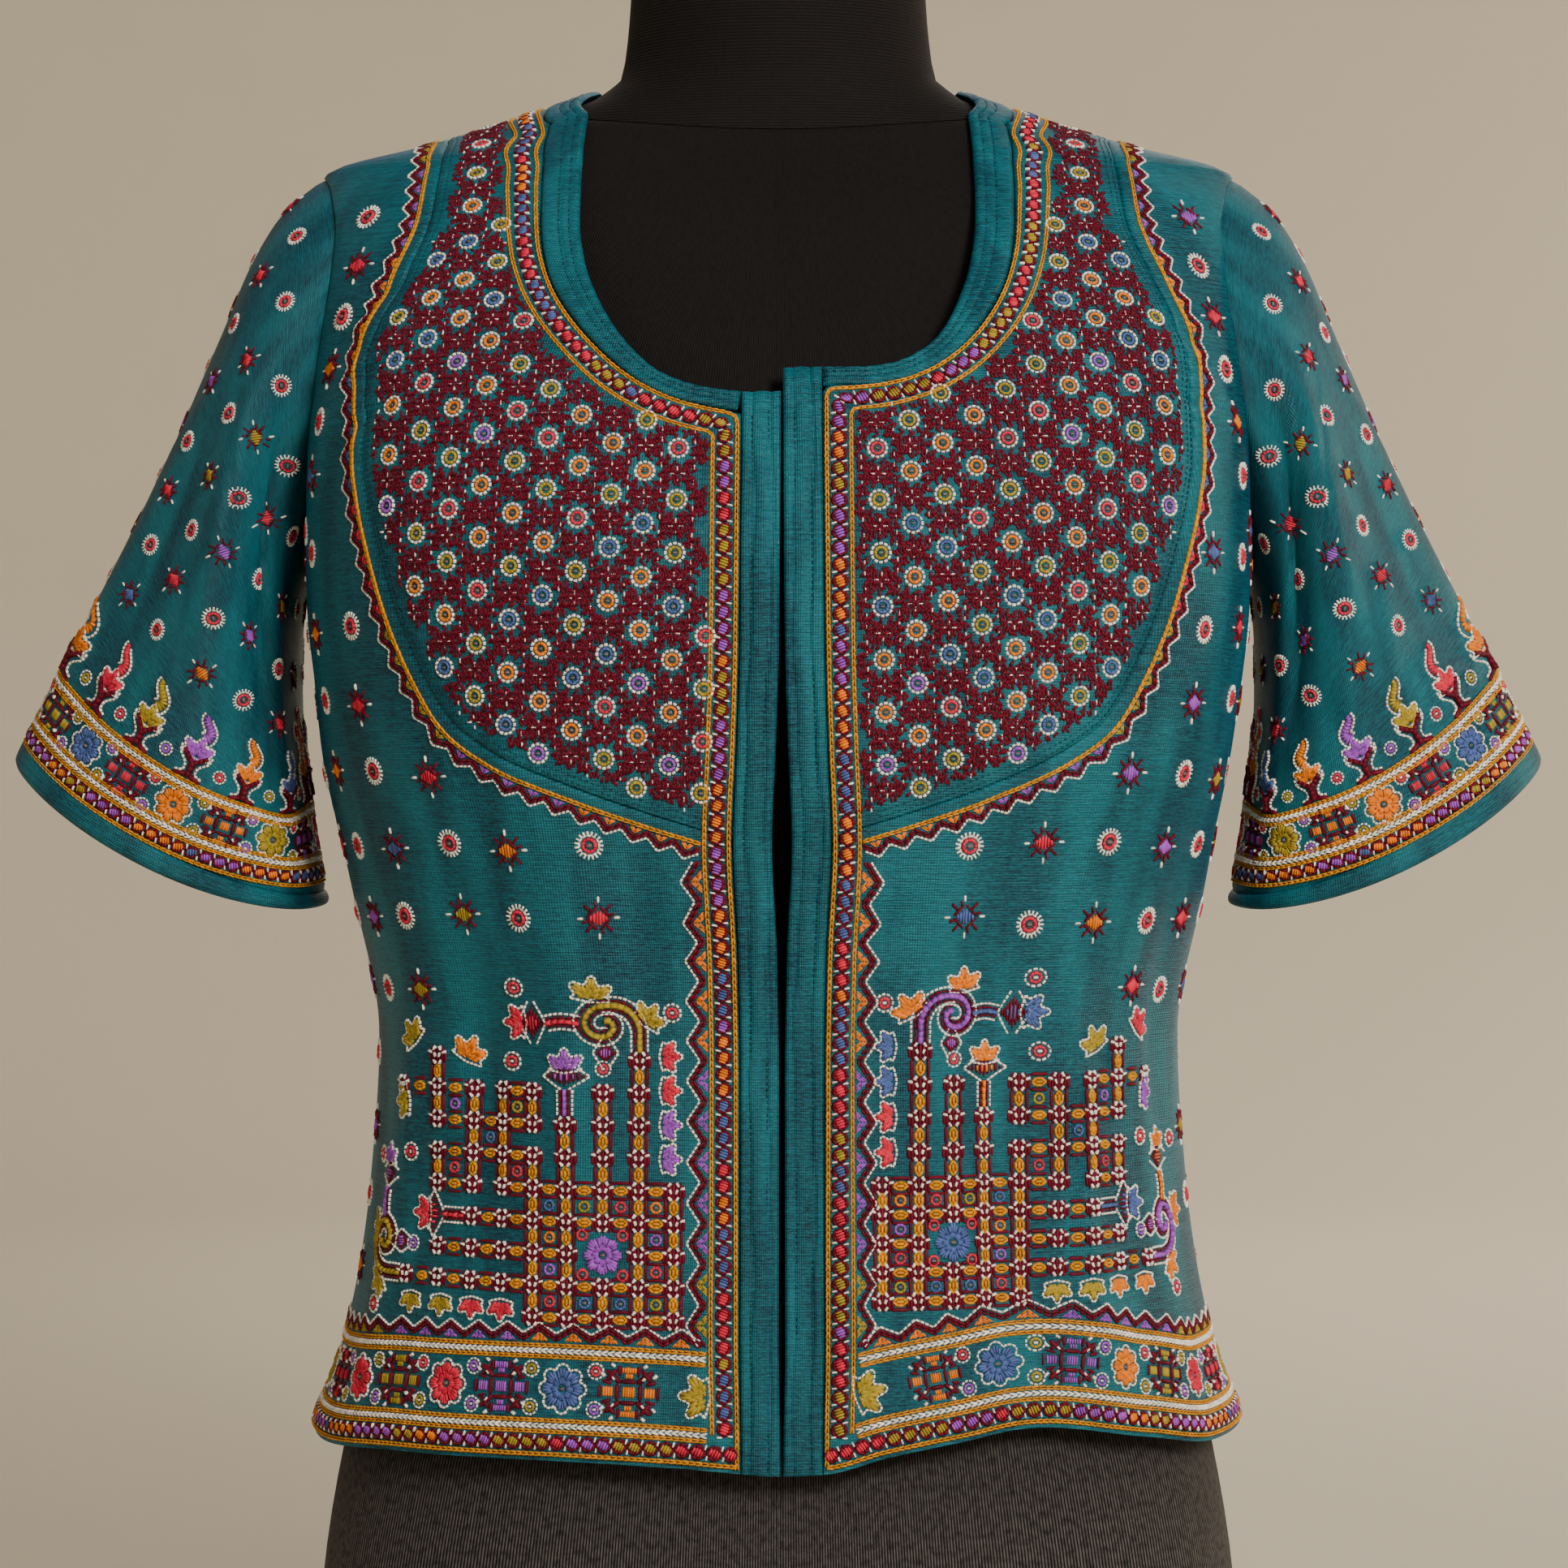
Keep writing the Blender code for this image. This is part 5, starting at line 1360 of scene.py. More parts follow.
    def sleeve(self, cloth: SleeveCloth, word: str) -> None:
        """A set-in sleeve and the plain binding at its end."""
        line = cloth.point(np.full(60, math.pi / 2), np.linspace(0, 1, 60))
        length = float(np.linalg.norm(np.diff(line, axis=0), axis=1).sum())
        start = 1 - CUFF_WIDTH / length
        turn = np.linspace(0, 2 * math.pi, 88, endpoint=False)
        for name, along, wall, roll, slot in (
            ("sleeve", np.linspace(0.0, start, 55), PANEL_WALL, 0.0012, "teal_silk"),
            ("cuff", np.linspace(start, 1.0, 9), BAND_WALL, 0.004, "teal_silk_bands"),
        ):
            u, v = np.meshgrid(turn, along)
            piece = ClothPiece(f"silk_{name}_{word}", cloth, u, v, wall, round_trip=True, roll=roll)
            piece.build(self.silk, slot, f"{name}_{word}")


@dataclass
class DressForm:
    """The padded dress form: a torso and a neck in ribbed jersey, parted by a sunk seam."""

    sides: int = 160
    seam_gap: float = 0.0004
    seam_depth: float = 0.0009
    seam_angles_deg: tuple = (0.0, 33.0, -33.0, 90.0, -90.0, 147.0, -147.0, 180.0)

    def seam_height(self, theta: Array) -> Array:
        """Height of the neck seam: low at the front, high at the back."""
        return 0.736 - 0.02 * np.cos(theta) + 0.003 * np.cos(2 * theta)

    def sunk(self, theta: Array, height: Array) -> Array:
        """How far the upright seams are sunk: a narrow groove at each seam's angle."""
        total = np.zeros(np.broadcast(theta, height).shape)
        for angle in self.seam_angles_deg:
            turn = (theta - math.radians(angle) + math.pi) % (2 * math.pi) - math.pi
            total = total - self.seam_depth * np.exp(-((turn * BODY_RADIUS / 0.0016) ** 2))
        return total * ease(height / 0.004) * ease((0.735 - height) / 0.02)

    def stack(self, name: str, heights: Array, theta: Array, finish: RibbedJersey) -> None:
        """Builds a closed solid from rings of points and stands it for its node."""
        points = wrapped(FORM_SECTIONS, theta, heights, self.sunk(theta, heights))
        rings, sides = points.shape[:2]
        index = np.arange(rings * sides).reshape(rings, sides)
        index = np.concatenate([index, index[:, :1]], axis=1)
        walls = np.stack(
            [index[:-1, :-1], index[:-1, 1:], index[1:, 1:], index[1:, :-1]], axis=-1
        ).reshape(-1, 4)
        last = rings * sides
        low = np.stack([index[0, 1:], index[0, :-1], np.full(sides, last)], axis=-1)
        high = np.stack([index[-1, :-1], index[-1, 1:], np.full(sides, last + 1)], axis=-1)
        triangles = np.concatenate([walls[:, [0, 1, 2]], walls[:, [0, 2, 3]], low, high])
        all_points = np.concatenate(
            [points.reshape(-1, 3), [points[0].mean(axis=0)], [points[-1].mean(axis=0)]]
        )
        piece = add_mesh(f"jersey_{name}", all_points, triangles, finish.material(), 50.0)
        layer = piece.data.uv_layers.new(name="cut")
        vertex = np.empty(len(piece.data.loops), np.int32)
        piece.data.loops.foreach_get("vertex_index", vertex)
        flat = np.stack([theta * BODY_RADIUS, heights], axis=-1).reshape(-1, 2)
        flat = np.concatenate([flat, [[0, 0], [0, 0]]])
        uv = flat[vertex]
        corner = uv.reshape(-1, 3, 2)
        width = 2 * math.pi * BODY_RADIUS
        wraps = corner[:, :, 0].max(axis=1, keepdims=True) - corner[:, :, 0] > width / 2
        corner[:, :, 0] += np.where(wraps, width, 0)
        layer.data.foreach_set("uv", corner.reshape(-1, 2).astype(np.float32).ravel())
        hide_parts(name)
        log.info("padded %s", name)

    def build(self) -> None:
        """Builds the torso and the neck."""
        theta = np.linspace(0, 2 * math.pi, self.sides, endpoint=False)[None]
        seam = self.seam_height(theta) - self.seam_gap
        low = np.concatenate([[0.0, 0.0015, 0.004, 0.008], np.linspace(0.016, 0.665, 48)])[:, None]
        share = np.linspace(0, 1, 19)[1:, None] ** 0.85
        body = np.concatenate([np.repeat(low, self.sides, axis=1), low[-1] + (seam - low[-1]) * share])
        rows = np.repeat(theta, len(body), axis=0)
        self.stack("form_body", body, rows, RibbedJersey("black_rib_jersey_body", "X"))
        share = np.array(
            [0.0, 0.04, 0.1, 0.2, 0.3, 0.4, 0.5, 0.6, 0.7, 0.8, 0.88, 0.94, 0.965, 0.98, 0.993, 1.0]
        )
        start = self.seam_height(theta)
        neck = start + (FORM_TOP_HEIGHT - start) * share[:, None]
        rows = np.repeat(theta, len(neck), axis=0)
        self.stack("form_neck", neck, rows, RibbedJersey("black_rib_jersey_neck", "Y"))


class Motifs:
    """Charts of the embroidery's motifs, in metres, each about its own middle."""

    @staticmethod
    def ring_dot() -> Chart:
        """A dot of buttonhole stitch with white rays."""
        chart = Chart().ring(0.0024, 11, 0.0017, 0.0017, CORAL)
        chart.knot(0.0, 0.0, 0.002, GREY)
        chart.ring(0.0038, 12, 0.0018, 0.0009, WHITE)
        return chart.rays(0.0038, 0.0056, 19, 0.001, WHITE)

    @staticmethod
    def star() -> Chart:
        """A satin diamond edged in maroon, with hooked maroon and straight white stitches."""
        chart = Chart()
        level = np.linspace(-0.003, 0.003, 6)
        half = 0.0041 - np.abs(level)
        chart.add(level, -half, level, half, 0.0015, 0.0009, MAIN)
        for turn in (0, 90, 180, 270):
            c, s = math.cos(math.radians(turn)), math.sin(math.radians(turn))
            chart.add(0.005 * c, 0.005 * s, -0.005 * s, 0.005 * c, 0.0013, 0.0008, MAROON)
        chart.rays(0.0034, 0.0078, 4, 0.0013, MAROON, 48)
        chart.rays(0.004, 0.0068, 4, 0.0012, MAROON, 16)
        return chart.rays(0.0056, 0.0086, 4, 0.0012, WHITE, 2)

    @staticmethod
    def small_dot() -> Chart:
        """A small dot with a dotted white rim."""
        chart = Chart().ring(0.0015, 8, 0.0013, 0.0013, MAIN).knot(0.0, 0.0, 0.0012, WHITE)
        return chart.ring(0.0029, 11, 0.0012, 0.001, WHITE)

    @staticmethod
    def cell_dot() -> Chart:
        """A ring of coloured stitches round a grey knot."""
        return Chart().ring(0.0018, 9, 0.0015, 0.0014, MAIN).knot(0.0, 0.0, 0.0015, GREY)

    @staticmethod
    def lattice_flower() -> Chart:
        """The chest lattice's dot: dark middle, coloured ring, ring of short white stitches."""
        chart = Chart().knot(0.0, 0.0, 0.0015, GREY)
        chart.ring(0.002, 10, 0.0015, 0.0015, MAIN)
        return chart.ring(0.0035, 12, 0.0014, 0.0014, WHITE)

    @staticmethod
    def seed_cross(count: int = 4) -> Chart:
        """Short white stitches in a cross, or two of them in a line."""
        return Chart().rays(0.0011, 0.0029, count, 0.0009, WHITE, 90)

    @staticmethod
    def petal_flower(radius: float = 0.0084, rim: bool = True) -> Chart:
        """A full flower: petals filled with lengthwise stitches, and a dotted white outline."""
        chart, petals = Chart(), 8
        fan = np.linspace(-0.8, 0.8, 4)
        around = np.linspace(-1.0, 1.0, 7)
        for k in range(petals):
            turn = 2 * math.pi * k / petals
            reach = radius * (1 - 0.2 * fan**2)
            angle = turn + fan * 0.8 * math.pi / petals
            c, s = np.cos(angle), np.sin(angle)
            chart.add(0.0014 * c, 0.0014 * s, 0.58 * reach * c, 0.58 * reach * s, 0.0011, 0.0008, MAIN)
            chart.add(0.5 * reach * c, 0.5 * reach * s, reach * c, reach * s, 0.0017, 0.001, MAIN)
            if rim:
                edge = turn + around * math.pi / petals
                reach = radius + 0.0011 - 0.0024 * np.abs(around) ** 2.4
                chart.dotted(reach * np.cos(edge), reach * np.sin(edge))
        return chart.knot(0.0, 0.0, 0.0018, GREY)

    @staticmethod
    def satin_patch(width: float, height: float) -> Chart:
        """A small patch of upright satin stitches."""
        count = max(int(width / 0.0009), 2)
        level = (np.arange(count) - (count - 1) / 2) * width / count
        return Chart().add(level, -height / 2, level, height / 2, 1.25 * width / count, 0.0007, MAIN)

    # One corner of the square figure: each stitch's ends, width, height and thread.
    BLOCK_CORNER = (
        (0.0026, 0.003, 0.0094, 0.0084, 0.0026, 0.0009, MAROON),
        (0.0044, 0.0088, 0.009, 0.0036, 0.002, 0.001, MAROON),
        (0.0034, 0.0056, 0.004, 0.0104, 0.0016, 0.0008, MAROON),
        (0.0062, 0.003, 0.0106, 0.0042, 0.0016, 0.0008, MAROON),
        (0.0092, 0.0056, 0.0106, 0.007, 0.0016, 0.0011, WHITE),
        (0.0054, 0.0094, 0.0068, 0.0104, 0.0016, 0.0011, WHITE),
        (0.0052, 0.0046, 0.0062, 0.0056, 0.0016, 0.0016, WHITE),
    )

    @classmethod
    def block(cls) -> Chart:
        """A square figure: coloured patches in a cross, maroon arms between, white grains."""
        chart = Chart()
        chart.with_chart(cls.satin_patch(0.0046, 0.005))
        for sign in (-1, 1):
            chart.with_chart(cls.satin_patch(0.004, 0.0046).moved(sign * 0.008, 0.0))
            chart.with_chart(cls.satin_patch(0.0056, 0.0026).moved(0.0, sign * 0.0082))
            chart.with_chart(cls.satin_patch(0.0028, 0.0018).moved(0.0, sign * 0.006))
            chart.add(sign * 0.0044, -0.0038, sign * 0.0044, 0.0038, 0.002, 0.0009, MAROON)
            chart.add(-0.0036, sign * 0.004, 0.0036, sign * 0.004, 0.002, 0.0009, MAROON)
            chart.add(sign * 0.0112, -0.003, sign * 0.0112, 0.003, 0.0014, 0.0009, MAROON)
            for other in (-1, 1):
                for x0, z0, x1, z1, width, height, floss in cls.BLOCK_CORNER:
                    chart.add(sign * x0, other * z0, sign * x1, other * z1, width, height, floss)
        return chart

    @staticmethod
    def stem(x: Array, z: Array, half: float) -> Chart:
        """A raised band along a curve: coloured core, maroon edges, white grains outside."""
        chart = Chart().run(x, z, 0.0024, 1.5 * half, MAIN)
        for sign in (-1, 1):
            chart.run(*beside(x, z, sign * half), 0.0026, 0.0013, MAROON)
            chart.dotted(*beside(x, z, sign * (half + 0.0014)))
        return chart

    @staticmethod
    def lobed_leaf(radius: float) -> Chart:
        """A fan of satin stitches with three lobes: r = R (0.77 + 0.23 cos(2 pi a / w))."""
        chart = Chart()
        lobe, back = 0.92, 0.3 * radius
        a = np.linspace(-1.36, 1.36, 16)
        r = radius * (0.77 + 0.23 * np.cos(2 * math.pi * a / lobe))
        s, c = np.sin(a), np.cos(a)
        chart.add(0.1 * r * s, 0.1 * r * c - back, 0.6 * r * s, 0.6 * r * c - back, 0.0012, 0.0008, MAIN)
        chart.add(0.5 * r * s, 0.5 * r * c - back, r * s, r * c - back, 0.26 * radius, 0.001, MAIN)
        a = np.linspace(-1.62, 1.62, 60)
        r = radius * (0.77 + 0.23 * np.cos(2 * math.pi * a / lobe)) + 0.0009
        x = np.concatenate([[0.0], r * np.sin(a), [0.0]])
        z = np.concatenate([[-0.0016], r * np.cos(a), [-0.0016]])
        return chart.dotted(x, z - back)

    @staticmethod
    def diamond(half_wide: float, half_high: float) -> Chart:
        """A maroon diamond with a coloured heart and a dotted outline."""
        chart = Chart()
        level = np.linspace(-0.85, 0.85, 9) * half_wide
        reach = half_high * (1 - np.abs(level) / half_wide)
        chart.add(level, -reach, level, reach, 0.0015, 0.0007, MAROON)
        heart = np.linspace(-0.42, 0.42, 4) * half_wide
        reach = 0.6 * half_high * (1 - np.abs(heart) / half_wide / 0.7)
        chart.add(heart, -reach, heart, reach, 0.0012, 0.0011, MAIN)
        for sx in (-1, 1):
            for sz in (-1, 1):
                x = np.array([sx * (half_wide + 0.0012), 0.0012 * sx])
                z = np.array([0.0, sz * (half_high + 0.001)])
                chart.dotted(x, z)
        return chart

    @classmethod
    def stemmed_bud(cls) -> Chart:
        """A stem, a diamond calyx and a three-lobed bud."""
        rise = np.linspace(0.0036, 0.0136, 8)
        chart = cls.stem(np.zeros(8), rise, 0.0015)
        chart.with_chart(cls.diamond(0.008, 0.0042).moved(0.0, 0.0186))
        return chart.with_chart(cls.lobed_leaf(0.0074).moved(0.0, 0.0236))

    @classmethod
    def scroll(cls, inside: Floss, leaf: Floss) -> Chart:
        """A hooked stem that rises, curls in on itself and sends a bud outwards.

        The hook is a spiral about its own middle: its radius shrinks fast over the top, and
        then slowly. Small dots and leaves stand round it.

        Args:
            inside: the colour between the stem's maroon edges.
            leaf: the colour of its two leaves.

        Returns:
            The chart, with its bud in the colour of its place.
        """
        middle_x, middle_z = 0.013, 0.014
        turned = np.linspace(0, 455, 60)
        r = smooth(
            turned, (0, 55, 115, 205, 295, 385, 455), (0.0142, 0.0104, 0.007, 0.0066, 0.005, 0.0034, 0.0016)
        )
        angle = np.radians(205 - turned)
        x = np.concatenate([[0.0], middle_x + r * np.cos(angle)])
        z = np.concatenate([[0.0032], middle_z + r * np.sin(angle)])
        chart = cls.stem(x, z, 0.0019).recoloured(inside)
        neck = np.linspace(0.0212, 0.0325, 8)
        chart.with_chart(cls.stem(neck, 0.014 + 0.001 * np.sin((neck - 0.0212) * 280), 0.0015))
        chart.with_chart(cls.diamond(0.0046, 0.0074).moved(0.0384, 0.0142))
        chart.with_chart(cls.lobed_leaf(0.0074).moved(0.0446, 0.0142, -90))
        chart.with_chart(cls.diamond(0.0034, 0.0046).recoloured(PURPLE).moved(0.0125, 0.003))
        for leaf_x, leaf_z, turn in ((0.0165, 0.0262, 6), (-0.004, 0.0166, 36)):
            chart.with_chart(cls.lobed_leaf(0.008).recoloured(leaf).moved(leaf_x, leaf_z, turn))
        for dot_x, dot_z in ((0.0445, 0.0275), (0.0475, -0.001), (-0.0135, 0.0185)):
            chart.with_chart(cls.small_dot().recoloured(CORAL).moved(dot_x, dot_z, 0, 1.15))
        return chart

    @classmethod
    def finial(cls) -> Chart:
        """A flame-shaped bud on a forked maroon stem."""
        chart = Chart()
        chart.add(-0.0066, 0.0008, 0.0, 0.003, 0.0022, 0.0009, MAROON)
        chart.add(0.0066, 0.0008, 0.0, 0.003, 0.0022, 0.0009, MAROON)
        chart.run(np.zeros(2), np.array([0.002, 0.0085]), 0.0022, 0.003, MAROON)
        for sign in (-1, 1):
            fork_x, fork_z = np.array([0.0, sign * 0.0054]), np.array([0.0078, 0.0126])
            chart.run(fork_x, fork_z, 0.0024, 0.0026, MAROON)
            chart.run(fork_x, fork_z + 0.0016, 0.0024, 0.0013, MAIN)
            outline_x = np.array([0.006, 0.0026, 0.0026, 0.007, 0.007]) * sign
            chart.dotted(outline_x, np.array([0.0026, 0.0036, 0.0066, 0.0108, 0.0138]))
        chart.with_chart(cls.lobed_leaf(0.0078).moved(0.0, 0.014))
        t = np.linspace(0, 1, 12)
        x, z = 0.0024 * np.sin(1.7 * math.pi * t), 0.019 + 0.0118 * t
        half = 0.0024 * (1 - 0.6 * t)
        chart.add(x[:-1], z[:-1], x[1:], z[1:], 2 * half[:-1], 0.0009, MAIN)
        for sign in (-1, 1):
            chart.dotted(*beside(x, z, sign * (half + 0.001)))
        return chart

    @staticmethod
    def node_knot() -> Chart:
        """A lattice crossing: white grains on a maroon square with an uneven edge."""
        chart = Chart()
        level = np.linspace(-0.0038, 0.0038, 7)
        reach = np.array([0.003, 0.0042, 0.0034, 0.0044, 0.0033, 0.0043, 0.0031])
        chart.add(level, -reach, level, reach[::-1], 0.0018, 0.0006, MAROON)
        grains = (
            (0.0012, 0.0001, 0.3), (0.0016, 0.0027, -0.6), (0.0035, 0.0013, 1.3), (0.0014, -0.0026, 0.6)
        )
        for x, z, lean in grains:
            for sign in (-1, 1):
                s, c = 0.0009 * math.sin(lean), 0.0009 * math.cos(lean)
                chart.add(sign * (x - s), z - c, sign * (x + s), z + c, 0.0015, 0.0013, WHITE)
        return chart

    @staticmethod
    def link() -> Chart:
        """An oval link of gold chain stitch lying level between two lines of maroon."""
        chart = Chart()
        turn = np.linspace(0, 2 * math.pi, 9)
        chart.run(0.0027 * np.cos(turn), 0.0016 * np.sin(turn), 0.0023, 0.0015, GOLD)
        chart.add(-0.0019, 0.0, 0.0019, 0.0, 0.0016, 0.0011, GOLD)
        for sign in (-1, 1):
            chart.add(-0.0042, sign * 0.003, 0.0042, sign * 0.003, 0.0016, 0.0008, MAROON)
        return chart


class Borders:
    """Running borders, laid along a line between two distances."""

    @staticmethod
    def chain(work: Needlework, line: Line, start: float, stop: float, out: float) -> None:
        """A gold line of chain stitch: each link is two strands that open like a V."""
        pitch, width = 0.0025, 0.0018
        d = np.arange(start, stop - pitch, pitch)
        for sign in (-1, 1):
            inner, outer = out + sign * 0.12 * width, out + sign * 0.36 * width
            work.on_line(line, d, inner, d + 1.35 * pitch, outer, 0.00095, 0.0009, GOLD)

    @staticmethod
    def plait(work: Needlework, line: Line, start: float, stop: float, out: float, half: float) -> None:
        """A white plait of slanting stitches that meet along its middle."""
        pitch = 0.0026
        d = np.arange(start, stop - pitch, pitch)
        for sign in (-1, 1):
            work.on_line(
                line, d, out + sign * half, d + 1.3 * pitch, out - sign * 0.0001, 0.0011, 0.0011, WHITE
            )

    @classmethod
    def braid(
        cls, work: Needlework, line: Line, start: float, stop: float, out: float, half: float = 0.001
    ) -> None:
        """Gold chain, white plait and gold chain side by side."""
        cls.plait(work, line, start, stop, out, half)
        for sign in (-1, 1):
            cls.chain(work, line, start, stop, out + sign * (half + 0.0011))

    @staticmethod
    def ladder(
        work: Needlework, line: Line, start: float, stop: float, low: float, high: float, first: int = 0
    ) -> None:
        """Satin ovals edged in maroon, with short white bars between them.

        The colour changes every few ovals.
        """
        pitch = 0.006
        count = max(int((stop - start) / pitch), 1)
        d = start + (np.arange(count) + 0.5) * (stop - start) / count
        middle, half = (low + high) / 2, (high - low) / 2
        runs = [BRIGHT[(first + i // 4 * 2 + i // 11) % len(BRIGHT)] for i in range(count)]
        chart = Chart()
        level = np.linspace(-0.0016, 0.0016, 4)
        reach = 0.64 * half * np.sqrt(1 - (level / 0.0026) ** 2)
        chart.add(level, -reach, level, reach, 0.0014, 0.0011, MAIN)
        turn = np.linspace(0, 2 * math.pi, 9)
        chart.run(0.0026 * np.cos(turn), 0.78 * half * np.sin(turn), 0.0024, 0.0017, MAROON)
        chart = chart.moved(0.0, 0.0, 20.0)
        gap = pitch / 2
        chart.add(gap, -0.95 * half, gap - 0.0006, -0.2 * half, 0.001, 0.001, WHITE)
        chart.add(gap, 0.95 * half, gap + 0.0006, 0.2 * half, 0.001, 0.001, WHITE)
        work.stamp(chart, OnLine(line, d, middle), runs)

    @staticmethod
    def zigzag(
        work: Needlework, line: Line, start: float, stop: float, out: float,
        height: float = 0.0052, pitch: float = 0.01
    ) -> None:
        """A maroon zigzag, white grains outside it and coloured chevrons inside."""
        count = max(int((stop - start) / pitch), 1)
        pitch = (stop - start) / count
        d = start + (np.arange(count) + 0.5) * pitch
        hues = [BRIGHT[(i // 5 * 3) % len(BRIGHT)] for i in range(count)]
        chart = Chart()
        base = 0.28 * height
        for sign in (-1, 1):
            foot = sign * pitch / 2
            chart.run(np.array([foot, 0.0]), np.array([base, height]), 0.0026, 0.0015, MAROON)
            chart.run(
                np.array([foot, 0.0]), np.array([base - 0.0012, height - 0.0012]), 0.0026, 0.0014, MAROON
            )
            for drop in (0.0026, 0.0036, 0.0046):
                if drop < height - 0.0008:
                    share = (height - drop) / height
                    x = np.array([foot * share * 0.86, 0.0])
                    chart.run(x, np.array([0.0002, height - drop]), 0.0026, 0.001, MAIN)
            chart.dotted(np.array([foot, 0.0]), np.array([base + 0.0014, height + 0.0014]))
        work.stamp(chart, OnLine(line, d, out), hues)

    @staticmethod
    def flower_band(
        work: Needlework, line: Line, start: float, stop: float, out: float,
        hues: Sequence[Floss], scale: float = 1.0
    ) -> None:
        """Blocks and flowers in turn, with small dots between them."""
        count = max(round((stop - start) / (0.0262 * scale)), 2)
        step = (stop - start) / count
        d = start + (np.arange(count) + 0.5) * step
        blocks = (ORANGE, PURPLE, OLIVE, CORAL)
        work.stamp(Motifs.block().moved(0, 0, 0, scale), OnLine(line, d[::2], out), blocks)
        work.stamp(Motifs.petal_flower().moved(0, 0, 0, scale), OnLine(line, d[1::2], out), hues)
        between = start + np.arange(1, count) * step
        for sign, small in ((-1, (PURPLE, OLIVE)), (1, (CORAL, OLIVE, PURPLE))):
            work.stamp(Motifs.small_dot(), OnLine(line, between, out + sign * 0.0072 * scale), small)


@dataclass(frozen=True)
class Sprig:
    """A motif of the corner block, placed on the block's own lattice."""

    across: float
    up: float
    turn_deg: float
    right_hue: Floss
    left_hue: Floss
    radius: float = 0.0066


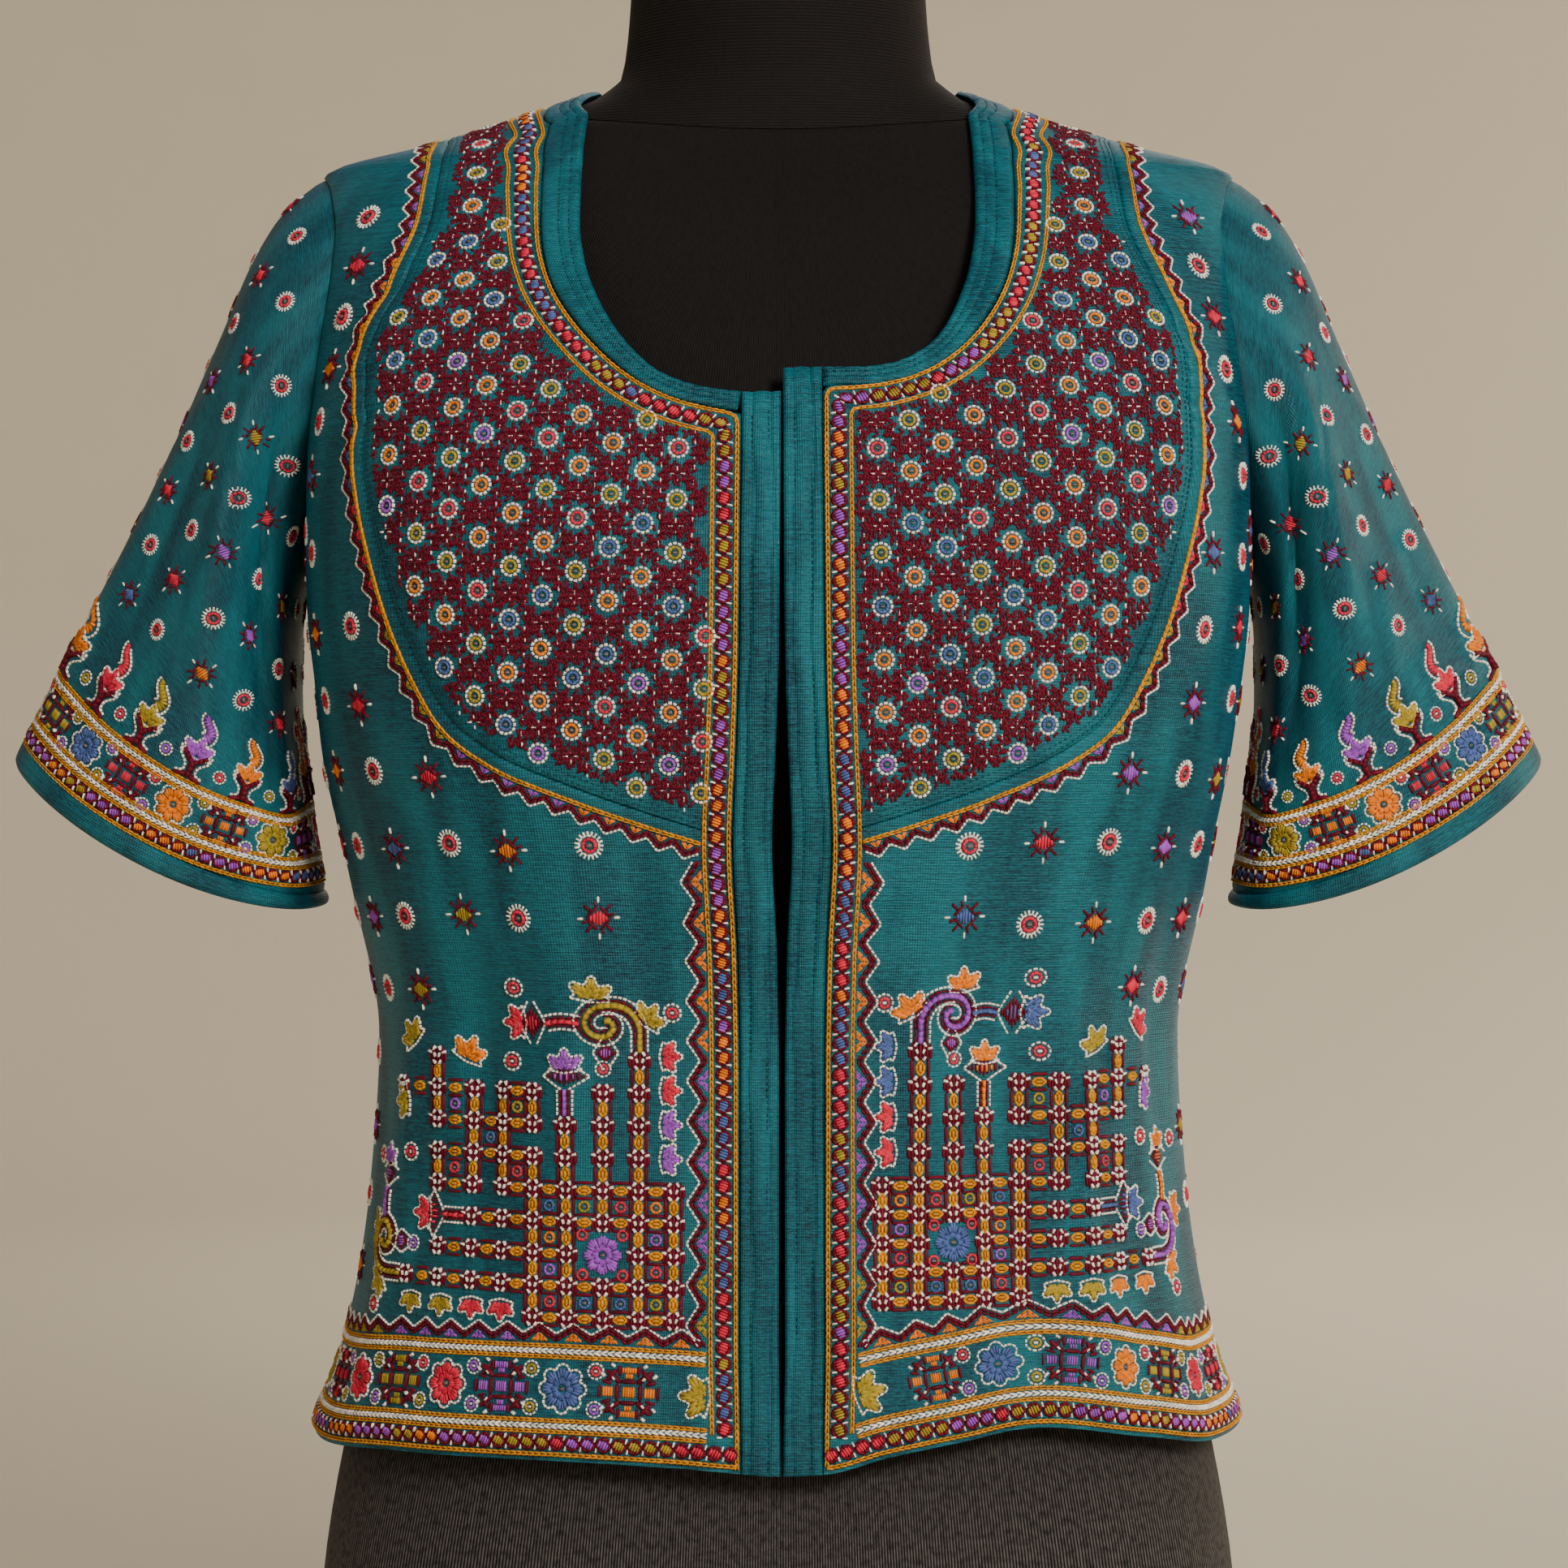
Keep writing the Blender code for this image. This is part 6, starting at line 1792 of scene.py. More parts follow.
@dataclass
class Embroidery:
    """All the needlework, piece by piece."""

    blouse: "Blouse"
    body: BodyCloth
    strip: float = 0.009
    lattice_a: tuple[float, float] = (0.0119, -0.011)
    lattice_b: tuple[float, float] = (-0.0125, -0.0088)
    lattice_origin: tuple[float, float] = (0.0757, 0.5223)
    block_corner_x: float = 0.0391
    block_pitch_x: float = 0.0134
    block_low: tuple[float, float, float] = (0.2569, 0.01215, 0.0123)
    block_low_left: tuple[float, float, float] = (0.2642, 0.0109, 0.0127)
    column_pitch: float = 0.0297
    row_pitch: float = 0.0285
    row_start: float = 0.4374
    edge_gap: float = 0.0013

    def __post_init__(self) -> None:
        """Measures the cloth's length up the front, so that rows keep their distance there."""
        height = np.linspace(0.19, 0.7305, 500)
        length = run_length(self.body.point(theta_of(np.full(500, 0.098), height), height))
        self.up_height = height
        self.up_length = length - np.interp(0.4, height, length) + 0.4

    def height_at(self, up: Array) -> Array:
        """The height at a length up the cloth."""
        return np.interp(up, self.up_length, self.up_height)

    def on_front(self, x: Array, up: Array) -> OnCloth:
        """Places on the front, by their X and their length up the cloth."""
        height = self.height_at(np.atleast_1d(up))
        return OnCloth(self.body, theta_of(np.atleast_1d(x), height), height)

    def strip_line(self, side: int) -> Line:
        """The placket's outer edge from the neck band down to the hem."""
        top = NECK_FRONT_HEIGHT[side] - NECK_BAND_FRONT - 0.0012
        heights = np.linspace(top, HEM_HEIGHT + 0.0012, 200)
        theta = placket_theta(side, PLACKET_WIDTH, heights)
        return Line(self.body, theta, hang_on_hem(theta, heights), (float(side), 0.0))

    def corner_line(self, side: int, out: float, shorter: float = 0.0) -> Line:
        """A line that runs round the neck and then down beside the placket.

        Args:
            side: 1 for the left half, -1 for the right.
            out: its distance out from the two bands.
            shorter: how far above the lower edge it stops.

        Returns:
            The line, from the centre back to its lower end, with a square corner at the neck.
        """
        band = self.blouse.band_line()
        d = np.linspace(band.length / 2, 0.0 if side > 0 else band.length, 300)
        theta, height = band.at(d, self.blouse.band_width(band, d) + self.edge_gap + out)
        theta, height = (blurred(part, 12) for part in (theta, height))
        if side < 0:
            theta = theta - 2 * math.pi
        strip = self.strip_line(side)
        down = np.linspace(0, strip.length - shorter, 300)
        strip_theta, strip_height = strip.at(down, np.full(300, self.edge_gap + out))
        limit = np.interp(height, strip_height[::-1], strip_theta[::-1])
        keep = side * theta > side * limit
        theta, height = theta[keep], height[keep]
        below = strip_height < height[-1]
        theta = np.concatenate([theta, strip_theta[below]])
        return Line(self.body, theta, np.concatenate([height, strip_height[below]]), (float(side), -1.0))

    def seam_line(self, side: int) -> Line:
        """The chest seam from the placket strip up to the shoulder."""
        curve = chest_seam(side)[::-1]
        return Line(self.body, curve[:, 0], curve[:, 1], (float(side), -1.0))

    def hem_line(self, start: float, stop: float) -> Line:
        """The lower edge between two angles."""
        theta = np.linspace(start, stop, 200)
        return Line(self.body, theta, hem_height(theta), (0.0, 1.0))

    def hem_border(
        self, work: Needlework, line: Line, hues: Sequence[Floss], squeeze: float = 1.0,
        beside_line: Line | None = None
    ) -> None:
        """Chain, ladder, braid, flower band, braid and zigzag, from the lower edge up.

        Args:
            work: the needlework that takes them.
            line: the lower edge.
            hues: the flowers' colours, in order.
            squeeze: how much of its full height the flower band keeps.
            beside_line: the line that the upper borders start from, if not the edge's end.
        """
        stop, low = line.length - 0.002, 0.0129
        middle, high, top = (low + squeeze * rise for rise in (0.0141, 0.0282, 0.0318))
        start = {out: self._start(line, beside_line, out) for out in (low, middle, high, top)}
        Borders.chain(work, line, 0.0, stop, 0.0024)
        Borders.ladder(work, line, 0.0, stop, 0.0034, 0.01, len(hues))
        Borders.braid(work, line, start[low], stop, low)
        if beside_line is not None:
            half_flower = Motifs.lobed_leaf(0.0092).moved(0.0, 0.0, -90)
            work.stamp(half_flower, OnLine(line, start[middle] + 0.0038, middle), (OLIVE,))
        Borders.flower_band(work, line, start[middle] + 0.017, stop, middle, hues, squeeze)
        Borders.braid(work, line, start[high], stop, high)
        Borders.zigzag(work, line, start[top] + 0.002, stop, top, 0.0058, 0.013)

    @staticmethod
    def _start(line: Line, beside_line: Line | None, out: float) -> float:
        """The distance along a line at which it comes clear of a second line."""
        if beside_line is None:
            return 0.0
        d = np.linspace(0, 0.03, 61)
        theta, height = line.at(d, out)
        limit = np.interp(height, beside_line.v[::-1], beside_line.u[::-1])
        return float(d[np.argmax(np.abs(theta) > np.abs(limit))]) + 0.0009

    def front_borders(self, side: int, word: str) -> None:
        """The strips down the front and round the neck, the chest's edge and the hem."""
        work = Needlework(f"needlework_borders_{word}", self.body, seed=11 + side)
        first_chain, second_chain = self.corner_line(side, 0.0), self.corner_line(side, self.strip, 0.0125)
        middle = self.corner_line(side, self.strip / 2, 0.0125)
        Borders.chain(work, first_chain, 0.0, first_chain.length, 0.0)
        Borders.chain(work, second_chain, 0.0, second_chain.length, 0.0)
        half = self.strip / 2 - 0.001
        Borders.ladder(work, middle, 0.0, middle.length, -half, half, 2 + side)
        seam = self.seam_line(side)
        start = self.strip + self.edge_gap
        Borders.chain(work, seam, start, seam.length, 0.0052)
        Borders.zigzag(work, seam, start, seam.length, 0.0062, 0.0052, 0.01)
        strip = self.strip_line(side)
        from_top = strip.length - (CHEST_SEAM_PLACKET_HEIGHT - HEM_HEIGHT)
        out = self.edge_gap + self.strip + 0.001
        Borders.zigzag(work, strip, from_top + 0.0065, strip.length - 0.046, out, 0.0068, 0.0143)
        low = float(placket_theta(side, PLACKET_WIDTH + self.edge_gap, np.array(HEM_HEIGHT)))
        line = self.hem_line(low, side * math.pi / 2)
        hues = (SLATE, ORANGE if side > 0 else CORAL, CORAL, OLIVE)
        self.hem_border(work, line, hues, 0.9 if side > 0 else 1.0, second_chain)
        work.build()

    def chest_region(self, side: int) -> Array:
        """Outline of the lattice, by X and length up the cloth, inside the seam and the strips."""
        seam, inner = self.seam_line(side), self.corner_line(side, self.strip + 0.0016)
        outside = seam.at(np.linspace(0.012, seam.length, 140), np.full(140, -0.0068))
        d = np.linspace(0, inner.length, 400)
        inside = inner.at(d, np.zeros(400))
        keep = (np.abs(inside[0]) < 1.55) & (inside[1] > outside[1][0])
        theta = np.concatenate([outside[0], inside[0][keep]])
        height = np.concatenate([outside[1], inside[1][keep]])
        up = np.interp(height, self.up_height, self.up_length)
        return np.stack([self.body.point(theta, height)[:, 0], up], axis=1)

    def chest(self, side: int, word: str) -> None:
        """The chest's lattice of dots on a ground of maroon stitches."""
        work = Needlework(f"needlework_chest_{word}", self.body, seed=21 + side)
        region = self.chest_region(side)
        flip = np.array([-side, 1.0])
        step_a, step_b = np.array(self.lattice_a) * flip, np.array(self.lattice_b) * flip
        origin = np.array([side * self.lattice_origin[0], self.lattice_origin[1]])
        i, j = (part.ravel() for part in np.meshgrid(np.arange(-22, 23), np.arange(-22, 23)))
        spots = origin + i[:, None] * step_a + j[:, None] * step_b
        rank = (i * 7 + j * 3 + (i * j) % 3) % 9
        inside = within(spots, region)
        palette = (OLIVE, CORAL, SLATE, ORANGE, OLIVE, PURPLE, ORANGE, SLATE, CORAL)
        hues = [palette[k] for k in rank[inside]]
        work.stamp(Motifs.lattice_flower(), self.on_front(*spots[inside].T), hues)
        for share, count in (((0.5, 0.5), 4), ((0.5, 0.0), 2), ((0.0, 0.5), 2)):
            seeds = spots + share[0] * step_a + share[1] * step_b
            seeds = seeds[within(seeds, region)]
            work.stamp(Motifs.seed_cross(count), self.on_front(*seeds.T))
        self._ground(work, region, origin, step_a, step_b)
        work.build()

    def _ground(self, work: Needlework, region: Array, origin: Array, step_a: Array, step_b: Array) -> None:
        """Maroon stitches in rows, slanting in turn, left out inside each flower's bare petals.

        The petals' outline is r = 4.1 mm + 3.2 mm |cos 4.5a|^1.5, nine lobes about each dot,
        turned differently at each.
        """
        low, high = region.min(axis=0), region.max(axis=0)
        x, up = np.meshgrid(np.arange(low[0], high[0], 0.00112), np.arange(low[1], high[1], 0.00165))
        row = np.repeat(np.arange(x.shape[0])[:, None], x.shape[1], axis=1).ravel()
        points = np.stack([x.ravel(), up.ravel()], axis=1)
        points = points + work.random.uniform(-0.0004, 0.0004, points.shape)
        steps = np.stack([step_a, step_b])
        share = (points - origin) @ np.linalg.inv(steps)
        nearest, angle, nearest_x = np.full(len(points), np.inf), np.zeros(len(points)), np.zeros(len(points))
        for di in (0, 1):
            for dj in (0, 1):
                spot = origin + (np.floor(share) + (di, dj)) @ steps
                offset = points - spot
                distance = np.linalg.norm(offset, axis=1)
                closer = distance < nearest
                nearest = np.where(closer, distance, nearest)
                angle = np.where(closer, np.arctan2(offset[:, 1], offset[:, 0]), angle)
                nearest_x = np.where(closer, spot[:, 0] * 1000, nearest_x)
        petal = np.abs(np.cos(4.5 * angle + 40 * nearest_x)) ** 1.5
        keep = (nearest > 0.0041 + 0.0032 * petal) & within(points, region)
        points = points[keep]
        slant = np.where(row[keep] % 2 == 0, 0.5, -0.5) + work.random.uniform(-0.5, 0.5, len(points))
        half = 0.0013 * np.stack([np.sin(slant), np.cos(slant)], axis=1)
        places = self.on_front(*points.T)
        u0, v0 = places.at(-half[:, :1], -half[:, 1:])
        u1, v1 = places.at(half[:, :1], half[:, 1:])
        work.sew(u0, v0, u1, v1, 0.00138, 0.0006, MAROON)

    def scatter(self, work: Needlework, u: Array, v: Array, checker: Array, scale: float = 1.0) -> None:
        """Ring dots and stars in turn at the given places."""
        dots = checker % 2 == 0
        work.stamp(Motifs.ring_dot().moved(0, 0, 0, scale), OnCloth(work.surface, u[dots], v[dots]))
        hues = (SLATE, ORANGE, CORAL, PURPLE, OLIVE, CORAL)
        work.stamp(Motifs.star().moved(0, 0, 0, scale), OnCloth(work.surface, u[~dots], v[~dots]), hues)

    def body_scatter(self) -> None:
        """Scattered motifs on the outer fronts and the back, clear of the borders and seams."""
        work = Needlework("needlework_scatter_body", self.body, seed=31)
        table = np.linspace(0, math.pi, 300)
        length = run_length(self.body.point(table, np.full(300, 0.45)))
        i, j = (part.ravel() for part in np.meshgrid(np.arange(-17, 17), np.arange(-6, 12)))
        arc = np.abs(i + 0.5) * self.column_pitch
        theta = np.sign(i + 0.5) * np.interp(arc, length, table)
        height = self.height_at(self.row_start + j * self.row_pitch)
        jitter = work.random.uniform(-0.0018, 0.0018, (2, len(theta)))
        theta, height = theta + jitter[0] / BODY_RADIUS, height + jitter[1] * (height < 0.68)
        keep = (arc < length[-1] - 0.008) & self._free(theta, height)
        self.scatter(work, theta[keep], height[keep], (np.abs(2 * i + 1) // 2 + j)[keep])
        height = 0.56 + 0.0205 * np.arange(7)
        for side in (1, -1):
            turn = np.linspace(0, math.pi, 200)
            edge, level = armhole(turn, side)
            outer = np.interp(height, level[::-1], edge[::-1])
            inner = self.blouse.seam_edge(side)(height)
            self.scatter(work, 0.42 * inner + 0.58 * outer, height, np.arange(7) + (side > 0))
        work.build()

    def _free(self, theta: Array, height: Array) -> Array:
        """Which places are clear of the chest, the borders, the corner blocks and the seams."""
        points = self.body.point(theta, height)
        clear = (height < 0.728) & (height > HEM_HEIGHT + 0.064)
        turn = np.linspace(0, 2 * math.pi, 160)
        for side in (1, -1):
            seam, strip, band = (
                chest_seam(side)[::3],
                self.strip_line(side),
                self.corner_line(side, self.strip),
            )
            curves = (
                (self.body.point(*armhole(turn, side)), 0.007),
                (self.body.point(seam[:, 0], seam[:, 1]), 0.0185),
                (self.body.point(strip.u[::6], strip.v[::6]), 0.0265),
                (self.body.point(band.u[::6], band.v[::6]), 0.01),
            )
            for curve, reach in curves:
                clear &= np.linalg.norm(points[:, None] - curve[None], axis=2).min(axis=1) > reach
            x = side * points[:, 0]
            edge = side * self.blouse.seam_edge(side)(height)
            in_chest = (height > CHEST_SEAM_PLACKET_HEIGHT) & (side * theta > 0) & (side * theta < edge)
            in_armhole = (
                (np.abs(side * theta - math.pi / 2) < 0.33) & (height > ARMPIT_HEIGHT) & (height < 0.7)
            )
            in_block = (height < 0.366) & (x > 0) & (x < 0.158) & (np.abs(theta) < 1.42)
            in_scroll = (height < 0.392) & (x > 0) & (x < 0.12) & (np.abs(theta) < 1.42)
            clear &= ~in_chest & ~in_block & ~in_scroll & ~in_armhole
        return clear

    def back_borders(self) -> None:
        """The hem's border and the neck's strip across the back."""
        work = Needlework("needlework_border_back", self.body, seed=41)
        line = self.hem_line(math.pi / 2 + 0.03, 3 * math.pi / 2 - 0.03)
        self.hem_border(work, line, (SLATE, CORAL, OLIVE, PURPLE))
        work.build()

    def sleeve(self, cloth: SleeveCloth, word: str) -> None:
        """A sleeve's bands and finials above the cuff, and its scattered motifs."""
        work = Needlework(f"needlework_sleeve_{word}", cloth, seed=51 + cloth.side)
        turn = np.linspace(-0.5 * math.pi, 1.5 * math.pi, 240)
        line = Line(cloth, turn, np.full(240, 0.998), (0.0, -1.0))
        stop = line.length
        Borders.chain(work, line, 0.0, stop, CUFF_WIDTH + 0.0006)
        Borders.ladder(work, line, 0.0, stop, CUFF_WIDTH + 0.0014, CUFF_WIDTH + 0.0074, 4)
        Borders.braid(work, line, 0.0, stop, CUFF_WIDTH + 0.01, 0.001)
        flowers = (OLIVE, CORAL, SLATE, ORANGE)
        Borders.flower_band(work, line, 0.0, stop, CUFF_WIDTH + 0.0198, flowers, 0.92)
        Borders.braid(work, line, 0.0, stop, CUFF_WIDTH + 0.0298, 0.001)
        count = max(int(stop / 0.0262), 4)
        d = (np.arange(count) + 0.5) * stop / count
        hues = (PURPLE, ORANGE, SLATE, ORANGE, CORAL, OLIVE)
        work.stamp(Motifs.finial().moved(0, 0, 0, 1.12), OnLine(line, d, CUFF_WIDTH + 0.0316), hues)
        between = OnLine(line, d + stop / count / 2, CUFF_WIDTH + 0.04)
        work.stamp(Motifs.small_dot(), between, (CORAL, PURPLE, CORAL, OLIVE))
        columns = 14
        i, j = (part.ravel() for part in np.meshgrid(np.arange(columns), np.arange(11)))
        u = 2 * math.pi * (i + 0.5) / columns
        lines = cloth.point(
            np.repeat(u[None], 40, axis=0), np.repeat(np.linspace(0, 1, 40)[:, None], len(u), axis=1)
        )
        length = np.linalg.norm(np.diff(lines, axis=0), axis=-1).sum(axis=0)
        v = 1 - (CUFF_WIDTH + 0.0735 + j * 0.024) / length
        jitter = work.random.uniform(-1, 1, (2, len(u)))
        u, v = u + 0.03 * jitter[0], v + 0.008 * jitter[1]
        keep = v * length > 0.011
        self.scatter(work, u[keep], v[keep], (i + j)[keep], 0.8)
        work.build()

    def topstitching(self) -> None:
        """Rows of plain running stitch on the plackets and the neck band."""
        work = Needlework("topstitching_bands", self.body, BAND_WALL - 0.0003, seed=71)
        heights = np.linspace(HEM_HEIGHT + 0.002, 0.6, 200)
        for side in (1, -1):
            for share in (0.3, 0.7):
                theta = placket_theta(side, PLACKET_WIDTH * share, heights)
                self._run_stitch(work, Line(self.body, theta, hang_on_hem(theta, heights), (1.0, 0.0)), 0.0)
        band = self.blouse.band_line()
        d = np.linspace(0.001, band.length - 0.001, 600)
        for share in (0.28, 0.55):
            u, v = band.at(d, self.blouse.band_width(band, d) * share)
            self._run_stitch(work, Line(self.body, u, v, (0.0, -1.0)), 0.0)
        work.build()
        seams = Needlework("topstitching_seams", self.body, seed=72)
        for side in (1, -1):
            for out in (-0.002, -0.0042):
                self._run_stitch(seams, self.seam_line(side), out)
        seams.build()

    def _run_stitch(self, work: Needlework, line: Line, out: float) -> None:
        """One row of short teal stitches."""
        d = np.arange(0.0, line.length - 0.0024, 0.0024)
        work.on_line(line, d, out, d + 0.0017, out, 0.0006, 0.0003, TEAL)

    def corner_block(self, side: int, word: str) -> None:
        """The lower corner: a knotted lattice with ribs, buds, leaves and scrolls.

        It is charted on one lattice. Five by five crossings make the square, three ribs leave
        its top and three its outer side, and a cross of five cells stands on its corner. All
        but the colours is the same on both sides of the diagonal.
        """
        work = Needlework(f"needlework_corner_{word}", self.body, seed=61 + side)
        square = {(i, j) for i in range(5) for j in range(5)} - {(2, 2)}
        ribs = {(1, j) for j in range(5, 9)} | {(2, j) for j in range(5, 8)} | {(3, j) for j in range(5, 7)}
        ribs |= {(j, i) for i, j in ribs}
        corners = ((4, 4), (5, 5), (5, 6), (6, 5), (6, 6))
        cells_of_cross = ((4, 4), (5, 5), (4, 6), (6, 4), (6, 6))
        cross = {(i + di, j + dj) for i, j in cells_of_cross for di in (0, 1) for dj in (0, 1)}
        cross |= {(7, 8), (8, 7)}
        nodes = square | ribs | cross
        self._stamp_lattice(work, side, nodes, square, cells_of_cross)
        self._stamp_sprigs(work, side)
        work.build()

    def spot(self, side: int, across: float, up: float) -> tuple[float, float]:
        """X and height of a place on the corner block's lattice."""
        low, pitch, upper = self.block_low_left if side > 0 else self.block_low
        x = self.block_corner_x + across * self.block_pitch_x - max(across - 4, 0) * 0.0008
        return side * x, low + min(up, 4) * pitch + max(up - 4, 0) * upper

    def _stamp_lattice(
        self, work: Needlework, side: int, nodes: set, square: set, cells_of_cross: tuple
    ) -> None:
        """Crossings, links between neighbours that belong together, and dots in the cells."""
        at = np.array([self.spot(side, i, j) for i, j in sorted(nodes)])
        work.stamp(Motifs.node_knot(), self.on_front(at[:, 0], at[:, 1]))
        level, upright = [], []
        for i, j in sorted(nodes):
            for di, dj, places in ((1, 0, level), (0, 1, upright)):
                if (i + di, j + dj) in nodes and self._linked(
                    (i, j), (i + di, j + dj), square, cells_of_cross
                ):
                    places.append(self.spot(side, i + di / 2, j + dj / 2))
        for places, turn in ((level, 0), (upright, 90)):
            at = np.array(places)
            work.stamp(Motifs.link().moved(0, 0, turn), self.on_front(at[:, 0], at[:, 1]))
        cells = [(i, j) for i in range(4) for j in range(4) if (i, j) not in {(1, 1), (1, 2), (2, 1), (2, 2)}]
        at = np.array([self.spot(side, i + 0.5, j + 0.5) for i, j in cells + list(cells_of_cross)])
        hues = (OLIVE, CORAL, PURPLE, ORANGE, SLATE, CORAL, SLATE)
        work.stamp(Motifs.cell_dot(), self.on_front(at[:, 0], at[:, 1]), hues)

    @staticmethod
    def _linked(a: tuple, b: tuple, square: set, cells_of_cross: tuple) -> bool:
        """Whether two neighbouring crossings have a link: inside the square, a rib or a cell."""
        if a in square and b in square:
            return True
        low = (min(a[0], b[0]), min(a[1], b[1]))
        upright = a[0] == b[0]
        beside_it = {low, (low[0] - 1, low[1])} if upright else {low, (low[0], low[1] - 1)}
        if beside_it & set(cells_of_cross):
            return True
        in_rib = (a[0] in (1, 2, 3) and upright) or (a[1] in (1, 2, 3) and not upright)
        return in_rib or {a, b} in ({(7, 7), (7, 8)}, {(7, 7), (8, 7)})

    def _stamp_sprigs(self, work: Needlework, side: int) -> None:
        """The flower in the square, and the buds, scrolls, leaves and dots round it."""
        centre = PURPLE if side < 0 else SLATE
        work.stamp(Motifs.petal_flower(0.0078, False), self.on_front(*self.spot(side, 2, 2)), (centre,))
        for di, dj in ((-0.56, -0.62), (-0.56, 0.62), (0.56, -0.62), (0.56, 0.62)):
            work.stamp(Motifs.cell_dot(), self.on_front(*self.spot(side, 2 + di, 2 + dj)), (CORAL,))
        hues = (CORAL, PURPLE) if side < 0 else (SLATE, ORANGE)
        for swap in (False, True):
            rib, bud = ((8, 1), (6, 3)) if swap else ((1, 8), (3, 6))
            stem, leaf = (PURPLE, ORANGE) if side > 0 else (OLIVE, OLIVE)
            scroll = Motifs.scroll(stem, leaf).flipped(swap, side)
            work.stamp(scroll, self.on_front(*self.spot(side, *rib)), (hues[swap],))
            place = self.on_front(*self.spot(side, *bud))
            work.stamp(Motifs.stemmed_bud().flipped(swap, side), place, (hues[1 - swap],))
            end = self.on_front(*self.spot(side, *((7.75, 2) if swap else (2, 7.75))))
            work.stamp(Motifs.small_dot(), end, ((PURPLE if swap else CORAL),))
        leaves = (
            Sprig(0.15, 5.0, -90, PURPLE, CORAL),
            Sprig(0.15, 6.05, -90, PURPLE, CORAL),
            Sprig(0.15, 7.1, -90, CORAL, SLATE),
            Sprig(0.15, 8.15, -90, CORAL, SLATE),
            Sprig(5.0, 0.2, 180, CORAL, OLIVE),
            Sprig(5.95, 0.2, 180, CORAL, OLIVE),
            Sprig(6.9, 0.2, 180, OLIVE, ORANGE),
            Sprig(7.85, 0.2, 180, OLIVE, ORANGE),
            Sprig(7.75, 8.6, 40, OLIVE, CORAL, 0.0088),
            Sprig(6.15, 8.15, -25, ORANGE, OLIVE, 0.0088),
            Sprig(7.95, 6.5, 100, OLIVE, PURPLE, 0.008),
        )
        for leaf in leaves:
            chart = Motifs.lobed_leaf(leaf.radius).moved(0, 0, leaf.turn_deg).flipped(False, -side)
            hue = leaf.left_hue if side > 0 else leaf.right_hue
            work.stamp(chart, self.on_front(*self.spot(side, leaf.across, leaf.up)), (hue,))


def within(points: Array, outline: Array) -> Array:
    """Which points lie inside a closed outline, by counting the edges to their right."""
    result = np.zeros(len(points), bool)
    x, y = points[:, 0], points[:, 1]
    for a, b in zip(outline, np.roll(outline, -1, axis=0)):
        crosses = (a[1] > y) != (b[1] > y)
        where = a[0] + (y - a[1]) / np.where(b[1] == a[1], 1e-12, b[1] - a[1]) * (b[0] - a[0])
        result ^= crosses & (x < where)
    return result


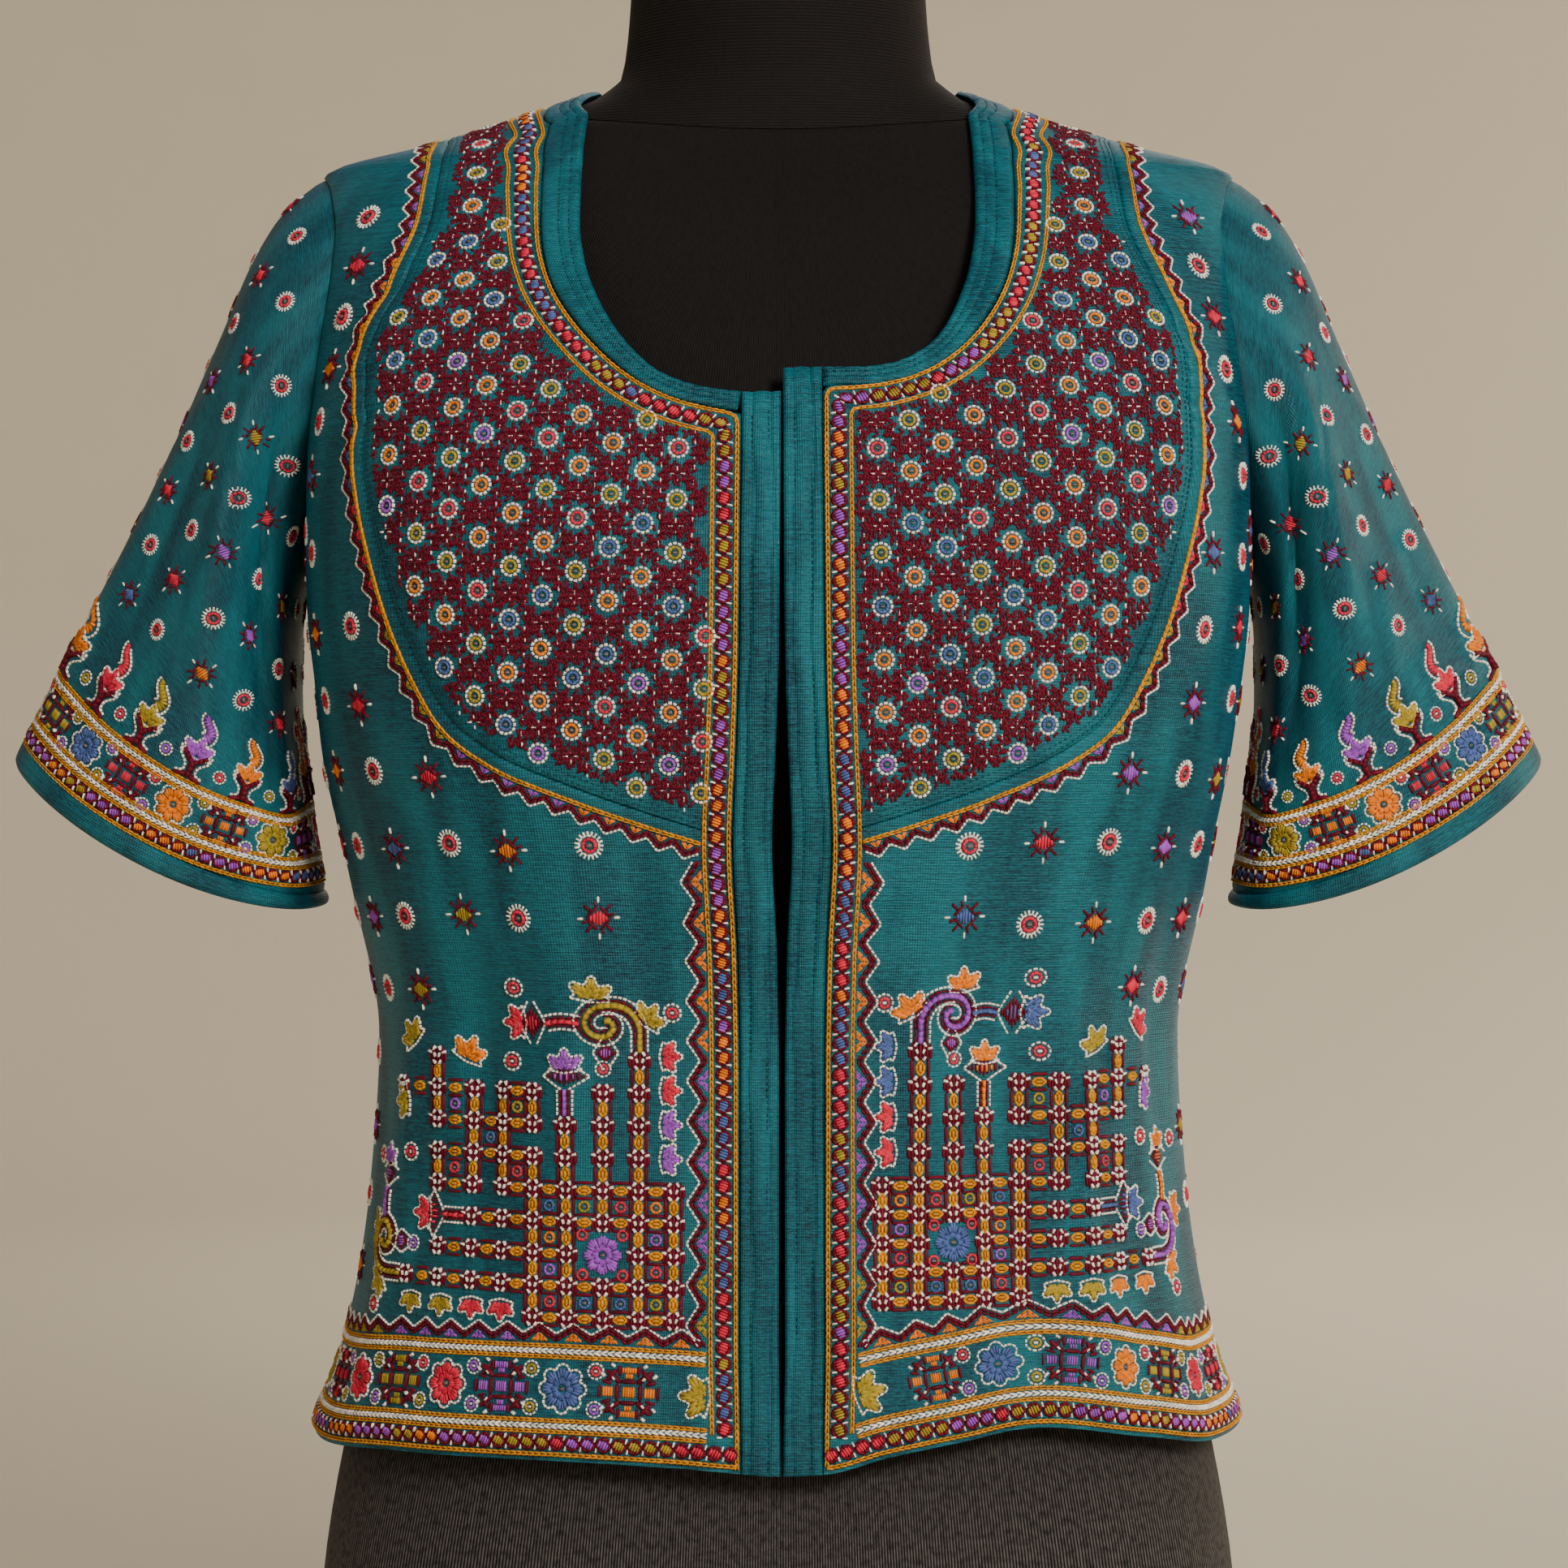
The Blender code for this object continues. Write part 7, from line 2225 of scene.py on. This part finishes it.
@dataclass
class Studio:
    """A pale all-round cove with soft light, and the camera."""

    cove_radius: float = 3.6
    cove_height: float = 4.2
    wall: str = "#d4cbb8"
    camera_distance: float = 1.6
    camera_height: float = 0.46
    camera_x: float = 0.0023
    half_view: float = 0.3188

    def cove(self) -> None:
        """Floor and wall in one turned sheet: a disc that curves up into a cylinder."""
        bend, columns = 0.9, 96
        turn = np.linspace(0, math.pi / 2, 12)
        curve = self.cove_radius - bend + bend * np.sin(turn)
        radius = np.concatenate([[0.01, 1.2, 2.2], curve, [self.cove_radius] * 2])
        height = np.concatenate([[0, 0, 0], bend - bend * np.cos(turn), [2.5, self.cove_height]])
        theta = np.linspace(0, 2 * math.pi, columns, endpoint=False)
        x = radius[:, None] * np.cos(theta)
        y = radius[:, None] * np.sin(theta)
        points = np.stack([x, y, np.repeat(height[:, None], columns, axis=1)], axis=-1)
        index = np.arange(points.shape[0] * columns).reshape(-1, columns)
        index = np.concatenate([index, index[:, :1]], axis=1)
        quads = np.stack(
            [index[:-1, :-1], index[1:, :-1], index[1:, 1:], index[:-1, 1:]], axis=-1
        ).reshape(-1, 4)
        constants = {"Base Color": (*linear(self.wall), 1), "Roughness": 0.9}
        material, _, _ = new_material("painted_backdrop", constants)
        mesh = bpy.data.meshes.new("studio_cove")
        mesh.from_pydata(points.reshape(-1, 3).tolist(), [], quads.tolist())
        mesh.materials.append(material)
        mesh.shade_smooth()
        cove = bpy.data.objects.new("studio_cove", mesh)
        bpy.context.scene.collection.objects.link(cove)

    def lamp(self, name: str, place: tuple, aim: tuple, size: float, watts: float, colour: str) -> None:
        """A square area light that faces a point."""
        data = bpy.data.lights.new(name, "AREA")
        data.size, data.energy, data.color = size, watts, linear(colour)
        lamp = bpy.data.objects.new(name, data)
        lamp.location = place
        lamp.rotation_euler = (Vector(aim) - Vector(place)).to_track_quat("-Z", "Y").to_euler()
        bpy.context.scene.collection.objects.link(lamp)

    def build(self) -> None:
        """Sets up the cove, the lamps, the sky and the camera."""
        self.cove()
        self.lamp("key_light", (0.85, -1.7, 1.3), (0.0, 0.0, 0.45), 0.6, 43, "#fffaf4")
        self.lamp("fill_light", (-2.0, -1.8, 1.1), (0.0, 0.0, 0.45), 1.8, 7, "#f4f6ff")
        self.lamp("back_light", (0.4, 2.4, 2.0), (0.0, 0.0, 0.4), 1.8, 24, "#fff8ee")
        self.lamp("wall_light", (3.1, 1.5, 1.2), (1.9, 3.4, 0.3), 0.8, 100, "#fff6e8")
        world = bpy.data.worlds.new("soft_sky")
        world.use_nodes = True
        world.node_tree.nodes["Background"].inputs["Color"].default_value = (*linear("#ecebea"), 1)
        world.node_tree.nodes["Background"].inputs["Strength"].default_value = 0.235
        bpy.context.scene.world = world
        data = bpy.data.cameras.new("camera")
        data.sensor_width = 36.0
        data.lens = 18.0 * self.camera_distance / self.half_view
        camera = bpy.data.objects.new("camera", data)
        camera.location = (self.camera_x, -self.camera_distance, self.camera_height)
        camera.rotation_euler = (math.pi / 2, 0, 0)
        bpy.context.scene.collection.objects.link(camera)
        bpy.context.scene.camera = camera


def main() -> None:
    """Builds the form, the cloth, the needlework and the studio in order."""
    logging.basicConfig(level=logging.INFO, format="%(message)s")
    DressForm().build()
    body = BodyCloth()
    sleeves = {word: SleeveCloth(side, body) for side, word in ((1, "left"), (-1, "right"))}
    blouse = Blouse(body)
    needle = Embroidery(blouse, body)
    for side, word in ((1, "left"), (-1, "right")):
        blouse.front(side, word)
        blouse.chest(side, word)
        blouse.placket(side, word)
        blouse.sleeve(sleeves[word], word)
        needle.front_borders(side, word)
        needle.chest(side, word)
        needle.corner_block(side, word)
        needle.sleeve(sleeves[word], word)
    blouse.back()
    blouse.neck_band()
    needle.topstitching()
    needle.back_borders()
    needle.body_scatter()
    Studio().build()
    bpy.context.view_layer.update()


if __name__ == "__main__":
    main()
